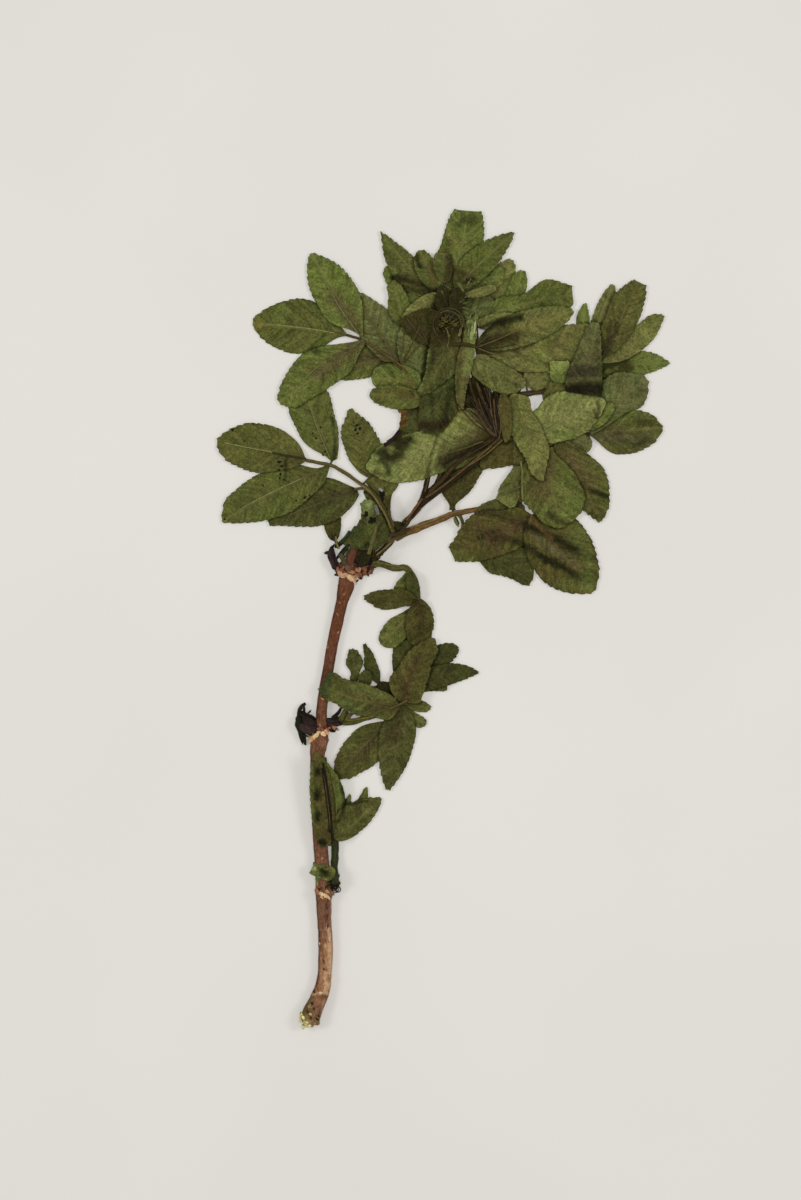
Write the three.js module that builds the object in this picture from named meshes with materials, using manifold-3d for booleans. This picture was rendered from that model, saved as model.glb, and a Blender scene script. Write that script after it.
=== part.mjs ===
// A pressed and dried leafy elder branch, lying flat: a woody stem with three nodes,
// opposite compound leaves with toothed leaflets, dark buds and one young flower cluster.
// Millimetres, +Z up. The branch lies on the plane z = 0, with the stem's cut end towards -Y.
import * as THREE from "three";
import Module from "manifold-3d";

const wasm = await Module();
wasm.setup();

// ---------------------------------------------------------------- driving dimensions
const BLADE_THICKNESS = 0.62;   // a leaflet
const AIR_GAP = 0.2;            // kept between things that lie on each other
const REST_LIFT = 0.25;         // how far most of the underside clears the plane it lies on
const MIDRIB_RISE = 0.2;        // a leaflet's midrib stands this far above its blade
const TOOTH_LENGTH = 9.0;       // along a leaflet's margin
const TOOTH_DEPTH = 0.7;
const RIB_STEP = 13.0;          // between the cross lines of a blade
const WIDE_BLADE = 7.0;         // half width above which a blade bends along extra lines
const STALK_STEP = 6.0;         // between the rings of a leaf stalk
const STALK_SIDES = 5;
const STUB_SIDES = 3;
const JOIN_REACH = 2.6;         // a stalk's end joins its own branch's lines within this
const STUB_RADIUS = 0.55;       // the short stalk of a leaflet
const STUB_REACH = 0.1;         // how far along its leaflet that stalk runs

// The pile grows from the plane upwards on a height map of square cells.
const CELL = 0.5;
const MAP_X = [-92, 92];
const MAP_Y = [-160, 160];

// Two leaflets and the stem's flat underside touch the plane, and carry the branch.
const LOWEST = new Set(["b1", "d7"]);

// The stem's middle line and width: [x, y, width], from the cut end to the top node.
const STEM = [
  [-49.5, -151.0, 7.0], [-48.8, -147.2, 7.0], [-46.6, -142.6, 6.2], [-44.9, -138.0, 5.7],
  [-44.2, -133.6, 5.3], [-43.8, -128.0, 5.2], [-43.8, -120.7, 5.4], [-44.2, -113.0, 5.2],
  [-44.4, -106.0, 5.7], [-44.3, -102.0, 6.8], [-44.7, -97.5, 5.3], [-45.4, -88.0, 5.2],
  [-46.1, -78.3, 5.1], [-46.4, -66.0, 5.4], [-46.8, -52.5, 5.2], [-46.3, -47.5, 6.0],
  [-46.1, -45.2, 7.2], [-45.4, -41.5, 4.4], [-45.2, -34.6, 3.9], [-44.3, -27.0, 3.9],
  [-42.9, -20.1, 4.0], [-41.3, -10.7, 4.1], [-39.2, -1.1, 4.4], [-37.5, 6.3, 4.3],
  [-36.2, 11.2, 6.2], [-36.2, 14.0, 5.4], [-35.4, 17.0, 4.0], [-34.2, 22.0, 3.7],
  [-32.6, 27.2, 3.0],
];
const STEM_SIDES = 8;
const STEM_FLATNESS = 0.8;     // height over width: the press squeezed the stem

// Torn collars of old leaf bases round the nodes: [x, y, reach across, reach along].
const COLLARS = [[-44.2, -102.4, 3.9, 2.0], [-45.4, -43.6, 4.6, 2.2], [-33.6, 16.0, 7.2, 2.8]];
const COLLAR_FLAKES = 4;

// The leaves. A stalk is [points x, y ..., radius at its start, radius at its end, layer].
// A leaflet is [name, x and y of its base, middle and tip, half width to its left, to its right,
// place of the widest part, roundness, layer, tone]. Seven widths in a list replace one width
// and its curve: they stand at the stations WIDTH_AT along the leaflet.
const WIDTH_AT = [0, 0.08, 0.25, 0.5, 0.75, 0.92, 1];
const LEAVES = {
  "leaf_a": {
    "stalks": [
      [[-18.6, 31.6, -20.5, 36.6, -23.3, 41.9, -26.8, 46.8, -32.0, 50.5, -36.4, 53.6,
        -41.5, 56.4, -46.6, 57.5, -51.8, 58.6], 1.0, 0.6, 3],
      [[-25.8, 45.6, -29.4, 47.7, -33.0, 47.6], 0.6, 0.5, 3],
    ],
    "leaflets": [
      ["a1", [-51.3, 59.0, -67.0, 62.4, -84.2, 64.2],
       [1.5, 3.8, 6.5, 9.0, 7.6, 4.6, 0.9],
       [0.2, 3.5, 7.4, 9.4, 8.4, 4.9, 2.3], 0.5, 1, 3, "olive"],
      ["a2", [-42.5, 56.2, -62.3, 46.9, -82.3, 35.6],
       [0.6, 4.4, 7.3, 9.2, 6.2, 2.9, 0.4],
       [0.9, 0.8, 5.8, 8.5, 7.8, 5.0, 0.2], 0.5, 1, 2, "olive"],
      ["a3", [-40.7, 58.3, -47.5, 73.5, -53.1, 90.1],
       [0.9, 2.0, 6.2, 8.0, 7.6, 4.0, 0.8],
       [1.5, 3.2, 6.0, 7.4, 7.8, 4.4, 0.8], 0.5, 1, 1, "olive"],
      ["a4", [-31.9, 47.4, -47.4, 41.9, -65.0, 35.2],
       [2.0, 4.2, 7.2, 8.1, 5.4, 2.4, 1.4],
       [0.5, 2.6, 7.7, 8.4, 6.4, 3.0, 0.4], 0.5, 1, 2, "deep"],
      ["a5", [-27.0, 51.6, -30.2, 65.2, -34.4, 77.6],
       [0.4, 3.0, 5.9, 7.0, 6.1, 2.5, 0.8],
       [1.0, 4.2, 7.1, 6.3, 4.2, 1.4, 0.4], 0.5, 1, 2, "olive"],
    ],
  },
  "leaf_o": {
    "stalks": [
      [[-38.9, 25.6, -39.6, 27.4, -40.4, 29.4], 0.6, 0.5, 1],
    ],
    "leaflets": [
      ["o1", [-40.3, 28.3, -40.9, 34.4, -40.6, 42.0], 3.4, 3.0, 0.55, 1.0, 0, "deep"],
    ],
  },
  "leaf_b": {
    "stalks": [
      [[9.0, 80.5, 0.0, 83.0, -9.0, 87.5, -17.2, 95.0, -22.4, 98.8, -30.2, 103.2,
        -36.7, 105.3], 0.9, 0.5, 1],
    ],
    "leaflets": [
      ["b1", [-36.0, 105.5, -53.1, 107.6, -70.9, 109.4],
       [0.8, 1.7, 6.4, 9.6, 7.9, 4.2, 0.4],
       [0.2, 2.8, 8.0, 11.1, 8.5, 4.6, 1.9], 0.5, 1, 1, "olive"],
      ["b4", [-19.5, 95.9, -30.6, 94.5, -42.1, 89.2], 5.9, 5.8, 0.42, 1.2, 1, "deep"],
      ["b5", [-16.5, 95.4, -24.6, 107.8, -34.5, 121.8],
       [1.2, 4.3, 6.4, 7.2, 5.0, 2.4, 0.4],
       [1.0, 4.3, 7.2, 7.8, 5.2, 2.4, 0.4], 0.5, 1, 2, "brown"],
      ["b3", [-29.3, 102.8, -45.0, 91.4, -61.1, 80.1],
       [1.2, 2.2, 5.9, 6.4, 5.7, 4.7, 1.0],
       [0.8, 2.0, 5.8, 9.6, 7.6, 4.0, 1.3], 0.5, 1, 3, "olive"],
      ["b2", [-30.3, 104.7, -40.5, 120.8, -49.1, 135.5],
       [0.2, 1.8, 7.0, 7.8, 6.2, 2.9, 0.7],
       [0.6, 2.6, 6.8, 8.2, 6.4, 2.6, 0.5], 0.5, 1, 4, "fresh"],
      ["b6", [-8.6, 86.5, -10.4, 97.5, -14.5, 108.5], 6.2, 5.4, 0.52, 1.1, 3, "brown"],
    ],
  },
  "leaf_c": {
    "stalks": [
      [[12.6, 84.0, 9.7, 98.0, 5.0, 111.1, 1.4, 121.0], 0.9, 0.7, 1],
      [[4.6, 110.4, -6.0, 109.2, -14.6, 108.8], 0.6, 0.5, 1],
      [[4.6, 111.0, 12.0, 112.5, 22.0, 112.2], 0.6, 0.5, 1],
    ],
    "leaflets": [
      ["c1", [1.7, 121.0, 6.6, 136.6, 9.0, 151.4],
       [0.6, 3.3, 8.0, 7.7, 7.1, 6.0, 4.6],
       [1.2, 3.2, 6.2, 7.6, 7.3, 6.2, 5.2], 0.5, 1, 2, "fresh"],
      ["c2", [4.5, 121.9, 14.1, 132.0, 26.5, 143.2], 6.1, 5.2, 0.45, 1.5, 3, "olive"],
      ["c3b", [-5.0, 117.0, -13.6, 122.1, -21.3, 130.5], 4.5, 4.5, 0.51, 1.0, 1, "deep"],
      ["c3", [-2.5, 120.0, -13.0, 130.8, -23.1, 143.6], 7.2, 4.0, 0.42, 1.8, 2, "olive"],
      ["c4", [-0.7, 121.0, -5.1, 129.1, -8.6, 136.5], 4.8, 3.4, 0.51, 1.0, 3, "olive"],
      ["c5", [1.4, 124.5, 0.4, 129.5, 0.1, 135.7], 4.0, 3.4, 0.65, 0.8, 4, "dark"],
      ["c11", [7.5, 120.0, 14.5, 125.6, 22.5, 126.5], 5.0, 4.5, 0.64, 1.0, 2, "fresh"],
      ["c8", [18.2, 113.0, 21.6, 123.0, 25.2, 133.2],
       [0.5, 2.3, 3.7, 4.4, 4.4, 2.6, 0.3],
       [0.5, 2.0, 3.2, 3.8, 3.5, 2.4, 1.1], 0.5, 1, 1, "fresh"],
      ["c9", [22.0, 112.0, 26.6, 119.9, 29.4, 129.1],
       [0.5, 1.6, 2.6, 3.2, 3.0, 2.1, 0.3],
       [0.5, 1.7, 2.5, 3.3, 3.1, 2.0, 0.9], 0.5, 1, 2, "fresh"],
      ["c10", [7.6, 119.8, 13.5, 120.8, 19.6, 122.8], 1.8, 1.8, 0.6, 1.0, 4, "fresh"],
      ["c6", [-14.5, 108.5, -16.4, 116.6, -18.5, 125.2],
       [0.5, 2.4, 4.2, 4.2, 3.0, 2.5, 0.3],
       [0.5, 2.3, 3.6, 4.0, 3.1, 1.6, 0.3], 0.5, 1, 3, "fresh"],
      ["c7", [-1.5, 119.9, -7.5, 116.2, -14.8, 110.8], 2.8, 3.0, 0.5, 1.0, 4, "fresh"],
      ["y1", [4.5, 113.2, 1.3, 116.4, -0.6, 123.1], 4.2, 3.2, 0.4, 0.9, 5, "black"],
      ["y2", [5.5, 113.5, 5.2, 118.4, 7.8, 121.5], 3.0, 3.0, 0.44, 0.9, 5, "black"],
      ["c12", [4.5, 116.0, 10.4, 114.4, 18.2, 118.7], 4.9, 5.9, 0.38, 0.8, 3, "grey"],
      ["y3", [0.5, 121.0, -0.4, 115.9, -4.1, 113.7], 4.4, 3.0, 0.6, 0.8, 4, "black"],
    ],
  },
  "leaf_d": {
    "stalks": [
      [[17.0, 83.6, 14.0, 93.0, 12.7, 101.0, 12.2, 110.6], 1.0, 0.7, 1],
    ],
    "leaflets": [
      ["d1", [12.5, 110.4, 30.6, 116.6, 48.3, 120.0],
       [1.0, 2.5, 4.9, 3.8, 7.2, 4.8, 3.3],
       [1.0, 1.8, 3.4, 4.2, 4.6, 5.9, 2.6], 0.5, 1, 2, "olive"],
      ["d0", [12.6, 103.6, 18.9, 108.6, 28.0, 110.6], 4.0, 2.4, 0.44, 0.9, 3, "black"],
      ["d3", [13.0, 99.6, 35.9, 100.6, 58.2, 111.0], 6.4, 10.0, 0.64, 1.05, 4, "yellow"],
      ["d2", [12.9, 101.4, 30.3, 107.4, 48.4, 114.0], 6.6, 6.2, 0.48, 1.2, 5, "olive"],
      ["d15", [22.6, 82.6, 19.9, 90.2, 11.8, 98.4], 7.5, 9.2, 0.36, 0.9, 5, "olive"],
    ],
  },
  "leaf_k": {
    "stalks": [
      [[23.6, 82.0, 35.2, 83.8, 46.5, 85.6, 56.4, 90.8, 59.2, 96.0], 1.2, 0.8, 0],
    ],
    "leaflets": [
      ["d5a", [53.8, 99.2, 58.8, 112.0, 63.2, 124.0], 3.0, 4.6, 0.5, 1.4, 1, "fresh"],
      ["d5c", [52.4, 106.0, 52.4, 111.6, 53.2, 117.0], 2.7, 2.3, 0.34, 1.3, 2, "green"],
      ["d5b", [59.2, 96.6, 66.2, 111.0, 73.0, 124.8],
       [0.6, 2.5, 4.8, 5.9, 6.0, 3.5, 2.0],
       [0.6, 2.5, 5.2, 6.2, 5.6, 4.2, 2.9], 0.5, 1, 3, "brown"],
      ["d6", [59.3, 94.9, 71.3, 102.1, 81.6, 112.7],
       [0.5, 1.7, 3.4, 4.1, 4.2, 2.8, 0.3],
       [0.5, 1.4, 3.1, 3.8, 3.4, 1.9, 1.1], 0.5, 1, 2, "green"],
      ["d7", [57.0, 91.4, 71.8, 94.2, 84.5, 94.4], 4.4, 5.3, 0.42, 1.5, 1, "olive"],
      ["d13", [40.5, 87.0, 43.0, 91.5, 44.7, 96.5], 3.4, 4.0, 0.6, 0.7, 2, "green"],
      ["d14", [30.8, 86.4, 34.4, 88.5, 40.6, 90.1],
       [1.7, 2.5, 4.1, 3.6, 2.6, 1.7, 0.5],
       [1.4, 2.8, 4.0, 4.2, 4.0, 2.1, 0.5], 0.5, 1, 1, "grey"],
      ["d16", [37.5, 80.3, 42.1, 85.3, 46.0, 91.0], 3.2, 3.2, 0.55, 0.9, 1, "deep"],
      ["d4", [52.0, 80.0, 54.2, 95.0, 57.3, 110.0],
       [3.0, 6.6, 7.4, 5.6, 4.0, 1.8, 0.2],
       [3.0, 5.4, 7.1, 5.6, 3.4, 1.2, 0.2], 0.5, 1, 3, "dark"],
    ],
  },
  "leaf_n": {
    "stalks": [
      [[27.4, 65.6, 36.0, 66.6, 46.0, 67.4, 54.6, 68.0], 0.9, 0.9, 0],
    ],
    "leaflets": [
      ["d8", [55.0, 68.4, 64.5, 79.3, 75.8, 88.8],
       [1.2, 2.5, 6.5, 9.4, 8.8, 4.2, 1.2],
       [0.6, 1.8, 3.4, 4.9, 7.0, 4.0, 1.2], 0.5, 1, 2, "grey"],
      ["d9", [54.6, 67.8, 67.1, 69.1, 81.8, 70.4],
       [0.6, 4.0, 6.8, 7.6, 7.2, 4.1, 0.5],
       [0.2, 1.8, 6.7, 8.5, 7.2, 4.0, 0.4], 0.5, 1, 1, "deep"],
      ["d11", [54.0, 70.0, 59.0, 74.0, 62.9, 79.5], 2.2, 2.2, 0.6, 0.8, 3, "fresh"],
      ["d10", [34.9, 67.3, 45.5, 74.0, 60.4, 80.4],
       [0.6, 6.4, 8.6, 10.4, 7.0, 3.4, 0.4],
       [0.6, 4.3, 6.6, 8.4, 7.2, 3.6, 0.4], 0.5, 1, 4, "pale"],
      ["d12", [46.0, 69.5, 49.6, 65.8, 55.0, 63.0], 3.5, 3.0, 0.66, 0.8, 1, "olive"],
    ],
  },
  "leaf_e": {
    "stalks": [
      [[8.6, 86.0, 5.4, 93.0, 4.4, 104.0, 3.4, 110.6], 0.8, 0.7, 3],
      [[6.6, 90.0, 0.0, 85.5, -8.6, 83.2], 0.6, 0.5, 3],
      [[-8.6, 83.2, -12.0, 80.0, -14.2, 76.4], 0.5, 0.5, 3],
    ],
    "leaflets": [
      ["e3", [-8.3, 85.8, -17.6, 88.3, -26.6, 88.6],
       [0.5, 3.1, 4.6, 5.2, 4.5, 2.9, 0.3],
       [0.5, 3.7, 5.5, 6.2, 5.4, 3.5, 0.3], 0.5, 1, 3, "olive"],
      ["e4", [-7.6, 80.8, -17.3, 82.4, -27.2, 83.0], 5.0, 3.9, 0.47, 0.9, 4, "olive"],
      ["e8", [3.7, 91.2, -1.0, 80.8, -4.3, 68.2],
       [1.0, 3.0, 5.5, 7.6, 6.2, 4.2, 2.5],
       [0.8, 3.0, 4.8, 6.8, 6.6, 5.2, 3.1], 0.5, 1, 5, "dark"],
      ["e2", [0.5, 108.8, -0.9, 95.0, -9.0, 82.6],
       [2.0, 4.8, 6.2, 7.1, 4.0, 2.2, 0.3],
       [2.2, 5.0, 5.8, 5.4, 3.2, 1.9, 1.3], 0.5, 1, 6, "umber"],
      ["e9", [12.1, 112.1, 8.6, 95.0, 7.0, 77.3],
       [1.2, 1.4, 2.1, 2.8, 2.1, 1.2, 1.0],
       [0.2, 2.7, 2.5, 3.4, 2.8, 1.6, 0.6], 0.5, 1, 6, "olive"],
      ["e10", [-1.0, 107.5, -8.0, 108.6, -16.1, 110.0], 7.0, 6.6, 0.32, 1.2, 5, "umber"],
      ["e11", [-12.4, 78.4, -13.0, 71.9, -14.9, 64.5],
       [3.4, 3.4, 3.6, 5.2, 4.0, 3.0, 1.5],
       [2.8, 4.4, 3.2, 3.2, 3.0, 3.1, 0.2], 0.5, 1, 3, "umber"],
    ],
  },
  "leaf_j": {
    "stalks": [
      [[21.6, 66.8, 22.3, 75.0, 22.6, 82.6, 26.0, 82.8], 0.9, 0.6, 4],
    ],
    "leaflets": [
      ["e5", [20.0, 67.0, -2.0, 62.4, -28.6, 55.2],
       [0.6, 3.5, 7.8, 8.8, 9.2, 5.6, 0.2],
       [0.6, 8.7, 12.9, 9.0, 7.9, 5.4, 0.6], 0.5, 1, 4, "pale"],
      ["e12", [27.0, 66.2, 21.8, 61.6, 14.0, 55.9],
       [3.0, 6.0, 8.4, 6.3, 4.0, 2.1, 1.2],
       [2.2, 3.2, 4.0, 4.0, 3.0, 2.0, 1.4], 0.5, 1, 3, "orange"],
      ["e7", [25.8, 82.8, 31.5, 68.0, 37.0, 50.8],
       [0.7, 4.5, 4.6, 6.0, 5.4, 2.0, 0.4],
       [0.9, 2.8, 5.6, 5.6, 3.8, 3.0, 0.6], 0.5, 1, 6, "yellow"],
      ["e6", [22.0, 83.1, 22.9, 75.0, 23.4, 65.0], 2.6, 2.0, 0.44, 0.8, 6, "brown"],
      ["e13", [20.3, 67.5, 15.4, 77.0, 12.5, 89.6],
       [0.6, 1.2, 2.5, 5.6, 5.0, 3.0, 2.0],
       [0.4, 0.8, 2.6, 5.2, 4.2, 2.5, 1.0], 0.5, 1, 3, "umber"],
    ],
  },
  "leaf_l": {
    "stalks": [
      [[-17.8, 29.7, -13.6, 31.5, -8.4, 33.5, -5.1, 34.9, -0.3, 36.6, 3.2, 38.2, 8.1, 39.2,
        14.2, 40.4, 20.0, 41.0, 27.0, 41.4, 33.0, 38.5], 1.6, 0.5, 0],
      [[27.0, 41.0, 29.4, 43.2, 29.0, 48.5, 31.0, 54.0, 33.4, 60.0, 38.0, 63.2, 43.6, 65.4], 0.9, 0.8, 2],
    ],
    "leaflets": [
      ["l2", [14.9, 23.0, 23.4, 18.8, 33.0, 13.4],
       [1.5, 4.5, 8.0, 10.1, 7.9, 4.7, 0.2],
       [2.8, 3.5, 4.8, 3.8, 3.0, 2.8, 1.8], 0.5, 1, 1, "deep"],
      ["l1", [33.2, 37.0, 17.8, 30.0, 3.4, 23.4],
       [0.6, 5.5, 8.2, 7.9, 6.5, 4.2, 3.0],
       [1.0, 5.1, 7.2, 10.3, 8.2, 4.3, 3.2], 0.5, 1, 2, "brown"],
      ["l3", [33.0, 38.0, 43.9, 24.4, 56.0, 9.5],
       [0.7, 7.2, 11.2, 12.2, 9.5, 5.1, 0.6],
       [0.8, 5.5, 10.2, 12.2, 10.4, 5.1, 1.1], 0.5, 1, 3, "brown"],
      ["l5", [43.3, 66.6, 51.5, 50.7, 58.9, 35.7],
       [0.6, 2.6, 6.4, 9.6, 7.4, 3.8, 0.2],
       [1.0, 4.6, 6.0, 7.0, 4.8, 2.4, 0.9], 0.5, 1, 1, "brown"],
      ["l6", [30.0, 58.5, 26.0, 50.3, 21.5, 42.7],
       [1.0, 3.0, 4.0, 4.5, 5.0, 5.0, 4.0],
       [1.0, 2.8, 2.5, 3.1, 3.4, 2.4, 2.4], 0.5, 1, 2, "olive"],
      ["l7", [29.0, 44.0, 21.2, 42.0, 13.1, 40.3], 2.6, 2.2, 0.5, 1.0, 1, "deep"],
      ["l4", [37.0, 62.5, 40.5, 47.8, 44.0, 33.3],
       [4.0, 4.2, 7.8, 10.8, 10.8, 6.2, 0.8],
       [1.5, 6.5, 9.8, 11.9, 8.5, 4.8, 0.8], 0.5, 1, 4, "olive"],
      ["e1", [3.5, 39.8, 5.6, 50.0, 10.4, 59.5],
       [1.2, 1.3, 4.9, 7.1, 7.0, 6.0, 5.0],
       [1.2, 0.9, 3.6, 6.0, 6.4, 6.4, 6.2], 0.5, 1, 2, "umber"],
      ["l8", [4.6, 37.6, 4.7, 35.6, 5.8, 33.6], 0.4, 0.5, 0.28, 1.0, 1, "olive"],
      ["l9", [5.4, 37.6, 6.8, 36.4, 7.7, 33.0], 0.6, 0.5, 0.46, 1.0, 1, "olive"],
    ],
  },
  "leaf_f": {
    "stalks": [
      [[-26.0, 19.6, -23.8, 19.9, -21.6, 19.3, -18.7, 18.4, -16.5, 18.2, -14.4, 18.4,
        -12.2, 16.8, -10.2, 12.0, -9.2, 6.2], 1.3, 1.0, 1],
    ],
    "leaflets": [
      ["f1", [-12.5, 17.2, -14.2, 12.7, -17.8, 9.6], 3.8, 2.5, 0.56, 0.9, 1, "brown"],
      ["f5", [-11.8, 16.8, -10.5, 11.8, -9.3, 7.4], 1.6, 3.2, 0.44, 0.9, 2, "umber"],
      ["f2", [-10.1, 6.9, -19.2, 6.6, -29.4, 6.9],
       [0.9, 2.3, 2.8, 3.8, 3.4, 1.3, 0.5],
       [0.5, 1.9, 3.9, 3.7, 3.2, 1.9, 0.9], 0.5, 1, 3, "brown"],
      ["f3", [-10.0, 3.6, -16.4, -3.3, -22.8, -10.5],
       [0.5, 1.7, 3.4, 4.6, 4.7, 3.1, 0.3],
       [0.7, 1.5, 2.5, 4.1, 4.0, 2.7, 0.7], 0.5, 1, 2, "olive"],
      ["f4", [-9.2, 6.4, -7.8, -1.4, -9.0, -11.5],
       [1.1, 2.0, 3.7, 4.5, 3.9, 2.9, 0.3],
       [0.5, 3.1, 5.2, 6.4, 5.8, 3.9, 0.3], 0.5, 1, 3, "umber"],
    ],
  },
  "leaf_g": {
    "stalks": [
      [[-37.0, -39.2, -33.0, -38.9, -29.8, -37.8, -24.6, -36.4, -19.0, -34.6, -14.9, -31.8,
        -13.4, -28.0], 1.2, 0.8, 1],
      [[-37.8, -38.0, -35.5, -33.3, -33.0, -25.4], 1.15, 0.5, 1],
      [[-36.4, -38.6, -33.0, -34.6, -28.2, -27.6, -23.6, -25.5], 0.6, 0.5, 1],
    ],
    "leaflets": [
      ["g9", [-33.0, -24.9, -33.2, -17.5, -34.2, -12.0],
       [0.5, 1.6, 1.4, 3.0, 2.1, 1.2, 0.5],
       [0.5, 1.3, 2.0, 3.5, 2.6, 1.6, 0.5], 0.5, 1, 1, "deep"],
      ["g10", [-23.8, -25.2, -26.4, -17.7, -29.2, -10.0],
       [0.3, 1.2, 2.5, 3.1, 1.6, 1.0, 0.4],
       [0.5, 0.9, 1.8, 1.8, 1.6, 0.6, 0.3], 0.5, 1, 1, "dark"],
      ["g11", [-28.3, -25.8, -29.0, -22.5, -30.0, -20.4], 2.8, 2.6, 0.48, 0.9, 2, "dark"],
      ["g3", [-15.7, -28.0, -15.3, -17.1, -13.7, -7.0], 4.0, 4.2, 0.69, 1.0, 1, "dark"],
      ["g4c", [-14.0, -28.8, -6.4, -25.4, 1.5, -27.0], 2.6, 2.4, 0.48, 1.0, 1, "dark"],
      ["g4a", [-13.0, -26.5, -3.7, -16.2, 5.6, -11.8], 4.0, 4.7, 0.54, 1.1, 1, "dark"],
      ["g4b", [-13.0, -28.0, -0.8, -21.8, 13.1, -20.7], 4.1, 4.3, 0.48, 1.5, 2, "dark"],
      ["g7", [-14.1, -32.4, -10.0, -33.0, -4.7, -34.2],
       [0.5, 1.5, 2.1, 2.3, 2.0, 1.3, 0.7],
       [0.9, 1.5, 2.2, 2.2, 1.9, 1.2, 0.3], 0.5, 1, 1, "olive"],
      ["g8", [-12.6, -34.9, -10.4, -37.8, -6.3, -39.3], 2.0, 2.8, 0.54, 0.8, 1, "olive"],
      ["g5", [-21.0, -39.5, -30.2, -48.8, -39.6, -59.7],
       [0.5, 3.5, 6.2, 7.8, 5.8, 3.7, 0.9],
       [1.1, 2.5, 5.4, 6.4, 5.5, 3.1, 0.3], 0.5, 1, 2, "brown"],
      ["g6", [-14.9, -33.1, -17.0, -47.6, -20.8, -64.3],
       [0.5, 3.2, 5.7, 5.9, 4.4, 2.2, 1.1],
       [0.5, 4.1, 6.7, 7.2, 5.2, 2.4, 0.3], 0.5, 1, 3, "brown"],
      ["g2", [-15.6, -31.6, -11.1, -21.2, -4.2, -7.6],
       [1.2, 4.0, 7.2, 6.2, 5.1, 2.2, 0.2],
       [0.6, 5.6, 6.4, 6.0, 4.6, 4.0, 1.0], 0.5, 1, 4, "brown"],
      ["g1", [-16.1, -33.5, -31.6, -30.8, -45.2, -25.0],
       [0.4, 5.1, 5.5, 7.5, 5.0, 4.6, 2.0],
       [1.2, 3.5, 5.6, 6.6, 5.7, 6.0, 5.2], 0.5, 1, 4, "olive"],
      ["g12", [-17.0, -30.0, -19.6, -26.8, -24.6, -25.6], 1.9, 2.2, 0.5, 0.8, 2, "dark"],
    ],
  },
  "leaf_h": {
    "stalks": [
      [[-40.1, -99.0, -40.5, -94.0, -40.3, -89.0, -40.3, -84.3, -41.2, -78.3, -42.2, -68.6,
        -43.8, -59.3, -44.7, -52.3], 1.4, 1.3, 2],
    ],
    "leaflets": [
      ["h1", [-44.6, -85.6, -46.0, -67.7, -47.2, -50.1], 3.5, 5.5, 0.43, 0.85, 3, "deep"],
      ["h2", [-41.0, -80.0, -40.1, -66.0, -45.5, -51.5],
       [0.5, 1.7, 2.6, 3.0, 2.4, 1.2, 0.3],
       [0.5, 1.0, 2.6, 3.4, 2.2, 0.9, 0.6], 0.5, 1, 2, "deep"],
      ["h3", [-40.3, -82.4, -31.4, -75.4, -23.1, -67.7], 7.3, 3.9, 0.38, 1.2, 2, "deep"],
      ["h4", [-37.0, -74.5, -35.6, -70.6, -34.6, -66.2], 1.8, 1.1, 0.4, 1.2, 1, "black"],
      ["h5", [-33.2, -71.8, -30.0, -68.5, -28.6, -63.4], 1.8, 1.5, 0.38, 1.1, 1, "deep"],
      ["h6", [-40.6, -96.4, -43.8, -95.3, -48.8, -95.4], 2.6, 4.1, 0.3, 0.9, 3, "olive"],
    ],
  },
  "leaf_m": {
    "stalks": [
      [[-26.8, 23.4, -25.6, 30.0, -24.4, 34.0, -23.4, 38.0], 1.4, 0.9, 1],
    ],
    "leaflets": [
      ["m1", [-27.9, 24.8, -28.2, 35.6, -28.3, 43.6],
       [1.4, 8.1, 7.4, 3.0, 2.2, 2.3, 0.6],
       [3.4, 5.9, 9.0, 6.6, 4.8, 3.4, 1.0], 0.5, 1, 2, "deep"],
      ["m2", [-22.6, 29.5, -21.8, 36.5, -20.4, 43.1], 1.8, 1.6, 0.52, 0.9, 1, "umber"],
      ["m3", [-21.0, 41.0, -22.2, 45.5, -23.1, 52.7],
       [0.5, 0.8, 1.4, 2.8, 5.0, 5.2, 2.4],
       [0.7, 1.8, 2.0, 3.8, 6.2, 5.2, 3.0], 0.5, 1, 2, "brown"],
      ["m4", [-31.3, 19.6, -29.2, 24.2, -28.2, 28.6], 2.6, 3.0, 0.46, 0.8, 1, "black"],
      ["m5", [-25.5, 42.0, -27.0, 44.4, -29.0, 47.6], 1.5, 1.5, 0.56, 0.8, 1, "brown"],
      ["m6", [-20.0, 34.0, -17.8, 34.4, -15.2, 34.2], 1.2, 2.0, 0.5, 0.8, 1, "black"],
    ],
  },
};

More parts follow.
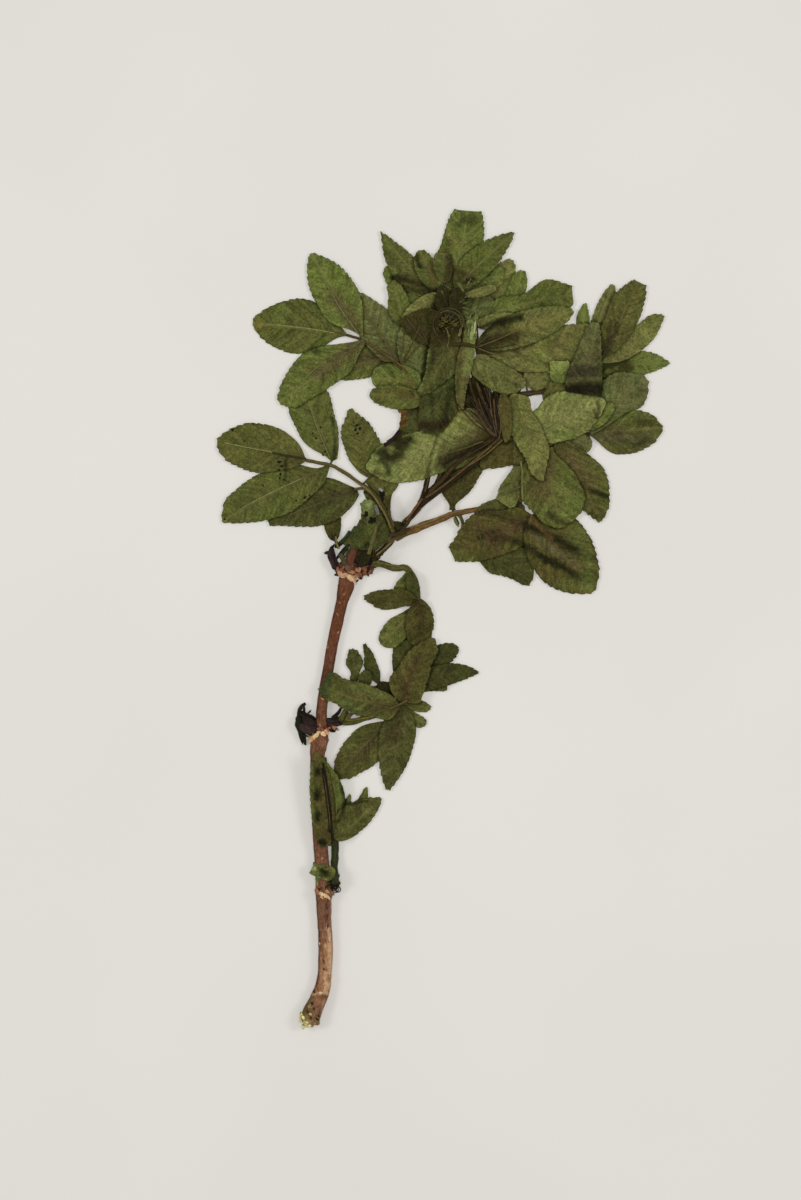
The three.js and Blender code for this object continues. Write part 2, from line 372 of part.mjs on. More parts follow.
// The bundle of dark leaf stalks: strands that fuse where they meet, laid layer by layer.
// A strand is [points x, y ..., radius at its start, radius at its end, layer].
const SHOOT = [
  [[-26.2, 21.6, -23.6, 24.2, -19.6, 27.9, -17.2, 31.7, -14.6, 34.4, -9.3, 40.9,
    -8.0, 43.4], 1.0, 1.1, 1],
  [[-8.0, 43.4, -7.0, 46.2, -6.2, 49.4, -5.2, 53.2, -5.0, 58.0], 1.1, 0.95, 3],
  [[-7.0, 44.6, -4.5, 47.0, -2.9, 49.2, -1.6, 52.2, -1.2, 56.0], 0.8, 0.6, 3],
  [[-14.3, 34.8, -8.3, 41.6, -2.2, 46.2, 3.0, 50.4, 9.6, 55.6, 15.4, 61.4, 21.0, 66.8], 1.0, 1.05, 5],
  [[-8.6, 42.6, -1.6, 47.6, 5.0, 52.8, 12.0, 58.4, 19.0, 64.2, 22.6, 66.4], 0.8, 0.8, 5],
  [[-5.0, 46.4, -0.6, 50.6, 4.0, 56.0, 10.4, 61.6, 19.0, 66.6], 0.8, 0.7, 5],
  [[19.6, 66.4, 15.4, 75.0, 11.6, 82.0, 9.8, 88.4], 0.8, 0.5, 5],
  [[20.0, 66.6, 17.0, 75.4, 14.2, 82.6, 12.4, 87.4], 0.8, 0.5, 5],
  [[20.4, 66.6, 18.6, 74.0, 17.0, 81.0, 15.6, 85.4], 0.8, 0.5, 5],
  [[20.8, 66.4, 20.2, 74.0, 19.6, 80.6, 19.4, 83.4], 0.8, 0.5, 5],
];

// The young flower cluster: thin stalks that arch over from its base and hang their buds.
const CLUSTER_BASE = [2.6, 103.6];
const CLUSTER_ARCHES = 9;
const CLUSTER_REACH = [5.4, 9.6];
const CLUSTER_STALK_RADIUS = 0.42;
const CLUSTER_LAYER = 7;

// Dark buds that grow from the stem beside its nodes: [base, middle and tip x and y, width].
const BUDS = [
  [[-37.9, 16.8, -41.0, 22.6, -40.4, 26.8], 3.8],
  [[-40.4, 26.2, -37.6, 28.1, -34.8, 31.9], 1.7],
  [[-39.9, 21.4, -37.4, 24.7, -35.1, 27.2], 1.5],
  [[-34.4, 17.2, -27.8, 20.2, -23.8, 22.4], 4.6],
  [[-46.4, -40.3, -51.2, -39.4, -54.0, -35.6], 6.8],
  [[-53.0, -39.4, -52.4, -43.6, -51.4, -47.6], 2.4],
  [[-53.4, -36.4, -52.9, -34.4, -51.4, -32.2], 1.6],
  [[-44.2, -39.2, -39.8, -39.1, -36.0, -39.3], 4.5],
  [[-41.0, -38.6, -39.0, -36.1, -37.8, -33.5], 1.5],
  [[-42.6, -40.2, -41.5, -41.8, -39.8, -42.4], 2.8],
  [[-43.4, -100.4, -40.6, -99.9, -38.0, -100.3], 2.8],
  [[-41.8, -100.2, -39.8, -98.2, -38.7, -95.9], 1.5],
  [[-41.2, 24.3, -42.7, 24.1, -44.2, 23.8], 1.3],
];
const BUD_RINGS = 3;
const BUD_SIDES = 5;
const BUD_FLATNESS = 0.55;

const PALE_LEAVES = new Set(["leaf_e", "leaf_j"]);
const COLOURS = {
  leaf: [0x4a5226, 0.8],
  pale_leaf: [0x6d6c34, 0.8],
  stem: [0x7a4330, 0.72],
  shoot: [0x33231a, 0.75],
  flower_cluster: [0x3c3a1c, 0.8],
};

// ---------------------------------------------------------------- curves
// A seeded sequence of numbers from 0 to 1.
function makeRandom(seed) {
  let state = seed;
  return () => {
    state = (state * 1664525 + 1013904223) % 4294967296;
    return state / 4294967296;
  };
}

// The point at t on the parabola through a leaflet's base, middle and tip.
function spinePoint(spine, t) {
  const a = (1 - t) * (1 - 2 * t);
  const b = 4 * t * (1 - t);
  const c = t * (2 * t - 1);
  return [spine[0] * a + spine[2] * b + spine[4] * c, spine[1] * a + spine[3] * b + spine[5] * c];
}

// The unit vector to the left of the spine at t.
function spineLeft(spine, t) {
  const ahead = spinePoint(spine, t + 0.01);
  const behind = spinePoint(spine, t - 0.01);
  const dx = ahead[0] - behind[0];
  const dy = ahead[1] - behind[1];
  const length = Math.hypot(dx, dy);
  return [-dy / length, dx / length];
}

// A smooth curve through the seven listed half widths.
function listedWidth(widths, t) {
  let i = 0;
  while (i < 5 && t > WIDTH_AT[i + 1]) i += 1;
  const slope = (j) => {
    const lo = Math.max(j - 1, 0);
    const hi = Math.min(j + 1, 6);
    return (widths[hi] - widths[lo]) / (WIDTH_AT[hi] - WIDTH_AT[lo]);
  };
  const span = WIDTH_AT[i + 1] - WIDTH_AT[i];
  const u = (t - WIDTH_AT[i]) / span;
  const start = widths[i] * (1 + 2 * u) * (1 - u) ** 2 + slope(i) * span * u * (1 - u) ** 2;
  const end = widths[i + 1] * u * u * (3 - 2 * u) - slope(i + 1) * span * u * u * (1 - u);
  return Math.max(start + end, 0);
}

function halfWidth(width, widest, roundness, t) {
  if (Array.isArray(width)) return listedWidth(width, t);
  const rise = (t / widest) ** (roundness * widest);
  const fall = ((1 - t) / (1 - widest)) ** (roundness * (1 - widest));
  return width * rise * fall;
}

// ---------------------------------------------------------------- the pile's height map
const COLUMNS = Math.round((MAP_X[1] - MAP_X[0]) / CELL);
const ROWS = Math.round((MAP_Y[1] - MAP_Y[0]) / CELL);
const pile = new Float32Array(COLUMNS * ROWS);

const column = (x) => Math.floor((x - MAP_X[0]) / CELL);
const row = (y) => Math.floor((y - MAP_Y[0]) / CELL);
const cellX = (i) => MAP_X[0] + (i + 0.5) * CELL;
const cellY = (j) => MAP_Y[0] + (j + 0.5) * CELL;

// The lowest z that something may have over cell i, j: it clears the cell and its neighbours.
function floorAt(i, j, lift) {
  let top = 0;
  for (let dj = -1; dj <= 1; dj += 1) {
    for (let di = -1; di <= 1; di += 1) {
      top = Math.max(top, pile[(j + dj) * COLUMNS + i + di]);
    }
  }
  return top > 0 ? top + AIR_GAP : lift;
}

// The cells whose centres a triangle covers in plan, with their weights in its corners.
function coveredCells(a, b, c) {
  const cells = [];
  const area = (b[0] - a[0]) * (c[1] - a[1]) - (c[0] - a[0]) * (b[1] - a[1]);
  if (Math.abs(area) < 1e-9) return cells;
  const [lowI, highI] = [column(Math.min(a[0], b[0], c[0])), column(Math.max(a[0], b[0], c[0]))];
  const [lowJ, highJ] = [row(Math.min(a[1], b[1], c[1])), row(Math.max(a[1], b[1], c[1]))];
  for (let j = lowJ; j <= highJ; j += 1) {
    for (let i = lowI; i <= highI; i += 1) {
      const x = cellX(i);
      const y = cellY(j);
      const wb = ((x - a[0]) * (c[1] - a[1]) - (c[0] - a[0]) * (y - a[1])) / area;
      const wc = ((b[0] - a[0]) * (y - a[1]) - (x - a[0]) * (b[1] - a[1])) / area;
      const wa = 1 - wb - wc;
      if (Math.min(wa, wb, wc) > -0.02) cells.push([i, j, wa, wb, wc]);
    }
  }
  return cells;
}

// Lowers a sheet of triangles onto the pile: it sags and smooths itself, and every
// covered cell pushes its triangle's corners back up.
function settleSheet(points, triangles, lift) {
  const heights = points.map(() => lift);
  const neighbours = points.map(() => new Set());
  const contacts = [];
  for (const [a, b, c] of triangles) {
    neighbours[a].add(b).add(c);
    neighbours[b].add(a).add(c);
    neighbours[c].add(a).add(b);
    for (const [i, j, wa, wb, wc] of coveredCells(points[a], points[b], points[c])) {
      contacts.push([[a, b, c], [wa, wb, wc], floorAt(i, j, lift)]);
    }
  }
  points.forEach(([x, y], k) => {
    contacts.push([[k, k, k], [1, 0, 0], floorAt(column(x), row(y), lift)]);
  });
  const push = () => {
    for (const [corners, weights, needed] of contacts) {
      const short = needed - corners.reduce((sum, k, n) => sum + weights[n] * heights[k], 0);
      if (short <= 0) continue;
      const scale = short / weights.reduce((sum, w) => sum + w * w, 0);
      corners.forEach((k, n) => {
        heights[k] += scale * Math.max(weights[n], 0);
      });
    }
  };
  for (let pass = 0; pass < 60; pass += 1) {
    push();
    const before = heights.slice();
    neighbours.forEach((near, k) => {
      const mean = [...near].reduce((sum, n) => sum + before[n], 0) / near.size;
      heights[k] = Math.max(lift, before[k] + 0.3 * (mean - before[k]) - 0.12);
    });
  }
  for (let pass = 0; pass < 30; pass += 1) push();
  return heights;
}

function stampSheet(points, triangles, tops) {
  for (const [a, b, c] of triangles) {
    for (const [i, j, wa, wb, wc] of coveredCells(points[a], points[b], points[c])) {
      const k = j * COLUMNS + i;
      pile[k] = Math.max(pile[k], wa * tops[a] + wb * tops[b] + wc * tops[c]);
    }
  }
  points.forEach(([x, y], n) => {
    const k = row(y) * COLUMNS + column(x);
    pile[k] = Math.max(pile[k], tops[n]);
  });
}

// ---------------------------------------------------------------- solids
function solidFrom(vertices, triangles) {
  const mesh = new wasm.Mesh({
    numProp: 3,
    vertProperties: Float32Array.from(vertices.flat()),
    triVerts: Uint32Array.from(triangles.flat()),
  });
  const solid = new wasm.Manifold(mesh);
  if (solid.volume() > 0) return solid;
  return new wasm.Manifold(new wasm.Mesh({
    numProp: 3,
    vertProperties: Float32Array.from(vertices.flat()),
    triVerts: Uint32Array.from(triangles.flatMap(([a, b, c]) => [a, c, b])),
  }));
}

// Rings of points joined into one closed tube, with a flat cap at each end.
function tubeSolid(rings) {
  const sides = rings[0].length;
  const triangles = [];
  for (let k = 0; k + 1 < rings.length; k += 1) {
    for (let s = 0; s < sides; s += 1) {
      const a = k * sides + s;
      const b = k * sides + (s + 1) % sides;
      triangles.push([a, b, b + sides], [a, b + sides, a + sides]);
    }
  }
  const last = (rings.length - 1) * sides;
  for (let s = 1; s + 1 < sides; s += 1) {
    triangles.push([0, s + 1, s], [last, last + s, last + s + 1]);
  }
  return solidFrom(rings.flat(), triangles);
}

// A ring across a line that runs along dir, with a flat side underneath.
function ringAcross(centre, dir, radius, sides, flatness) {
  const forward = new THREE.Vector3(...dir).normalize();
  const side = new THREE.Vector3(forward.y, -forward.x, 0).normalize();
  const up = new THREE.Vector3().crossVectors(side, forward);
  const ring = [];
  for (let s = 0; s < sides; s += 1) {
    const angle = ((s + 0.5) / sides) * 2 * Math.PI - Math.PI / 2;
    const point = new THREE.Vector3(...centre)
      .addScaledVector(side, radius * Math.cos(angle))
      .addScaledVector(up, radius * flatness * Math.sin(angle));
    ring.push([point.x, point.y, point.z]);
  }
  return ring;
}

function tubeAlong(points, radii, sides, flatness) {
  return tubeSolid(points.map((point, k) => {
    const ahead = points[Math.min(k + 1, points.length - 1)];
    const behind = points[Math.max(k - 1, 0)];
    const dir = ahead.map((value, n) => value - behind[n]);
    return ringAcross(point, dir, radii[k], sides, flatness);
  }));
}

// Evenly spaced plan points on a smooth curve through x, y pairs.
function planCurve(pairs, step) {
  const knots = [];
  for (let k = 0; k < pairs.length; k += 2) knots.push(new THREE.Vector3(pairs[k], pairs[k + 1], 0));
  const curve = new THREE.CatmullRomCurve3(knots, false, "centripetal");
  const count = Math.max(2, Math.round(curve.getLength() / step));
  return curve.getSpacedPoints(count).map((p) => [p.x, p.y]);
}

// Raises a line onto the pile: its middle at each point clears what lies under it.
function settleLine(plan, radii, lift) {
  const needed = plan.map(() => 0);
  for (let k = 0; k < plan.length; k += 1) {
    for (const other of [Math.max(k - 1, 0), Math.min(k + 1, plan.length - 1)]) {
      for (let u = 0; u <= 0.5; u += 0.125) {
        const x = plan[k][0] + (plan[other][0] - plan[k][0]) * u;
        const y = plan[k][1] + (plan[other][1] - plan[k][1]) * u;
        const reach = Math.ceil((radii[k] * 0.8) / CELL);
        for (let dj = -reach; dj <= reach; dj += 1) {
          for (let di = -reach; di <= reach; di += 1) {
            const height = floorAt(column(x) + di, row(y) + dj, lift);
            needed[k] = Math.max(needed[k], height + radii[k]);
          }
        }
      }
    }
  }
  const heights = needed.slice();
  for (let pass = 0; pass < 12; pass += 1) {
    for (let k = 1; k + 1 < heights.length; k += 1) {
      heights[k] = Math.max(heights[k], (heights[k - 1] + heights[k + 1]) / 2 - 0.25);
    }
  }
  return heights;
}

function stampLine(line, radii, flatness = 1) {
  for (let k = 0; k + 1 < line.length; k += 1) {
    for (let u = 0; u <= 1; u += 0.1) {
      const centre = line[k].map((value, n) => value + (line[k + 1][n] - value) * u);
      const radius = radii[k] + (radii[k + 1] - radii[k]) * u;
      const reach = Math.ceil(radius / CELL);
      for (let dj = -reach; dj <= reach; dj += 1) {
        for (let di = -reach; di <= reach; di += 1) {
          const i = column(centre[0]) + di;
          const j = row(centre[1]) + dj;
          const away = Math.hypot(cellX(i) - centre[0], cellY(j) - centre[1]) - CELL / 2;
          if (away > radius) continue;
          const top = centre[2] + Math.sqrt(radius * radius - Math.max(away, 0) ** 2) * flatness;
          pile[j * COLUMNS + i] = Math.max(pile[j * COLUMNS + i], top);
        }
      }
    }
  }
}

// Lays a stalk; an end of it that meets one of its own branch's lines joins that line.
function layStalk([pairs, startRadius, endRadius], ownLines) {
  const plan = planCurve(pairs, STALK_STEP);
  const radii = plan.map((_, k) => startRadius + (endRadius - startRadius) * (k / (plan.length - 1)));
  const heights = settleLine(plan, radii, REST_LIFT);
  for (const k of [0, plan.length - 1]) {
    for (const point of ownLines.flat()) {
      if (Math.hypot(point[0] - plan[k][0], point[1] - plan[k][1]) < JOIN_REACH) heights[k] = point[2];
    }
  }
  const line = plan.map(([x, y], k) => [x, y, heights[k]]);
  return { line, radii, solid: tubeAlong(line, radii, STALK_SIDES, 1) };
}

// ---------------------------------------------------------------- leaflets
// The lines of points that a blade is made of, from its left margin to its right margin.
function bladeLines([, spine, left, right, widest, roundness]) {
  const length = Math.hypot(spine[4] - spine[0], spine[5] - spine[1]);
  const teeth = Math.min(5, Math.max(2, Math.round(length / TOOTH_LENGTH)));
  const ribs = Math.min(5, Math.max(2, Math.round(length / RIB_STEP)));
  const at = (t, side, width, share, inset) => {
    const [x, y] = spinePoint(spine, t);
    const [nx, ny] = spineLeft(spine, t);
    const smooth = halfWidth(width, widest, roundness, Math.min(Math.max(t, 0), 1));
    const half = Math.max(smooth * share - inset, share < 1 ? 0.1 : 0.2) * side;
    return { t, x: x + nx * half, y: y + ny * half };
  };
  const margin = (side, width) => {
    const line = [at(0, side, width, 1, 0)];
    for (let k = 0; k < teeth; k += 1) {
      const depth = Math.min(TOOTH_DEPTH, 0.12 * (Array.isArray(width) ? Math.max(...width) : width));
      if (k > 0) line.push(at((k + 0.05) / teeth, side, width, 1, depth));
      line.push(at((k + 0.7) / teeth, side, width, 1, 0));
    }
    line.push(at(1, side, width, 1, 0));
    return line;
  };
  const inner = (side, width, share) => {
    const line = [];
    for (let k = 0; k <= ribs; k += 1) line.push(at(k / ribs, side, width, share, 0));
    return line;
  };
  const broad = (width) => (Array.isArray(width) ? Math.max(...width) : width) > WIDE_BLADE;
  const lines = [margin(1, left)];
  if (broad(left)) lines.push(inner(1, left, 0.5));
  const middle = lines.length;
  lines.push(inner(0, left, 0));
  if (broad(right)) lines.push(inner(-1, right, 0.5));
  lines.push(margin(-1, right));
  return { lines, middle };
}

// A toothed blade: two like faces, a blade's thickness apart, closed round the margin.
function layLeaflet(leaflet) {
  const { lines, middle } = bladeLines(leaflet);
  const points = [];
  const starts = lines.map((line) => {
    const start = points.length;
    line.forEach(({ x, y }) => points.push([x, y]));
    return start;
  });
  const triangles = [];
  for (let n = 0; n + 1 < lines.length; n += 1) {
    const [p, q] = [lines[n], lines[n + 1]];
    let [i, j] = [0, 0];
    while (i + 1 < p.length || j + 1 < q.length) {
      const stepLeft = j + 1 >= q.length || (i + 1 < p.length && p[i + 1].t <= q[j + 1].t);
      const corner = stepLeft ? starts[n] + i + 1 : starts[n + 1] + j + 1;
      triangles.push([starts[n] + i, starts[n + 1] + j, corner]);
      if (stepLeft) i += 1;
      else j += 1;
    }
  }
  const lift = LOWEST.has(leaflet[0]) ? 0 : REST_LIFT;
  const heights = settleSheet(points, triangles, lift);
  lines[middle].forEach((_, k) => {
    if (k > 0 && k + 1 < lines[middle].length && lift > 0) heights[starts[middle] + k] += MIDRIB_RISE;
  });
  const tops = heights.map((z) => z + BLADE_THICKNESS);
  stampSheet(points, triangles, tops);

  const count = points.length;
  const vertices = points.map(([x, y], k) => [x, y, tops[k]]);
  points.forEach(([x, y], k) => vertices.push([x, y, heights[k]]));
  const faces = [];
  for (const [a, b, c] of triangles) faces.push([a, b, c], [a + count, c + count, b + count]);
  const ends = lines.map((line, n) => starts[n] + line.length - 1);
  const firstLine = lines[0].map((_, k) => starts[0] + k);
  const lastStart = starts[starts.length - 1];
  const lastLine = lines[lines.length - 1].map((_, k) => lastStart + k).reverse();
  const rim = [...firstLine, ...ends.slice(1, -1), ...lastLine, ...starts.slice(1, -1).reverse()];
  rim.forEach((a, k) => {
    const b = rim[(k + 1) % rim.length];
    faces.push([a, b, b + count], [a, b + count, a + count]);
  });

  const [inX, inY] = spinePoint(leaflet[1], STUB_REACH);
  const share = STUB_REACH / lines[middle][1].t;
  const base = tops[starts[middle]];
  const inZ = base + (tops[starts[middle] + 1] - base) * share - BLADE_THICKNESS / 2;
  return { solid: solidFrom(vertices, faces), target: [inX, inY, inZ] };
}

// The short stalk that joins a leaflet to the nearest point of its leaf's stalk.
function layStub(line, target) {
  const distance = (point) => Math.hypot(...point.map((value, n) => value - target[n]));
  const root = line.reduce((best, point) => (distance(point) < distance(best) ? point : best));
  const stub = [root, target];
  const radii = [STUB_RADIUS, STUB_RADIUS * 0.8];
  stampLine(stub, radii);
  return tubeAlong(stub, radii, STUB_SIDES, 1);
}

// ---------------------------------------------------------------- stem, collars and buds
function makeStem() {
  const lowestSide = STEM_FLATNESS * Math.cos(Math.PI / STEM_SIDES);
  const line = STEM.map(([x, y, width]) => [x, y, (width / 2) * lowestSide]);
  const widths = STEM.map(([, , width]) => width / 2);
  stampLine(line, widths, STEM_FLATNESS);
  let stem = tubeAlong(line, widths, STEM_SIDES, STEM_FLATNESS);
  const random = makeRandom(7);
  for (const [x, y, across, along] of COLLARS) {
    for (let k = 0; k < COLLAR_FLAKES; k += 1) {
      const turn = (k / COLLAR_FLAKES) * 2 * Math.PI + 0.3 * random();
      const reach = 0.75 + 0.35 * random();
      const tip = [x + Math.cos(turn) * across * reach, y + Math.sin(turn) * along * reach];
      const height = 0.9 + 2.6 * Math.abs(Math.cos(turn * 0.5)) * random();
      const middle = [(x + tip[0]) / 2, (y + tip[1]) / 2, 1.6 + height / 3];
      const flake = [[x, y, 2.0], middle, [...tip, height + 0.4]];
      const radii = [1.3, 0.95, 0.42];
      stampLine(flake, radii);
      stem = stem.add(tubeAlong(flake, radii, 5, 0.7));
    }
  }
  return stem;
}

function makeBud([spine, width]) {
  const line = [];
  const radii = [];
  for (let k = 0; k <= BUD_RINGS; k += 1) {
    const t = k / BUD_RINGS;
    const radius = Math.max(0.25, (width / 2) * Math.sin(Math.PI * (0.14 + 0.84 * t)) ** 0.8);
    line.push([...spinePoint(spine, t), REST_LIFT + radius * BUD_FLATNESS + 0.4]);
    radii.push(radius);
  }
  stampLine(line, radii, BUD_FLATNESS);
  return tubeAlong(line, radii, BUD_SIDES, BUD_FLATNESS);
}

function makeFlowerCluster() {
  const random = makeRandom(3);
  const [baseX, baseY] = CLUSTER_BASE;
  const solids = [];
  const foot = [[baseX, baseY - 2.5], [baseX, baseY], [baseX, baseY + 2.5]];
  const footRadii = [0.9, 1.2, 0.8];
  const footHeights = settleLine(foot, footRadii, REST_LIFT);
  const footLine = foot.map(([x, y], k) => [x, y, footHeights[k]]);
  stampLine(footLine, footRadii);
  solids.push(tubeAlong(footLine, footRadii, STALK_SIDES, 1));
  for (let k = 0; k < CLUSTER_ARCHES; k += 1) {
    const turn = ((k + 0.5) / CLUSTER_ARCHES - 0.5) * Math.PI * 1.3;
    const reachX = Math.sin(turn) * CLUSTER_REACH[0] * (0.75 + 0.3 * random());
    const reachY = (0.35 + 0.65 * Math.cos(turn)) * CLUSTER_REACH[1] * (0.8 + 0.25 * random());
    const pairs = [
      baseX, baseY, baseX + reachX * 0.6, baseY + reachY * 0.7,
      baseX + reachX, baseY + reachY, baseX + reachX * 1.15, baseY + reachY * 0.7,
    ];
    const plan = planCurve(pairs, 2.2);
    const radii = plan.map((_, n) => CLUSTER_STALK_RADIUS * (n + 1 === plan.length ? 1.7 : 1));
    const heights = settleLine(plan, radii, REST_LIFT);
    const line = plan.map(([x, y], n) => [x, y, n === 0 ? footHeights[1] : heights[n] - AIR_GAP]);
    solids.push(tubeAlong(line, radii, 5, 1));
    if (k % 3 === 2) stampLine(line, radii);
  }
  return solids.reduce((whole, solid) => whole.add(solid));
}

// ---------------------------------------------------------------- the pile, from the bottom up
const nodes = new Map([["stem", [makeStem(), ...BUDS.map(makeBud)]], ["shoot", []]]);
const jobs = [];
const shootLines = [];
for (const layer of new Set(SHOOT.map((strand) => strand[3]))) {
  jobs.push([layer, () => {
    const laid = SHOOT.filter((strand) => strand[3] === layer).map((strand) => layStalk(strand, shootLines));
    for (const { line, radii, solid } of laid) {
      stampLine(line, radii);
      shootLines.push(line);
      nodes.get("shoot").push(solid);
    }
  }]);
}
for (const [name, leaf] of Object.entries(LEAVES)) {
  const solids = [];
  nodes.set(name, solids);
  const stalks = leaf.stalks.map((stalk) => ({
    plan: planCurve(stalk[0], STALK_STEP), layer: stalk[3], line: null, waiting: [], stalk,
  }));
  for (const stalk of stalks) {
    jobs.push([stalk.layer, () => {
      const ownLines = stalks.flatMap((other) => (other.line ? [other.line] : []));
      const { line, radii, solid } = layStalk(stalk.stalk, ownLines);
      stampLine(line, radii);
      stalk.line = line;
      solids.push(solid);
      stalk.waiting.forEach((target) => solids.push(layStub(line, target)));
    }]);
  }
  for (const leaflet of leaf.leaflets) {
    jobs.push([leaflet[6] + 0.5, () => {
      const { solid, target } = layLeaflet(leaflet);
      solids.push(solid);
      const [x, y] = target;
      const away = ({ plan }) => Math.min(...plan.map((point) => Math.hypot(point[0] - x, point[1] - y)));
      const own = stalks.reduce((best, stalk) => (away(stalk) < away(best) ? stalk : best));
      if (own.line) solids.push(layStub(own.line, target));
      else own.waiting.push(target);
    }]);
  }
}
jobs.push([CLUSTER_LAYER, () => nodes.set("flower_cluster", [makeFlowerCluster()])]);
jobs.sort((a, b) => a[0] - b[0]);
jobs.forEach(([, job]) => job());

// ---------------------------------------------------------------- meshes
function materialFor(name) {
  let kind = name.startsWith("leaf_") ? "leaf" : name;
  if (PALE_LEAVES.has(name)) kind = "pale_leaf";
  const [color, roughness] = COLOURS[kind];
  return new THREE.MeshStandardMaterial({ color, roughness, metalness: 0 });
}

function meshOf(name, solids) {
  const whole = solids.reduce((sum, solid) => sum.add(solid));
  const { vertProperties, triVerts } = whole.getMesh();
  const geometry = new THREE.BufferGeometry();
  geometry.setAttribute("position", new THREE.BufferAttribute(Float32Array.from(vertProperties), 3));
  geometry.setIndex(new THREE.BufferAttribute(Uint32Array.from(triVerts), 1));
  geometry.computeVertexNormals();
  const mesh = new THREE.Mesh(geometry, materialFor(name));
  mesh.name = name;
  return mesh;
}

const group = new THREE.Group();
for (const [name, solids] of nodes) group.add(meshOf(name, solids));

export default group;
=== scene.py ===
"""The visual model of a pressed and dried leafy elder branch, lying flat and seen from above.

Lengths in the tables are in millimetres and the mesh is in metres. The branch is built as a pile,
from the plane upwards: each leaflet and stalk is laid on a height map of what lies under it.
"""

import math

import bpy
import numpy as np
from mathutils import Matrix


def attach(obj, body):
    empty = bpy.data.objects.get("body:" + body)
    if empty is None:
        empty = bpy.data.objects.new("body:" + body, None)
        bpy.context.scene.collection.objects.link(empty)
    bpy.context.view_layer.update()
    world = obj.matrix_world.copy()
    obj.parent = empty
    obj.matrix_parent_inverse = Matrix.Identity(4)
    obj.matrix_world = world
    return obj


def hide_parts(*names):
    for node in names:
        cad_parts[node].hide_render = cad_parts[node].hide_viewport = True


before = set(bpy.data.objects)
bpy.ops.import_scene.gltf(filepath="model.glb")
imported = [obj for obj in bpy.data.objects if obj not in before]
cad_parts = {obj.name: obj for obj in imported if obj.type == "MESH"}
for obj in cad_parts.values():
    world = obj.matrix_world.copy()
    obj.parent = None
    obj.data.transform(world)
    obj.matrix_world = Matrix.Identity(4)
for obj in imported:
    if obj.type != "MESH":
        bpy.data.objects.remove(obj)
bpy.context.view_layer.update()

MM = 0.001

# ---------------------------------------------------------------- layout
# The stem's middle line and width: x, y, width, from the cut end to the top node.
STEM = [
    [-49.5, -151, 7], [-48.8, -147.2, 7], [-46.6, -142.6, 6.2], [-44.9, -138, 5.7], [-44.2, -133.6, 5.3],
    [-43.8, -128, 5.2], [-43.8, -120.7, 5.4], [-44.2, -113, 5.2], [-44.4, -106, 5.7], [-44.3, -102, 6.8],
    [-44.7, -97.5, 5.3], [-45.4, -88, 5.2], [-46.1, -78.3, 5.1], [-46.4, -66, 5.4], [-46.8, -52.5, 5.2],
    [-46.3, -47.5, 6], [-46.1, -45.2, 7.2], [-45.4, -41.5, 4.4], [-45.2, -34.6, 3.9], [-44.3, -27, 3.9],
    [-42.9, -20.1, 4], [-41.3, -10.7, 4.1], [-39.2, -1.1, 4.4], [-37.5, 6.3, 4.3], [-36.2, 11.2, 6.2],
    [-36.2, 14, 5.4], [-35.4, 17, 4], [-34.2, 22, 3.7], [-32.6, 27.2, 3],
]
STEM_FLATNESS = 0.8

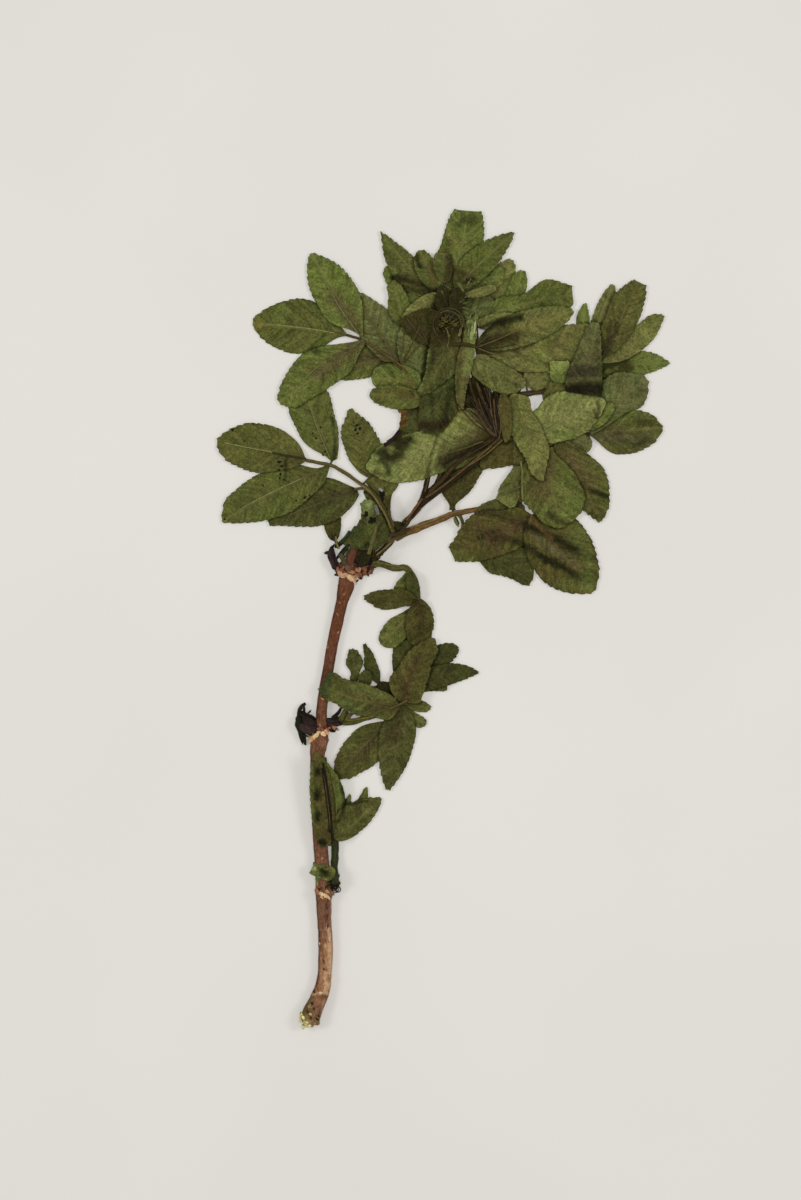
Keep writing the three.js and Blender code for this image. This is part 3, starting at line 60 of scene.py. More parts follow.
# The stalks of each leaf: points x, y ..., radius at the start and at the end, layer. The things in
# a lower layer are laid first, and a layer's stalks before its leaflets.
STALKS = {
    "leaf_a": [
        [[-18.6, 31.6, -20.5, 36.6, -23.3, 41.9, -26.8, 46.8, -32, 50.5, -36.4, 53.6, -41.5, 56.4, -46.6,
         57.5, -51.8, 58.6], 0.75, 0.6, 3],
        [[-25.8, 45.6, -29.4, 47.7, -33, 47.6], 0.6, 0.5, 3],
    ],
    "leaf_o": [[[-38.9, 25.6, -39.6, 27.4, -40.4, 29.4], 0.6, 0.5, 1]],
    "leaf_b": [
        [[9, 80.5, 0, 83, -9, 87.5, -17.2, 95, -22.4, 98.8, -30.2, 103.2, -36.7, 105.3], 0.9, 0.5, 1],
    ],
    "leaf_c": [
        [[12.6, 84, 9.7, 98, 5, 111.1, 1.4, 121], 0.9, 0.7, 1],
        [[4.6, 110.4, -6, 109.2, -14.6, 108.8], 0.6, 0.5, 1],
        [[4.6, 111, 12, 112.5, 22, 112.2], 0.6, 0.5, 1],
    ],
    "leaf_d": [[[17, 83.6, 14, 93, 12.7, 101, 12.2, 110.6], 1, 0.7, 1]],
    "leaf_k": [[[23.6, 82, 35.2, 83.8, 46.5, 85.6, 56.4, 90.8, 59.2, 96], 1.2, 0.8, 0]],
    "leaf_n": [[[27.4, 65.6, 36, 66.6, 46, 67.4, 54.6, 68], 0.9, 0.9, 0]],
    "leaf_e": [
        [[8.6, 86, 5.4, 93, 4.4, 104, 3.4, 110.6], 0.8, 0.7, 3],
        [[6.6, 90, 0, 85.5, -8.6, 83.2], 0.6, 0.5, 3], [[-8.6, 83.2, -12, 80, -14.2, 76.4], 0.5, 0.5, 3],
    ],
    "leaf_j": [[[21.6, 66.8, 22.3, 75, 22.6, 82.6, 26, 82.8], 0.9, 0.6, 4]],
    "leaf_l": [
        [[-17.8, 29.7, -13.6, 31.5, -8.4, 33.5, -5.1, 34.9, -0.3, 36.6, 3.2, 38.2, 8.1, 39.2, 14.2, 40.4,
         20, 41, 27, 41, 31.8, 38.4], 1.6, 0.5, 0],
        [[28.6, 43, 28.8, 45.6, 29, 48.5, 31, 54, 33.4, 60, 38, 63.2], 0.9, 0.8, 2],
    ],
    "leaf_f": [
        [[-26, 19.6, -23.8, 19.9, -21.6, 19.3, -18.7, 18.4, -16.5, 18.2, -14.4, 18.4, -12.2, 16.8, -10.2,
         12, -9.2, 6.2], 1.3, 1, 1],
    ],
    "leaf_g": [
        [[-37, -39.2, -33, -38.9, -29.8, -37.8, -24.6, -36.4, -19, -34.6, -14.9, -31.8, -13.4, -28], 1.2,
         0.8, 1],
        [[-37.8, -38, -35.5, -33.3, -33, -25.4], 1.15, 0.5, 1],
        [[-36.4, -38.6, -33, -34.6, -28.2, -27.6, -23.6, -25.5], 0.6, 0.5, 1],
    ],
    "leaf_h": [
        [[-40.1, -99, -40.5, -94, -40.3, -89, -40.3, -84.3, -41.2, -78.3, -42.2, -68.6, -43.8, -59.3, -44.7,
         -52.3], 1.4, 1.3, 2],
    ],
    "leaf_m": [[[-26.8, 23.4, -25.6, 30, -24.4, 34, -23.4, 38], 1.4, 0.9, 1]],
}

# The leaflets of each leaf: name, x and y of base, middle and tip, the left half, the right half,
# layer, tone. A half is a list of half widths at the stations WIDTH_AT, or an oval: half width,
# place of the widest part, roundness.
WIDTH_AT = np.array([0, 0.08, 0.25, 0.5, 0.75, 0.92, 1])
LEAFLETS = {
    "leaf_a": [
        ["a1", [-51.3, 59, -67, 62.4, -84.2, 64.2], [1.5, 3.8, 6.5, 9, 7.6, 4.6, 0.9],
         [0.2, 3.5, 7.4, 9.4, 8.4, 4.9, 2.3], 3, "bronze"],
        ["a2", [-42.5, 56.2, -62.3, 46.9, -82.3, 35.6], [0.6, 4.4, 7.6, 9.6, 6.8, 2.9, 0.4],
         [0.9, 0.8, 5.8, 8.5, 7.8, 5, 0.2], 2, "olive"],
        ["a3", [-40.7, 58.3, -47.5, 73.5, -53.1, 90.1], [0.9, 2, 6.2, 8, 7.6, 4, 0.8],
         [1.5, 3.2, 6, 7.4, 7.8, 4.4, 0.8], 1, "olive"],
        ["a4", [-31.9, 47.4, -47.4, 41.9, -65, 35.2], [2, 4.2, 7.2, 8.1, 5.4, 2.4, 1.4],
         [0.5, 2.6, 7.7, 8.4, 6.4, 3, 0.4], 1, "deep"],
        ["a5", [-27, 51.6, -30.2, 65.2, -34.4, 77.6], [0.4, 3, 5.9, 7, 6.1, 2.5, 0.8],
         [1, 4.2, 7.1, 6.3, 4.2, 1.4, 0.4], 2, "bronze"],
    ],
    "leaf_o": [["o1", [-40.3, 28.3, -40.9, 34.4, -40.6, 42], (3.4, 0.55, 1), (3, 0.55, 1), 0, "umber"]],
    "leaf_b": [
        ["b1", [-36, 105.5, -53.1, 107.6, -70.9, 109.4], [0.8, 1.7, 6.4, 9.6, 7.9, 4.2, 0.4],
         [0.2, 2.8, 8, 11.1, 8.5, 4.6, 1.9], 1, "olive"],
        ["b4", [-19.5, 95.9, -30.6, 94.5, -42.1, 89.2], (5.9, 0.42, 1.2), (5.8, 0.42, 1.2), 1, "olive"],
        ["b5", [-16.5, 95.4, -24.6, 107.8, -34.5, 121.8], [1.2, 4.3, 6.4, 7.2, 5, 2.4, 0.4],
         [1, 4.3, 7.2, 7.8, 5.2, 2.4, 0.4], 2, "grey"],
        ["b3", [-29.3, 102.8, -45, 91.4, -61.1, 80.1], [1.2, 2.2, 5.9, 6.4, 5.7, 4.7, 1],
         [0.8, 2, 5.8, 9.6, 7.6, 4, 1.3], 3, "fresh"],
        ["b2", [-30.3, 104.7, -40.5, 120.8, -49.1, 135.5], [0.2, 1.8, 7, 7.8, 6.2, 2.9, 0.7],
         [0.6, 2.6, 6.8, 8.2, 6.4, 2.6, 0.5], 4, "fresh"],
        ["b6", [-8.6, 86.5, -10.4, 97.5, -14.5, 108.5], (6.2, 0.52, 1.1), (5.4, 0.52, 1.1), 3, "grey"],
    ],
    "leaf_c": [
        ["c1", [1.7, 121, 6.6, 136.6, 9, 151.4], [0.6, 3.3, 8, 7.7, 7.1, 6, 4.6],
         [1.2, 3.2, 6.2, 7.6, 7.3, 6.2, 5.2], 2, "fresh"],
        ["c2", [4.5, 121.9, 14.1, 132, 26.5, 143.2], (6.1, 0.45, 1.5), (5.2, 0.45, 1.5), 3, "olive"],
        ["c3b", [-5, 117, -13.6, 122.1, -21.3, 130.5], (4.5, 0.51, 1), (4.5, 0.51, 1), 1, "fresh"],
        ["c3", [-2.5, 120, -13, 130.8, -23.1, 143.6], (7.2, 0.42, 1.8), (4, 0.42, 1.8), 2, "olive"],
        ["c4", [-0.7, 121, -5.1, 129.1, -8.6, 136.5], (4.8, 0.51, 1), (3.4, 0.51, 1), 3, "olive"],
        ["c5", [1.4, 124.5, 0.4, 129.5, 0.1, 135.7], (4, 0.65, 0.8), (3.4, 0.65, 0.8), 4, "bronze"],
        ["c11", [7.5, 120, 14.5, 125.6, 22.5, 126.5], (5, 0.64, 1), (4.5, 0.64, 1), 2, "fresh"],
        ["c8", [18.2, 113, 21.6, 123, 25.2, 133.2], [0.5, 2.3, 3.7, 4.4, 4.4, 2.6, 0.3],
         [0.5, 2, 3.2, 3.8, 3.5, 2.4, 1.1], 1, "yellow"],
        ["c9", [22, 112, 26.6, 119.9, 29.4, 129.1], [0.5, 1.6, 2.6, 3.2, 3, 2.1, 0.3],
         [0.5, 1.7, 2.5, 3.3, 3.1, 2, 0.9], 2, "fresh"],
        ["c10", [7.6, 119.8, 13.5, 120.8, 19.6, 122.8], (1.8, 0.6, 1), (1.8, 0.6, 1), 4, "sage"],
        ["c6", [-14.5, 108.5, -16.4, 116.6, -18.5, 125.2], [0.5, 2.4, 4.2, 4.2, 3, 2.5, 0.3],
         [0.5, 2.3, 3.6, 4, 3.1, 1.6, 0.3], 3, "olive"],
        ["c7", [-1.5, 119.9, -7.5, 116.2, -14.8, 110.8], (2.8, 0.5, 1), (3, 0.5, 1), 4, "yellow"],
        ["y1", [4.5, 113.2, 1.3, 116.4, -0.6, 123.1], (4.2, 0.4, 0.9), (3.2, 0.4, 0.9), 5, "black"],
        ["y2", [5.5, 113.5, 5.2, 118.4, 7.8, 121.5], (3, 0.44, 0.9), (3, 0.44, 0.9), 5, "black"],
        ["c12", [4.5, 116, 10.4, 114.4, 18.2, 118.7], (4.9, 0.38, 0.8), (5.9, 0.38, 0.8), 3, "deep"],
        ["y3", [0.5, 121, -0.4, 115.9, -4.1, 113.7], (4.4, 0.6, 0.8), (3, 0.6, 0.8), 4, "black"],
    ],
    "leaf_d": [
        ["d1", [12.5, 110.4, 30.6, 116.6, 48.3, 120], [1, 2.5, 4.9, 3.8, 7.2, 4.8, 3.3],
         [1, 1.8, 3.4, 4.2, 4.6, 5.9, 2.6], 2, "fresh"],
        ["d0", [13.5, 107.6, 19.8, 110, 28, 111.6], [2.2, 2.8, 3, 3, 2.4, 1.3, 0.3],
         [0.4, 1.2, 1.8, 2, 1.6, 0.9, 0.2], 3, "yellow"],
        ["d3", [13, 99.6, 35.9, 100.4, 57.4, 108.4], [1, 3, 5, 4.8, 5.6, 2.8, 0.6],
         [1, 3.4, 7, 9.4, 9.4, 6, 1], 4, "yellow"],
        ["d2", [12.9, 101.4, 30.3, 107.4, 48.4, 114], (6.6, 0.48, 1.2), (6.2, 0.48, 1.2), 5, "sage"],
        ["d15", [12.2, 97, 20.8, 91.6, 30.4, 86], [1, 2, 2.8, 3.2, 3.4, 2.4, 0.8],
         [2.5, 5.6, 7, 7.6, 6.6, 4, 0.8], 5, "sage"],
    ],
    "leaf_k": [
        ["d5a", [53.8, 99.2, 58.8, 112, 63.2, 124], (3, 0.5, 1.4), (4.6, 0.5, 1.4), 1, "sage"],
        ["d5c", [52.4, 106, 52.4, 111.6, 53.2, 117], (2.7, 0.34, 1.3), (2.3, 0.34, 1.3), 2, "fresh"],
        ["d5b", [59.2, 96.6, 66.2, 111, 73, 124.8], [0.6, 2.5, 4.8, 5.9, 6, 3.5, 2],
         [0.6, 2.5, 5.2, 6.2, 5.6, 4.2, 2.9], 3, "bronze"],
        ["d6", [59.3, 94.9, 71.3, 102.1, 81.6, 112.7], [0.5, 1.7, 3.4, 4.1, 4.2, 2.8, 0.3],
         [0.5, 1.4, 3.1, 3.8, 3.4, 1.9, 1.1], 2, "yellow"],
        ["d7", [56, 93, 71.8, 94.3, 84.5, 94.6], [1.6, 2.8, 4.4, 5, 3.8, 1.4, 0.2],
         [2, 3.6, 5.2, 4.8, 3, 1.2, 0.2], 1, "fresh"],
        ["d13", [43, 87.2, 43.4, 91.2, 43.6, 95.3], [1.4, 2.6, 3.5, 3.6, 3.8, 3.6, 2.4],
         [1.4, 2.4, 3.3, 3.7, 3.5, 3.4, 2.6], 6, "green"],
        ["d14", [30.8, 86.4, 34.4, 88.5, 40.6, 90.1], [1.7, 2.5, 4.1, 3.6, 2.6, 1.7, 0.5],
         [1.4, 2.8, 4, 4.2, 4, 2.1, 0.5], 1, "sage"],
        ["d16", [37.5, 80.3, 42.1, 85.3, 46, 91], (3.2, 0.55, 0.9), (3.2, 0.55, 0.9), 1, "bronze"],
        ["d4", [52.4, 82.8, 54.6, 96, 57.2, 109.6], [7, 7.5, 7.4, 5.8, 4.3, 3, 1.2],
         [6.2, 6.6, 6, 4.6, 3, 1.7, 0.6], 6, "grey"],
    ],
    "leaf_n": [
        ["d8", [55, 68.4, 64.5, 79.3, 75.8, 88.8], [1.2, 2.5, 6.5, 9.4, 8.8, 4.2, 1.2],
         [0.6, 1.8, 3.4, 4.9, 7, 4, 1.2], 2, "grey"],
        ["d9", [54.6, 67.8, 67.1, 69.1, 81.8, 70.4], [0.6, 4, 6.8, 7.6, 7.2, 4.1, 0.5],
         [0.2, 1.8, 6.7, 8.5, 7.2, 4, 0.4], 1, "bronze"],
        ["d11", [54, 70, 59, 74, 62.9, 79.5], (2.2, 0.6, 0.8), (2.2, 0.6, 0.8), 3, "fresh"],
        ["d10", [34.9, 67.3, 45.5, 74, 60.4, 80.4], [0.6, 6.4, 8.6, 10.4, 7, 3.4, 0.4],
         [0.6, 4.3, 6.6, 8.4, 7.2, 3.6, 0.4], 4, "pale"],
        ["d12", [46, 69.5, 49.6, 65.8, 55, 63], (3.5, 0.66, 0.8), (3, 0.66, 0.8), 1, "grey"],
    ],
    "leaf_e": [
        ["e3", [-8.3, 85.8, -17.6, 88.3, -26.6, 88.6], [0.5, 3.1, 4.6, 5.2, 4.5, 2.9, 0.3],
         [0.5, 3.7, 5.5, 6.2, 5.4, 3.5, 0.3], 3, "fresh"],
        ["e4", [-7.6, 80.8, -17.3, 82.4, -27.2, 83], (5, 0.47, 0.9), (3.9, 0.47, 0.9), 4, "olive"],
        ["e8", [3.7, 91.2, -1, 80.8, -4.3, 68.2], [1, 3, 5.5, 7.6, 6.2, 4.2, 2.5],
         [0.8, 3, 4.8, 6.8, 6.6, 5.2, 3.1], 5, "dark"],
        ["e2", [0.5, 108.8, -0.9, 95, -9, 82.6], [2, 4.8, 6.2, 7.1, 4, 2.2, 0.3],
         [2.2, 5, 5.8, 5.4, 3.2, 1.9, 1.3], 6, "deep"],
        ["e9", [12.1, 112.1, 8.4, 95, 6.6, 77.3], [1.2, 1.4, 2.1, 2.8, 1.8, 1.2, 1],
         [0.2, 2.7, 2.5, 3.4, 2.8, 1.6, 0.6], 6, "sage"],
        ["e10", [-1, 107.5, -8, 108.6, -16.1, 110], (7, 0.32, 1.2), (6.6, 0.32, 1.2), 5, "soot"],
        ["e11", [-12.4, 78.4, -13, 71.9, -14.9, 64.5], [3.4, 3.4, 3.6, 5.2, 4, 3, 1.5],
         [2.8, 4.4, 3.2, 3.2, 3, 3.1, 0.2], 3, "umber"],
    ],
    "leaf_j": [
        ["e5", [20, 67, -2, 62.4, -28.6, 55.2], [0.6, 3.5, 7.8, 8.8, 9.2, 5.6, 0.2],
         [0.6, 8.7, 12.9, 9, 7.9, 5.4, 0.6], 4, "pale"],
        ["e12", [27, 66.2, 21.8, 61.6, 14, 55.9], [3, 6, 8.4, 6.3, 4, 2.1, 1.2],
         [2.2, 3.2, 4, 4, 3, 2, 1.4], 3, "brown"],
        ["e7", [25.8, 82.8, 31.5, 68, 37, 50.8], [0.7, 4.5, 4.6, 6, 5.4, 2, 0.4],
         [0.9, 2.8, 5.6, 5.6, 3.8, 3, 0.6], 6, "yellow"],
        ["e6", [22, 83.1, 22.9, 75, 23.4, 65], (2.6, 0.44, 0.8), (2, 0.44, 0.8), 6, "brown"],
        ["e13", [20.3, 67.5, 15.4, 77, 12.5, 89.6], [0.6, 1.2, 2.5, 5.6, 5, 3, 2],
         [0.4, 0.8, 2.6, 5.2, 4.2, 2.5, 1], 3, "black"],
    ],
    "leaf_l": [
        ["l2", [14.9, 23, 23.4, 18.8, 33, 13.4], [1.5, 4.5, 8, 10.1, 7.9, 4.7, 0.2],
         [2.8, 3.5, 4.8, 3.8, 3, 2.8, 1.8], 1, "deep"],
        ["l1", [33.2, 37, 17.8, 30, 3.4, 23.4], [0.6, 5.5, 8.2, 7.9, 6.5, 4.2, 3],
         [1, 5.1, 7.2, 10.3, 8.2, 4.3, 3.2], 2, "brown"],
        ["l3", [33, 38, 43.9, 24.4, 56, 9.5], [0.7, 7.2, 11.2, 12.2, 9.5, 5.1, 0.6],
         [0.8, 5.5, 10.2, 12.2, 10.4, 5.1, 1.1], 3, "brown"],
        ["l5", [43.3, 66.6, 51.5, 50.7, 58.9, 35.7], [0.6, 2.6, 6.4, 9.6, 7.4, 3.8, 0.2],
         [1, 4.6, 6, 7, 4.8, 2.4, 0.9], 1, "bronze"],
        ["l6", [30, 58.5, 26, 50.3, 21.5, 42.7], [1, 3, 4, 4.5, 5, 5, 4], [1, 2.8, 2.5, 3.1, 3.4, 2.4, 2.4],
         2, "sage"],
        ["l7", [29, 44, 21.2, 42, 13.1, 40.3], (2.6, 0.5, 1), (2.2, 0.5, 1), 1, "deep"],
        ["l4", [37, 62.5, 40.5, 47.8, 44, 33.3], [4, 4.2, 7.8, 10.8, 10.8, 6.2, 0.8],
         [1.5, 6.5, 9.8, 11.9, 8.5, 4.8, 0.8], 4, "olive"],
        ["e1", [3.5, 39.8, 5.6, 50, 10.4, 59.5], [1.2, 1.3, 4.9, 7.1, 7, 6, 5],
         [1.2, 0.9, 3.6, 6, 6.4, 6.4, 6.2], 2, "umber"],
        ["l8", [4.6, 37.6, 4.7, 35.6, 5.8, 33.6], (0.4, 0.28, 1), (0.5, 0.28, 1), 1, "olive"],
        ["l9", [5.4, 37.6, 6.8, 36.4, 7.7, 33], (0.6, 0.46, 1), (0.5, 0.46, 1), 1, "bronze"],
    ],
    "leaf_f": [
        ["f1", [-12.5, 17.2, -14.2, 12.7, -17.8, 9.6], (3.8, 0.56, 0.9), (2.5, 0.56, 0.9), 1, "olive"],
        ["f5", [-11.8, 16.8, -10.5, 11.8, -9.3, 7.4], (1.6, 0.44, 0.9), (3.2, 0.44, 0.9), 2, "dark"],
        ["f2", [-10.1, 6.9, -19.2, 6.6, -29.4, 6.9], [0.9, 2.3, 2.8, 3.8, 3.4, 1.3, 0.5],
         [0.5, 1.9, 3.9, 3.7, 3.2, 1.9, 0.9], 3, "umber"],
        ["f3", [-10, 3.6, -16.4, -3.3, -22.8, -10.5], [0.5, 1.7, 3.4, 4.6, 4.7, 3.1, 0.3],
         [0.7, 1.5, 2.5, 4.1, 4, 2.7, 0.7], 2, "olive"],
        ["f4", [-9.2, 6.4, -7.8, -1.4, -9, -11.5], [1.1, 2, 3.7, 4.5, 3.9, 2.9, 0.3],
         [0.5, 3.1, 5.2, 6.4, 5.8, 3.9, 0.3], 3, "umber"],
    ],
    "leaf_g": [
        ["g9", [-33, -24.9, -33.2, -17.5, -34.2, -12], [0.5, 1.6, 1.4, 3, 2.1, 1.2, 0.5],
         [0.5, 1.3, 2, 3.5, 2.6, 1.6, 0.5], 1, "deep"],
        ["g10", [-23.8, -25.2, -26.4, -17.7, -29.2, -10], [0.3, 1.2, 2.5, 3.1, 1.6, 1, 0.4],
         [0.5, 0.9, 1.8, 1.8, 1.6, 0.6, 0.3], 1, "dark"],
        ["g11", [-28.3, -25.8, -29, -22.5, -30, -20.4], (2.8, 0.48, 0.9), (2.6, 0.48, 0.9), 2, "dark"],
        ["g3", [-15.7, -28, -15.3, -17.1, -13.7, -7], (4, 0.69, 1), (4.2, 0.69, 1), 1, "dark"],
        ["g4c", [-14, -28.8, -6.4, -25.4, 1.5, -27], (2.6, 0.48, 1), (2.4, 0.48, 1), 1, "deep"],
        ["g4a", [-13, -26.5, -3.7, -16.2, 5.6, -11.8], (4, 0.54, 1.1), (4.7, 0.54, 1.1), 1, "dark"],
        ["g4b", [-13, -28, -0.8, -21.8, 13.1, -20.7], (4.1, 0.48, 1.5), (4.3, 0.48, 1.5), 2, "dark"],
        ["g7", [-14.1, -32.4, -10, -33, -4.7, -34.2], [0.5, 1.5, 2.1, 2.3, 2, 1.3, 0.7],
         [0.9, 1.5, 2.2, 2.2, 1.9, 1.2, 0.3], 1, "bronze"],
        ["g8", [-12.6, -34.9, -10.4, -37.8, -6.3, -39.3], (2, 0.54, 0.8), (2.8, 0.54, 0.8), 1, "olive"],
        ["g5", [-21, -39.5, -30.2, -48.8, -39.6, -59.7], [0.5, 3.5, 6.2, 7.8, 5.8, 3.7, 0.9],
         [1.1, 2.5, 5.4, 6.4, 5.5, 3.1, 0.3], 2, "bronze"],
        ["g6", [-14.9, -33.1, -17, -47.6, -20.8, -64.3], [0.5, 3.2, 5.7, 5.9, 4.4, 2.2, 1.1],
         [0.5, 4.1, 6.7, 7.2, 5.2, 2.4, 0.3], 3, "deep"],
        ["g2", [-15.6, -31.6, -11.1, -21.2, -4.2, -7.6], [1.2, 4, 7.2, 6.2, 5.1, 2.2, 0.2],
         [0.6, 5.6, 6.4, 6, 4.6, 4, 1], 4, "brown"],
        ["g1", [-16.1, -33.5, -31.6, -30.8, -45.2, -25], [0.4, 4.4, 5, 5.6, 4.2, 4.2, 2],
         [1.2, 3.5, 5.6, 6.6, 5.7, 6, 5.2], 4, "bronze"],
        ["g12", [-17, -30, -19.6, -26.8, -24.6, -25.6], (1.9, 0.5, 0.8), (2.2, 0.5, 0.8), 2, "black"],
    ],
    "leaf_h": [
        ["h1", [-44.6, -85.6, -46, -67.7, -47.2, -50.1], (3.5, 0.43, 0.85), (5.5, 0.43, 0.85), 3, "brown"],
        ["h2", [-41, -80, -40.1, -66, -45.5, -51.5], [0.5, 1.7, 2.6, 3, 2.4, 1.2, 0.3],
         [0.5, 1, 2.6, 3.4, 2.2, 0.9, 0.6], 2, "fresh"],
        ["h3", [-40.3, -82.4, -31.4, -75.4, -23.1, -67.7], (7.3, 0.38, 1.2), (3.9, 0.38, 1.2), 2, "bronze"],
        ["h4", [-37, -74.5, -35.6, -70.6, -34.6, -66.2], (1.8, 0.4, 1.2), (1.1, 0.4, 1.2), 1, "grey"],
        ["h5", [-33.2, -71.8, -30, -68.5, -28.6, -63.4], (1.8, 0.38, 1.1), (1.5, 0.38, 1.1), 1, "olive"],
        ["h6", [-40.6, -96.4, -43.8, -95.3, -48.8, -95.4], [0.8, 1.8, 2.4, 2.2, 1.6, 0.8, 0.1],
         [0.6, 2, 3, 2.1, 3.2, 3.3, 0.9], 3, "olive"],
    ],
    "leaf_m": [
        ["m1", [-27.9, 24.8, -28.2, 35.6, -28.3, 43.6], [1.4, 8.1, 7.4, 3, 2.2, 2.3, 0.6],
         [3.4, 5.9, 9, 6.6, 4.8, 3.4, 1], 2, "deep"],
        ["m2", [-22.6, 29.5, -21.8, 36.5, -20.4, 43.1], (1.8, 0.52, 0.9), (1.6, 0.52, 0.9), 1, "umber"],
        ["m3", [-21, 41, -22.2, 45.5, -23.1, 52.7], [0.5, 0.8, 1.4, 2.8, 5, 5.2, 2.4],
         [0.7, 1.8, 2, 3.8, 6.2, 5.2, 3], 2, "bronze"],
        ["m4", [-31.3, 19.6, -29.2, 24.2, -28.2, 28.6], (2.6, 0.46, 0.8), (3, 0.46, 0.8), 1, "black"],
        ["m5", [-25.5, 42, -27, 44.4, -29, 47.6], (1.5, 0.56, 0.8), (1.5, 0.56, 0.8), 1, "bronze"],
        ["m6", [-20, 34, -17.8, 34.4, -15.2, 34.2], (1.2, 0.5, 0.8), (2, 0.5, 0.8), 1, "soot"],
    ],
}
LOWEST = {"b1", "d7"}   # leaflets that touch the plane

# Colours as they look in daylight (8-bit sRGB), how worn a leaflet of that tone is along its
# midrib, the colour of that streak, and how much of its veins it shows.
TONES = {
    "olive": ((84, 87, 43), 0.6, (80, 74, 42), 1), "fresh": ((92, 98, 48), 0.4, (84, 82, 44), 1),
    "green": ((96, 103, 50), 0.4, (82, 86, 44), 0.8), "pale": ((114, 117, 66), 0.25, (104, 102, 58), 0.5),
    "yellow": ((101, 101, 55), 0.35, (90, 86, 46), 0.5), "brown": ((78, 73, 37), 0.7, (70, 62, 33), 0.5),
    "umber": ((68, 64, 32), 0.75, (54, 46, 26), 0.25), "dark": ((62, 63, 31), 0.6, (48, 46, 25), 0.3),
    "deep": ((71, 71, 37), 0.55, (64, 60, 32), 0.5), "grey": ((89, 90, 53), 0.4, (82, 78, 48), 0.6),
    "black": ((43, 40, 19), 0.4, (30, 24, 12), 0.1), "orange": ((84, 68, 36), 0.5, (98, 70, 34), 0.4),
    "bronze": ((81, 80, 41), 0.65, (72, 66, 36), 0.6), "sage": ((94, 94, 52), 0.4, (88, 84, 48), 0.8),
    "soot": ((55, 52, 24), 0.5, (40, 34, 18), 0.2),
}
STALK_TONES = {
    "leaf_a": (92, 80, 42), "leaf_b": (78, 62, 34), "leaf_l": (108, 82, 42), "leaf_g": (88, 84, 36),
    "leaf_h": (48, 52, 24), "leaf_f": (84, 80, 36), "leaf_m": (72, 68, 32), "leaf_o": (60, 60, 28),
}
STALK_TONE = (66, 54, 27)
MIDRIB_TONE = (126, 122, 68)

# The bundle of dark leaf stalks: points x, y ..., radius at the start and at the end, layer.
SHOOT = [
    [[-26.2, 21.6, -23.6, 24.2, -19.6, 27.9, -17.2, 31.7, -14.6, 34.4, -9.3, 40.9, -8, 43.4], 1, 1.1, 1],
    [[-8, 43.4, -7, 46.2, -6.2, 49.4, -5.2, 53.2, -5, 58], 1.1, 0.95, 3],
    [[-7, 44.6, -4.5, 47, -2.9, 49.2, -1.6, 52.2, -1.2, 56], 0.8, 0.6, 3],
    [[-14.3, 34.8, -8.3, 41.6, -2.2, 46.2, 3, 50.4, 9.6, 55.6, 15.4, 61.4, 21, 66.8], 1, 1.05, 5],
    [[-8.6, 42.6, -1.6, 47.6, 5, 52.8, 12, 58.4, 19, 64.2, 22.6, 66.4], 0.8, 0.8, 5],
    [[-5, 46.4, -0.6, 50.6, 4, 56, 10.4, 61.6, 19, 66.6], 0.8, 0.7, 5],
    [[19.6, 66.4, 15.4, 75, 11.6, 82, 9.8, 88.4], 0.8, 0.5, 5],
    [[20, 66.6, 17, 75.4, 14.2, 82.6, 12.4, 87.4], 0.8, 0.5, 5],
    [[20.4, 66.6, 18.6, 74, 17, 81, 15.6, 85.4], 0.8, 0.5, 5],
    [[20.8, 66.4, 20.2, 74, 19.6, 80.6, 19.4, 83.4], 0.8, 0.5, 5],
]
SHOOT_TONE = (62, 48, 25)
STRANDS = 5             # in each stalk of the bundle

# Dark buds beside the nodes: x and y of base, middle and tip, width, tone.
BUDS = [
    [[-37.9, 16.8, -41, 22.6, -40.4, 26.8], 3.8, (46, 30, 32)],
    [[-40.4, 26.2, -37.6, 28.1, -34.8, 31.9], 1.7, (34, 34, 18)],
    [[-39.9, 21.4, -37.4, 24.7, -35.1, 27.2], 1.5, (38, 36, 20)],
    [[-32.4, 19.4, -28, 21.2, -23.9, 22.9], 3.8, (44, 30, 30)],
    [[-46.4, -40.2, -50, -40.5, -53.4, -37.6], 7, (50, 36, 32)],
    [[-51.4, -32, -53.6, -34.6, -54.2, -38], 1.8, (27, 29, 13)],
    [[-54, -36.8, -53.8, -41.2, -51.8, -44.6], 3.4, (27, 29, 13)],
    [[-53, -41.4, -52.4, -44.6, -51.4, -47.6], 3, (27, 29, 13)],
    [[-53.8, -35.4, -50, -37.4, -46.8, -39], 2.6, (26, 24, 14)],
    [[-51.6, -42.6, -49.4, -43, -47.4, -42.4], 1.6, (38, 28, 18)],
    [[-44, -39.2, -40, -39.6, -36, -38.9], 3.6, (50, 40, 38)],
    [[-44.2, -38, -42.4, -38.2, -40.6, -37.4], 1.6, (28, 20, 16)],
    [[-41.4, -38.2, -39.4, -36.2, -37.8, -33.4], 1.4, (26, 27, 13)],
    [[-38.9, -38, -36.8, -36.6, -34.6, -35.2], 1.2, (26, 27, 13)],
    [[-42.6, -40.2, -41.5, -41.8, -39.8, -42.4], 2.6, (40, 26, 17)],
    [[-43.4, -100.4, -41.2, -99.9, -39.6, -100.3], 2.2, (42, 30, 18)],
    [[-41.8, -100.2, -39.8, -98.2, -38.7, -95.9], 1.3, (34, 28, 16)],
    [[-41.2, 24.3, -42.7, 24.1, -44.2, 23.8], 1.3, (44, 38, 30)],
]

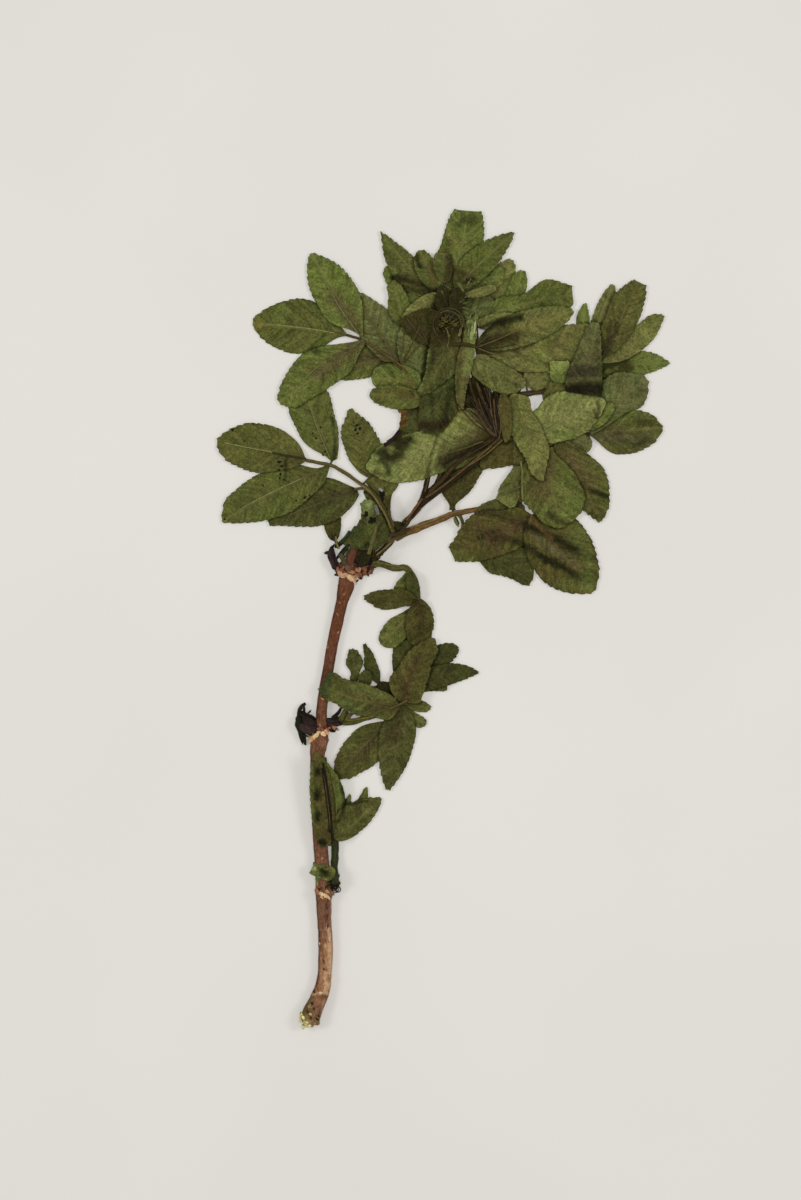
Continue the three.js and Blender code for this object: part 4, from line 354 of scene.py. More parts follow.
# Stains, dark pressed folds that are partly painted shade, and painted shadow in deep gaps: leaflets, points
# x, y ..., half width, strength, tone.
STAINS_AND_SHADE = [
    ["l3", [34, 29.4, 42, 24.6, 50, 19], 1.8, 0.55, (92, 84, 56)],
    ["l3", [44, 31, 50, 27.4, 54, 24.4], 1.3, 0.4, (82, 76, 48)],
    # the dark bands on this line and the third line below are pressed folds, partly painted shade
    ["l1 l3", [30, 34, 36, 32, 44, 28, 51, 24.4, 56, 22], 1.5, 0.92, (30, 28, 14)],
    ["l1 l3", [14, 40, 22, 38, 30, 34.4], 1.4, 0.6, (44, 40, 24)],
    ["l1 l2 l3", [16, 31, 24, 29, 30, 26.8, 38, 22], 1.5, 0.8, (34, 31, 17)],
    ["l3", [36, 23, 42, 20, 47, 17, 52, 14], 1.5, 0.92, (29, 27, 14)],
    ["l3", [31, 38, 35, 34.4, 40, 29.6], 0.9, 0.6, (100, 76, 42)],
    ["l4", [34, 58, 36, 52, 36, 46], 4.6, 0.55, (86, 74, 46)],
    ["l3", [50, 32, 53, 26, 54, 19, 53, 13], 3, 0.5, (92, 100, 50)],
    ["l3", [44, 12.5, 50, 11, 55, 11], 1.8, 0.5, (96, 102, 50)],
    ["l1", [12, 34, 18, 31, 26, 33], 4, 0.5, (74, 58, 38)],
    ["l1", [13.4, 29.8, 14.8, 30.2], 0.9, 0.85, (34, 30, 16)],
    ["l1", [4.5, 23.5, 10, 22], 2, 0.5, (88, 96, 46)],
    ["l2", [20, 19, 27, 16, 31, 14], 3, 0.5, (54, 56, 28)],
    ["l4", [37, 60, 38, 54, 36, 48], 4.4, 0.5, (82, 70, 42)],
    ["l4", [39.6, 38.4, 43, 36.4, 46.4, 34.6], 1.4, 0.85, (42, 40, 20)],
    ["l4", [44, 46, 47, 42, 46, 38], 3, 0.55, (98, 104, 52)],
    ["l5", [51.4, 49.4, 57, 46.4, 62, 44.4], 1.2, 0.92, (30, 30, 16)],
    ["l5", [54.6, 38.6, 57, 37.4, 60, 37], 1.2, 0.6, (44, 44, 22)],
    ["l5", [47, 60, 51, 54, 54, 50], 2.6, 0.5, (86, 72, 44)],
    ["l6", [24, 54, 25, 49], 3, 0.4, (60, 60, 32)],
    # painted shadow in the deep gap at the foot of d4, on this line and the next
    ["d4 d5b d7", [44, 84.5, 52, 85.5, 60, 87], 2, 0.75, (34, 30, 14)],
    ["d4", [45, 83.6, 52, 84.2, 59, 84.6], 3.7, 0.92, (27, 24, 14)],
    ["d4", [46.6, 90.4, 52, 91.4, 58, 91.4], 2.6, 0.8, (48, 41, 29)],
    ["d4", [50, 96.6, 54, 97, 58, 95.4], 1.4, 0.45, (66, 60, 38)],
    ["d4", [52.6, 98, 54.4, 102, 56.8, 106], 1.6, 0.6, (84, 88, 50)],
    ["d4", [57, 98, 57.6, 104], 0.8, 0.5, (58, 52, 30)],
    ["d5b", [60, 98, 62, 103, 64, 109], 2, 0.75, (46, 38, 24)],
    ["d5b", [65, 104, 69, 112, 71, 119], 0.5, 0.5, (108, 104, 56)],
    ["d5b", [63, 106, 64, 113, 65, 119], 0.5, 0.45, (104, 100, 54)],
    ["d6", [60, 86, 68, 84, 76, 82], 2.4, 0.45, (100, 102, 50)],
    ["d13", [41, 94, 46, 94], 2.2, 0.6, (122, 132, 72)], ["d13", [42, 88, 45.6, 89], 1, 0.5, (80, 92, 46)],
    ["d7", [59, 92.6, 64, 94, 68.4, 94.8], 1.3, 0.88, (32, 30, 15)],
    ["d7", [72, 96, 78, 96, 83, 94.8], 2.2, 0.55, (92, 100, 50)],
    ["d3", [30, 100, 35, 103.4, 40, 107], 0.8, 0.7, (44, 38, 20)],
    ["d3", [40, 101, 46, 104, 50, 108], 2.6, 0.45, (84, 74, 40)],
    ["d9", [73, 72.6, 75, 73, 77, 72.4], 1.3, 0.75, (44, 42, 22)],
    ["d9", [66, 74, 71, 76, 76, 76], 1.8, 0.5, (88, 98, 48)],
    ["d10", [57.4, 80, 58, 77, 57, 74], 0.9, 0.75, (42, 36, 19)],
    ["d10", [40, 70, 44, 67.6, 48, 68], 2, 0.5, (84, 94, 46)],
    ["d2", [13, 100.6, 19, 102.6, 27, 105], 3.2, 0.9, (44, 38, 17)],
    ["d2", [22, 108, 32, 108, 44, 112], 2.2, 0.5, (104, 100, 50)],
    ["d1", [18, 113, 27, 114, 34, 113], 2.2, 0.5, (104, 110, 54)],
    ["d1", [37, 117, 42, 120, 45, 119], 1.6, 0.5, (54, 54, 26)],
    ["d3", [13, 99, 20, 100, 27, 100.4], 2.2, 0.85, (46, 40, 18)],
    ["d15", [19.6, 88, 19, 89], 1, 0.7, (54, 46, 24)], ["d15", [15, 94, 22, 95], 1.8, 0.4, (106, 110, 58)],
    ["d15", [23, 89, 26, 86.6, 28, 86], 0.8, 0.6, (60, 58, 32)],
    ["d15", [13, 90, 16, 88.4], 1.2, 0.5, (80, 76, 42)], ["d10", [48, 69, 54, 73], 1.6, 0.45, (74, 80, 36)],
    ["d10", [56, 77, 57.4, 74], 0.7, 0.8, (60, 44, 26)],
    ["d9", [60, 67, 68, 66.4, 76, 65.6], 2.4, 0.6, (78, 74, 50)],
    ["d9", [56, 68.5, 64, 69.4, 72, 70, 80, 70.6], 0.4, 0.6, (104, 102, 62)],
    ["d9", [64, 68.2, 66.4, 68.2], 1, 0.7, (48, 40, 26)], ["d9", [71, 64, 75, 65], 0.9, 0.8, (40, 42, 22)],
    ["e4", [-16, 83, -12, 83], 1.6, 0.7, (42, 36, 18)], ["e3", [-14, 85, -11, 87], 2, 0.5, (70, 56, 30)],
    ["e5", [8, 76, 12, 73, 14, 70], 2.4, 0.6, (92, 80, 42)],
    ["e5", [-2, 68, -4.4, 60, -6.4, 52], 0.7, 0.75, (52, 52, 24)],
    ["e5", [-2, 70.6, 6, 73], 1.4, 0.5, (128, 128, 66)],
    ["e5", [-18.4, 66.8, -15.4, 64.6, -12.4, 66.4], 2.5, 0.92, (30, 27, 12)],
    ["e5", [-22.2, 61.4, -20, 59.2, -17.2, 60.2], 2.7, 0.92, (31, 29, 13)],
    ["e5", [-23, 58.6, -21, 56.4, -20.4, 54.6], 1.1, 0.8, (36, 36, 16)],
    ["e5", [-25.4, 54, -22, 53], 1.2, 0.6, (54, 58, 26)],
    ["e2", [3, 106.6, -0.6, 104.6, -3.6, 102.4], 3.2, 0.8, (45, 37, 20)],
    ["e2", [-3.4, 101, -4, 96, -5.2, 91], 0.8, 0.65, (50, 46, 25)],
    ["e2", [0.4, 98, -2.4, 92, -5.2, 86.6], 1.5, 0.5, (93, 93, 48)],
    ["e2", [4, 100, 2.4, 95], 1.1, 0.5, (88, 84, 44)],
    ["e2", [-5.6, 99, -7.2, 91, -8.5, 84.4], 1, 0.65, (98, 108, 57)],
    ["e2", [1.6, 101, -0.6, 96, -3.4, 91.4], 0.5, 0.6, (62, 54, 30)],
    ["e8", [-6.6, 84, -6.2, 78, -5.2, 74], 1.5, 0.5, (74, 80, 44)],
    ["e8", [-2.6, 86, -2.5, 80, -2.2, 75.4], 1.2, 0.45, (84, 84, 46)],
    ["e8", [-0.6, 88.6, 1.6, 85.4, 1, 80.6], 1.1, 0.55, (90, 98, 52)],
    ["e8", [2.4, 85, 1.7, 79, 0.6, 74], 1.2, 0.85, (33, 33, 16)],
    ["e8", [-4.6, 85, -4.3, 79, -3.7, 73], 0.6, 0.65, (44, 46, 23)],
    ["e8", [-7.8, 71.6, -3, 71, 1, 72.4], 2.3, 0.9, (38, 30, 18)],
    ["e8", [2.8, 90, 3.2, 87], 1.1, 0.6, (92, 104, 54)],
    ["e9", [6.6, 104, 5.8, 95, 5.3, 86, 5.8, 80], 1.2, 0.65, (70, 60, 33)],
    ["e9", [11.8, 107, 10.6, 98, 9.4, 91], 1.2, 0.6, (108, 117, 62)],
    ["e9", [8.6, 88, 7.6, 82, 7.2, 79], 1.4, 0.6, (74, 66, 38)],
    ["e5", [17, 65.6, 9, 62.6, 2, 59.4, 0, 57], 3.8, 0.92, (42, 35, 19)],
    ["e5", [18, 70, 12, 68, 5, 66], 2, 0.55, (72, 60, 34)],
    ["e4", [-24, 83, -16, 83.6, -11, 82], 1.6, 0.5, (94, 84, 44)],
    ["e3", [-24, 88.4, -16, 88, -11, 86.6], 0.6, 0.6, (104, 94, 50)],
    ["e11", [-14.8, 77, -14.8, 72], 1.3, 0.75, (98, 66, 34)],
    ["e11", [-11.4, 75, -12, 68], 1.6, 0.6, (68, 76, 40)],
    ["b6", [-5.8, 104, -6.6, 97, -7.6, 90], 0.9, 0.85, (34, 30, 17)],
    ["b6", [-12.6, 104, -10.4, 97, -9.4, 91], 1.4, 0.5, (90, 96, 50)],
    ["b5", [-20, 100, -26, 109, -31, 117], 1, 0.55, (62, 56, 32)],
    ["b5", [-17.6, 103, -22, 112, -26, 117], 1.2, 0.5, (92, 98, 52)],
    ["e10", [-4, 104.6, -9, 107, -14, 109], 0.7, 0.5, (74, 62, 44)],
    # dark pressed folds across c3, c3b and c4, partly painted shade, on this line and the next
    ["c3 c3b c4", [-19, 126.6, -12, 125, -6, 122.4, -2, 121], 1.5, 0.88, (33, 30, 16)],
    ["c3 c3b c4", [-15, 123, -9, 121.4, -4, 120.4], 1.2, 0.8, (36, 32, 18)],
    ["c3", [-20, 131.6, -14, 129, -8, 126.6], 0.8, 0.55, (58, 54, 29)],
    ["c3", [-22, 141, -17, 133, -12, 128], 0.7, 0.4, (100, 100, 52)],
    ["c4", [-9.7, 133.6, -9.1, 131.6, -8.1, 130.2], 0.9, 0.85, (33, 33, 16)],
    ["c4", [-2.2, 128.4, -1, 123.6], 0.8, 0.6, (102, 110, 54)],
    ["c4", [-5.6, 130, -3.6, 124.6], 1.4, 0.55, (70, 60, 34)],
    ["c5", [2.6, 134, 2.3, 130, 1.6, 126], 1.8, 0.75, (43, 37, 20)],
    ["c5", [-1.6, 133.6, -0.6, 129], 1.2, 0.6, (86, 92, 48)],
    ["c2", [3.4, 133, 6, 128.6, 9, 127.4], 1.2, 0.6, (68, 58, 32)],
    ["c1", [6, 146, 8.6, 148.6, 11.4, 148.2], 1.5, 0.65, (50, 52, 26)],
    ["c11", [8.6, 121.6, 12, 125.6, 17, 127], 1.8, 0.6, (62, 72, 38)],
    ["c12", [13, 113.6, 18, 116, 19, 113], 2.6, 0.5, (92, 100, 56)],
    ["c12", [8, 118, 13, 117.6, 18, 118.4], 0.8, 0.6, (52, 52, 28)],
    # painted shadow in the deep gap beside d0 and d2, on this line and the next
    ["d2", [13.4, 106.2, 19, 108.8, 24, 110.2, 28.6, 111.8], 1.7, 0.94, (24, 22, 11)],
    ["d0 d1", [14, 107.6, 20, 110.2, 27, 111.4], 0.9, 0.88, (28, 26, 13)],
    ["d1", [22, 113, 30, 113.6, 38, 114.6], 1.4, 0.5, (104, 110, 56)],
    ["h1", [-46.5, -57, -46.6, -58], 1.5, 0.96, (26, 28, 12)],
    ["h1", [-46.8, -66, -46.8, -67], 1.6, 0.96, (26, 28, 12)],
    ["h1", [-46.5, -73.5, -46.5, -75], 1.5, 0.96, (26, 28, 12)],
    ["h1", [-45.6, -83.6, -44.4, -84], 1.4, 0.96, (22, 24, 11)],
    ["h6", [-44.9, -94.4, -43.7, -95.2], 1.6, 0.95, (18, 22, 10)],
    ["h6", [-48.6, -92.8, -48, -93.4], 0.8, 0.7, (146, 152, 108)],
    ["h6", [-46.6, -97, -43.6, -97.6], 0.5, 0.6, (126, 132, 84)],
    ["h1", [-48.6, -55, -49, -66, -48.6, -76], 0.8, 0.5, (88, 98, 50)],
    ["h1 h2", [-44.8, -56, -43.9, -64, -42.8, -74, -42.4, -82], 0.8, 0.6, (82, 68, 38)],
    ["h1 h2 h3 h4", [-38, -62, -36.8, -67, -37, -71, -39, -76], 0.7, 0.9, (24, 26, 12)],
    ["h3 h5", [-34.4, -69.8, -31, -68.9, -28.4, -68.6], 0.6, 0.85, (28, 32, 14)],
    ["h3", [-38, -80.6, -33, -77, -27, -71], 0.7, 0.5, (96, 104, 54)],
    ["h3", [-37, -74.6, -32, -71.6], 1.2, 0.5, (56, 56, 29)],
    ["m1", [-28.6, 42.4, -28.2, 40], 2.4, 0.75, (112, 124, 70)],
    ["a3", [-40.6, 59, -40.3, 66, -41.4, 74], 0.7, 0.85, (36, 40, 18)],
    ["a4", [-49, 46, -52, 43.6, -57, 40.6], 1, 0.6, (40, 44, 20)],
    ["a2 a1", [-58.6, 59.5, -58.8, 51], 0.7, 0.7, (32, 36, 18)],
    ["g4a g4b", [-9, -28, -6.4, -22, -4.6, -16, -3.6, -11], 2.6, 0.75, (34, 36, 15)],
    ["d7", [58.5, 88.6, 62, 90, 66, 91.4, 70, 92.8], 1.6, 0.7, (44, 42, 14)],
    ["d7", [60, 94.5, 66, 94.8, 71, 94.6], 0.8, 0.5, (60, 60, 26)],
    ["d1", [32, 118.6, 38, 121.4, 47, 124], 2.8, 0.5, (72, 74, 32)],
    ["a1 a2", [-2, 133, -1.6, 129, -0.4, 125], 1.4, 0.5, (60, 64, 30)],
    ["m1", [-27.4, 43.4, -27, 41], 1, 0.6, (136, 138, 88)],
    ["m1", [-30.6, 26.2, -28.4, 26.8], 1, 0.85, (24, 24, 12)],
    ["m1", [-33.4, 29.6, -32, 34], 1.6, 0.5, (44, 54, 28)],
    ["m1", [-32, 31, -30.4, 35], 1.7, 0.6, (50, 58, 30)],
    ["m1", [-27.4, 30.6, -26.6, 34.4], 1.8, 0.6, (94, 104, 50)],
    ["m1", [-33.6, 27.4, -30, 26.6], 1.2, 0.5, (76, 88, 44)],
    ["m3", [-21, 26, -19.6, 30, -18.4, 34], 2.4, 0.85, (42, 40, 21)],
    ["g1", [-43.6, -21.4, -44.8, -25, -44.6, -28.6], 2, 0.8, (42, 54, 30)],
    ["g1", [-36, -28, -30, -29.6, -25, -31], 1.1, 0.5, (84, 74, 46)],
    ["g1", [-39, -31, -32, -33.6, -26, -35], 1.2, 0.5, (94, 104, 58)],
    ["g1", [-34, -26.4, -28, -27.6, -23, -29], 0.9, 0.45, (88, 98, 54)],
    ["b1 b3", [-49, 100, -46.4, 98.6], 1.6, 0.75, (50, 56, 24)],
    ["b3", [-49.4, 93, -47.4, 91.4], 1.4, 0.5, (66, 60, 34)],
    ["b1", [-70, 109.6, -66, 108], 1.6, 0.5, (106, 94, 46)],
    ["g1", [-17, -33.4, -22, -34, -28, -34], 2, 0.6, (62, 50, 30)],
    ["g2", [-15, -31, -13, -24, -9, -15], 1.4, 0.6, (66, 50, 32)],
    ["g5 g6", [-18, -36, -19, -44], 2.6, 0.5, (56, 46, 28)],
    ["g5", [-22, -42, -28, -49, -34, -55], 1.8, 0.5, (62, 50, 32)],
    ["f4", [-8.6, 4, -8, -3, -8.4, -9], 1.3, 0.55, (58, 46, 26)],
    ["a4", [-34, 47, -48, 42], 2.6, 0.4, (58, 52, 32)],
    ["b2", [-32, 107, -36, 113, -40, 119], 2.6, 0.6, (82, 68, 46)],
    ["b3", [-30, 102, -38, 97, -46, 91], 2.8, 0.6, (80, 66, 46)],
    ["b4 b5", [-20, 97, -26, 97, -34, 96], 2.4, 0.6, (76, 62, 42)],
    ["c3", [-3, 120, -8, 125], 2.6, 0.6, (60, 56, 28)], ["c2 c1", [2, 122, 6, 127], 2.6, 0.6, (48, 42, 20)],
    ["c2", [8, 124.6, 11, 126], 1, 0.85, (26, 24, 10)],
    ["c1", [7.4, 148.8, 9.8, 146.6, 11, 149], 1.5, 0.6, (52, 54, 26)],
    ["c1", [1, 135, 3, 139, 5, 140], 2, 0.45, (84, 76, 42)],
    ["c1", [0.6, 134, 2, 140], 1.4, 0.5, (60, 60, 28)],
]

# Small pieces that close chinks in the pile, one of them a black sheet of painted shadow: leaf, x and y of
# base, middle and tip, half width, tone.
SCRAPS_AND_SHADOW_SHEETS = [
    ["leaf_b", [-7.6, 99.4, -5.8, 101, -4, 102.8], 1.6, "soot"],
    ["leaf_c", [5.2, 103, 6.8, 105.6, 8.8, 109.4], 1.9, "soot"],
    ["leaf_c", [-17.4, 106.6, -16, 108.4, -14.6, 110.4], 1.3, "deep"],
    ["leaf_c", [0.8, 119, 2.6, 120.8, 3.8, 123.4], 2, "soot"],
    ["leaf_d", [11.4, 91.4, 12, 93, 12.6, 95], 1.2, "umber"],
    ["leaf_e", [7.4, 76.8, 8.6, 78.6, 9.6, 80.6], 1.5, "soot"],
    ["leaf_d", [26, 88, 28, 90, 30, 92], 1.7, "deep"],
    ["leaf_d", [27, 83.2, 28, 84.6, 28.4, 86.4], 0.9, "soot"],
    ["leaf_d", [16, 118.2, 18, 119.4, 20.2, 120.6], 1.5, "deep"],
    ["leaf_l", [28, 25.6, 30, 26.6, 32.6, 27.4], 1.6, "dark"],
    ["leaf_d", [18.4, 82, 20.4, 83.8, 21.8, 86], 1.6, "soot"],
    ["leaf_d", [19, 77.4, 19.6, 79.6, 20.6, 82.6], 1.3, "soot"],
    ["leaf_c", [0.4, 109, 1.4, 111, 2.6, 113.2], 1.5, "deep"],
    ["leaf_c", [3.8, 106.2, 5, 108, 6.2, 110], 1.4, "soot"],
    ["leaf_e", [5.8, 102, 7.2, 103.4, 8.6, 105], 1.2, "umber"],
    ["leaf_b", [-31, 101, -28.6, 101.2, -26.4, 101.6], 1.4, "bronze"],
    ["leaf_b", [-21.6, 94, -19, 95.2, -16.4, 96.6], 1.6, "bronze"],
    ["leaf_g", [-18, -31.9, -16.4, -30.9, -15, -29.8], 1, "dark"],
    ["leaf_k", [57, 87.6, 60, 88.8, 63, 90], 1.6, "soot"],
    # a black sheet of painted shadow in the deep gap at the foot of d4
    ["leaf_k", [44, 83.4, 50, 84.4, 57, 84.6], 1.8, "black"],
    ["leaf_l", [38.2, 62.8, 40.4, 64.2, 42.6, 65], 1.5, "soot"],
    ["leaf_e", [8, 79, 8.8, 83.4, 10.2, 88.4], 1.2, "soot"],
    ["leaf_d", [20.8, 70.6, 20.7, 76, 20.5, 81.6], 1, "soot"],
    ["leaf_l", [26.4, 42.8, 28.2, 41.8, 30.2, 40], 1.1, "dark"],
    ["leaf_l", [12.4, 56.6, 13.6, 58.6, 14.8, 60.6], 1.1, "dark"],
]

# Torn green shreds beside the flowers, the palest of them partly the torn piece's light green and partly
# painted highlight on its top: x and y of root and tip, width, tone.
SHREDS_AND_HIGHLIGHTS = [
    [11.6, 108.6, 9.4, 111.6, 0.9, (112, 120, 66)], [11.8, 110.4, 12.4, 113.4, 0.7, (118, 124, 78)],
    [10.4, 110.6, 8, 112, 0.8, (98, 106, 56)], [9.8, 112.6, 7.2, 114, 0.9, (92, 100, 52)],
    [9.4, 114.6, 6.8, 115, 0.8, (100, 106, 60)], [10.6, 113.8, 12.8, 116, 0.7, (104, 110, 62)],
    [8.6, 111.2, 6.6, 109.4, 0.6, (88, 94, 46)], [9, 109, 10.4, 106, 1.2, (84, 92, 46)],
    [7.2, 116.4, 10, 117.4, 0.9, (80, 88, 46)], [6.2, 104.6, 7, 108, 0.6, (126, 126, 74)],
    [12.4, 111.6, 14.4, 113.8, 0.8, (96, 104, 56)], [8, 118, 5.6, 116.6, 0.7, (72, 76, 40)],
    [5.6, 124.4, 7.8, 120.8, 1.5, (94, 102, 52)], [0.4, 123.6, 3.2, 121.8, 0.9, (88, 92, 46)],
    [-1.6, 124.2, 0.2, 119.6, 0.7, (90, 90, 50)], [9, 123.6, 10.6, 126.2, 0.7, (96, 96, 56)],
    [8.4, 126, 11.2, 124.4, 0.6, (34, 32, 18)], [-8.6, 129.8, -9.6, 132, 0.6, (34, 34, 18)],
    # the last five shreds are pale: partly the torn piece's light green and partly painted highlight on its
    # top
    [4.2, 119.4, 6.4, 121.2, 0.6, (60, 50, 30)], [10.4, 103, 10.9, 108.8, 1.5, (134, 142, 86)],
    [11.5, 105.2, 12, 110.4, 0.7, (170, 174, 122)], [9.2, 104.4, 9.8, 108, 0.7, (118, 126, 70)],
    [8.9, 108.4, 10.4, 112.8, 0.8, (130, 138, 82)], [12.2, 103.6, 12.3, 106.6, 0.6, (150, 156, 104)],
]

# Insect holes and dark specks on the leaves: x, y, radius.
SPECKS = {
    "leaf_a": [-72.6, 63.2, 0.5, -74, 65.6, 0.4, -61, 57.6, 0.8, -60.2, 56.4, 0.7, -60.9, 54.8, 0.7, -60.4,
     53.2, 0.6, -60.9, 51.8, 0.5, -59.4, 51.2, 0.4, -67.2, 49, 0.5, -54.6, 43.2, 0.5, -51.4, 44.6, 0.7,
     -50.2, 43.8, 0.7, -49.6, 45.2, 0.4, -81.4, 36.6, 0.5, -47.4, 66.6, 0.5, -48.6, 68.4, 0.4, -45.6, 70.6,
     0.5, -44.6, 64.6, 0.5, -44.8, 60.6, 0.6, -44, 61.6, 0.5, -78.2, 69.8, 0.8, -70.6, 72, 0.5, -32.9, 69.6,
     0.8, -32, 71.4, 0.7, -30.9, 70.2, 0.7, -31.8, 68.4, 0.6, -29.6, 68.9, 0.4, -33.4, 72.4, 0.4],
    "leaf_m": [-27, 36, 1.3, -26.3, 35.9, 1.4, -25.6, 36, 1.3, -28.6, 38.8, 1.1, -28.7, 37.9, 1, -22.8, 46,
     1.2, -22.6, 44.9, 1.2, -22.3, 43.8, 1],
    "leaf_e": [-21.6, 64.2, 0.7, -20.2, 65.2, 0.7, -18.6, 66.2, 0.7, -17.2, 67.4, 0.6],
}
SPECK_TONE = (24, 21, 11)

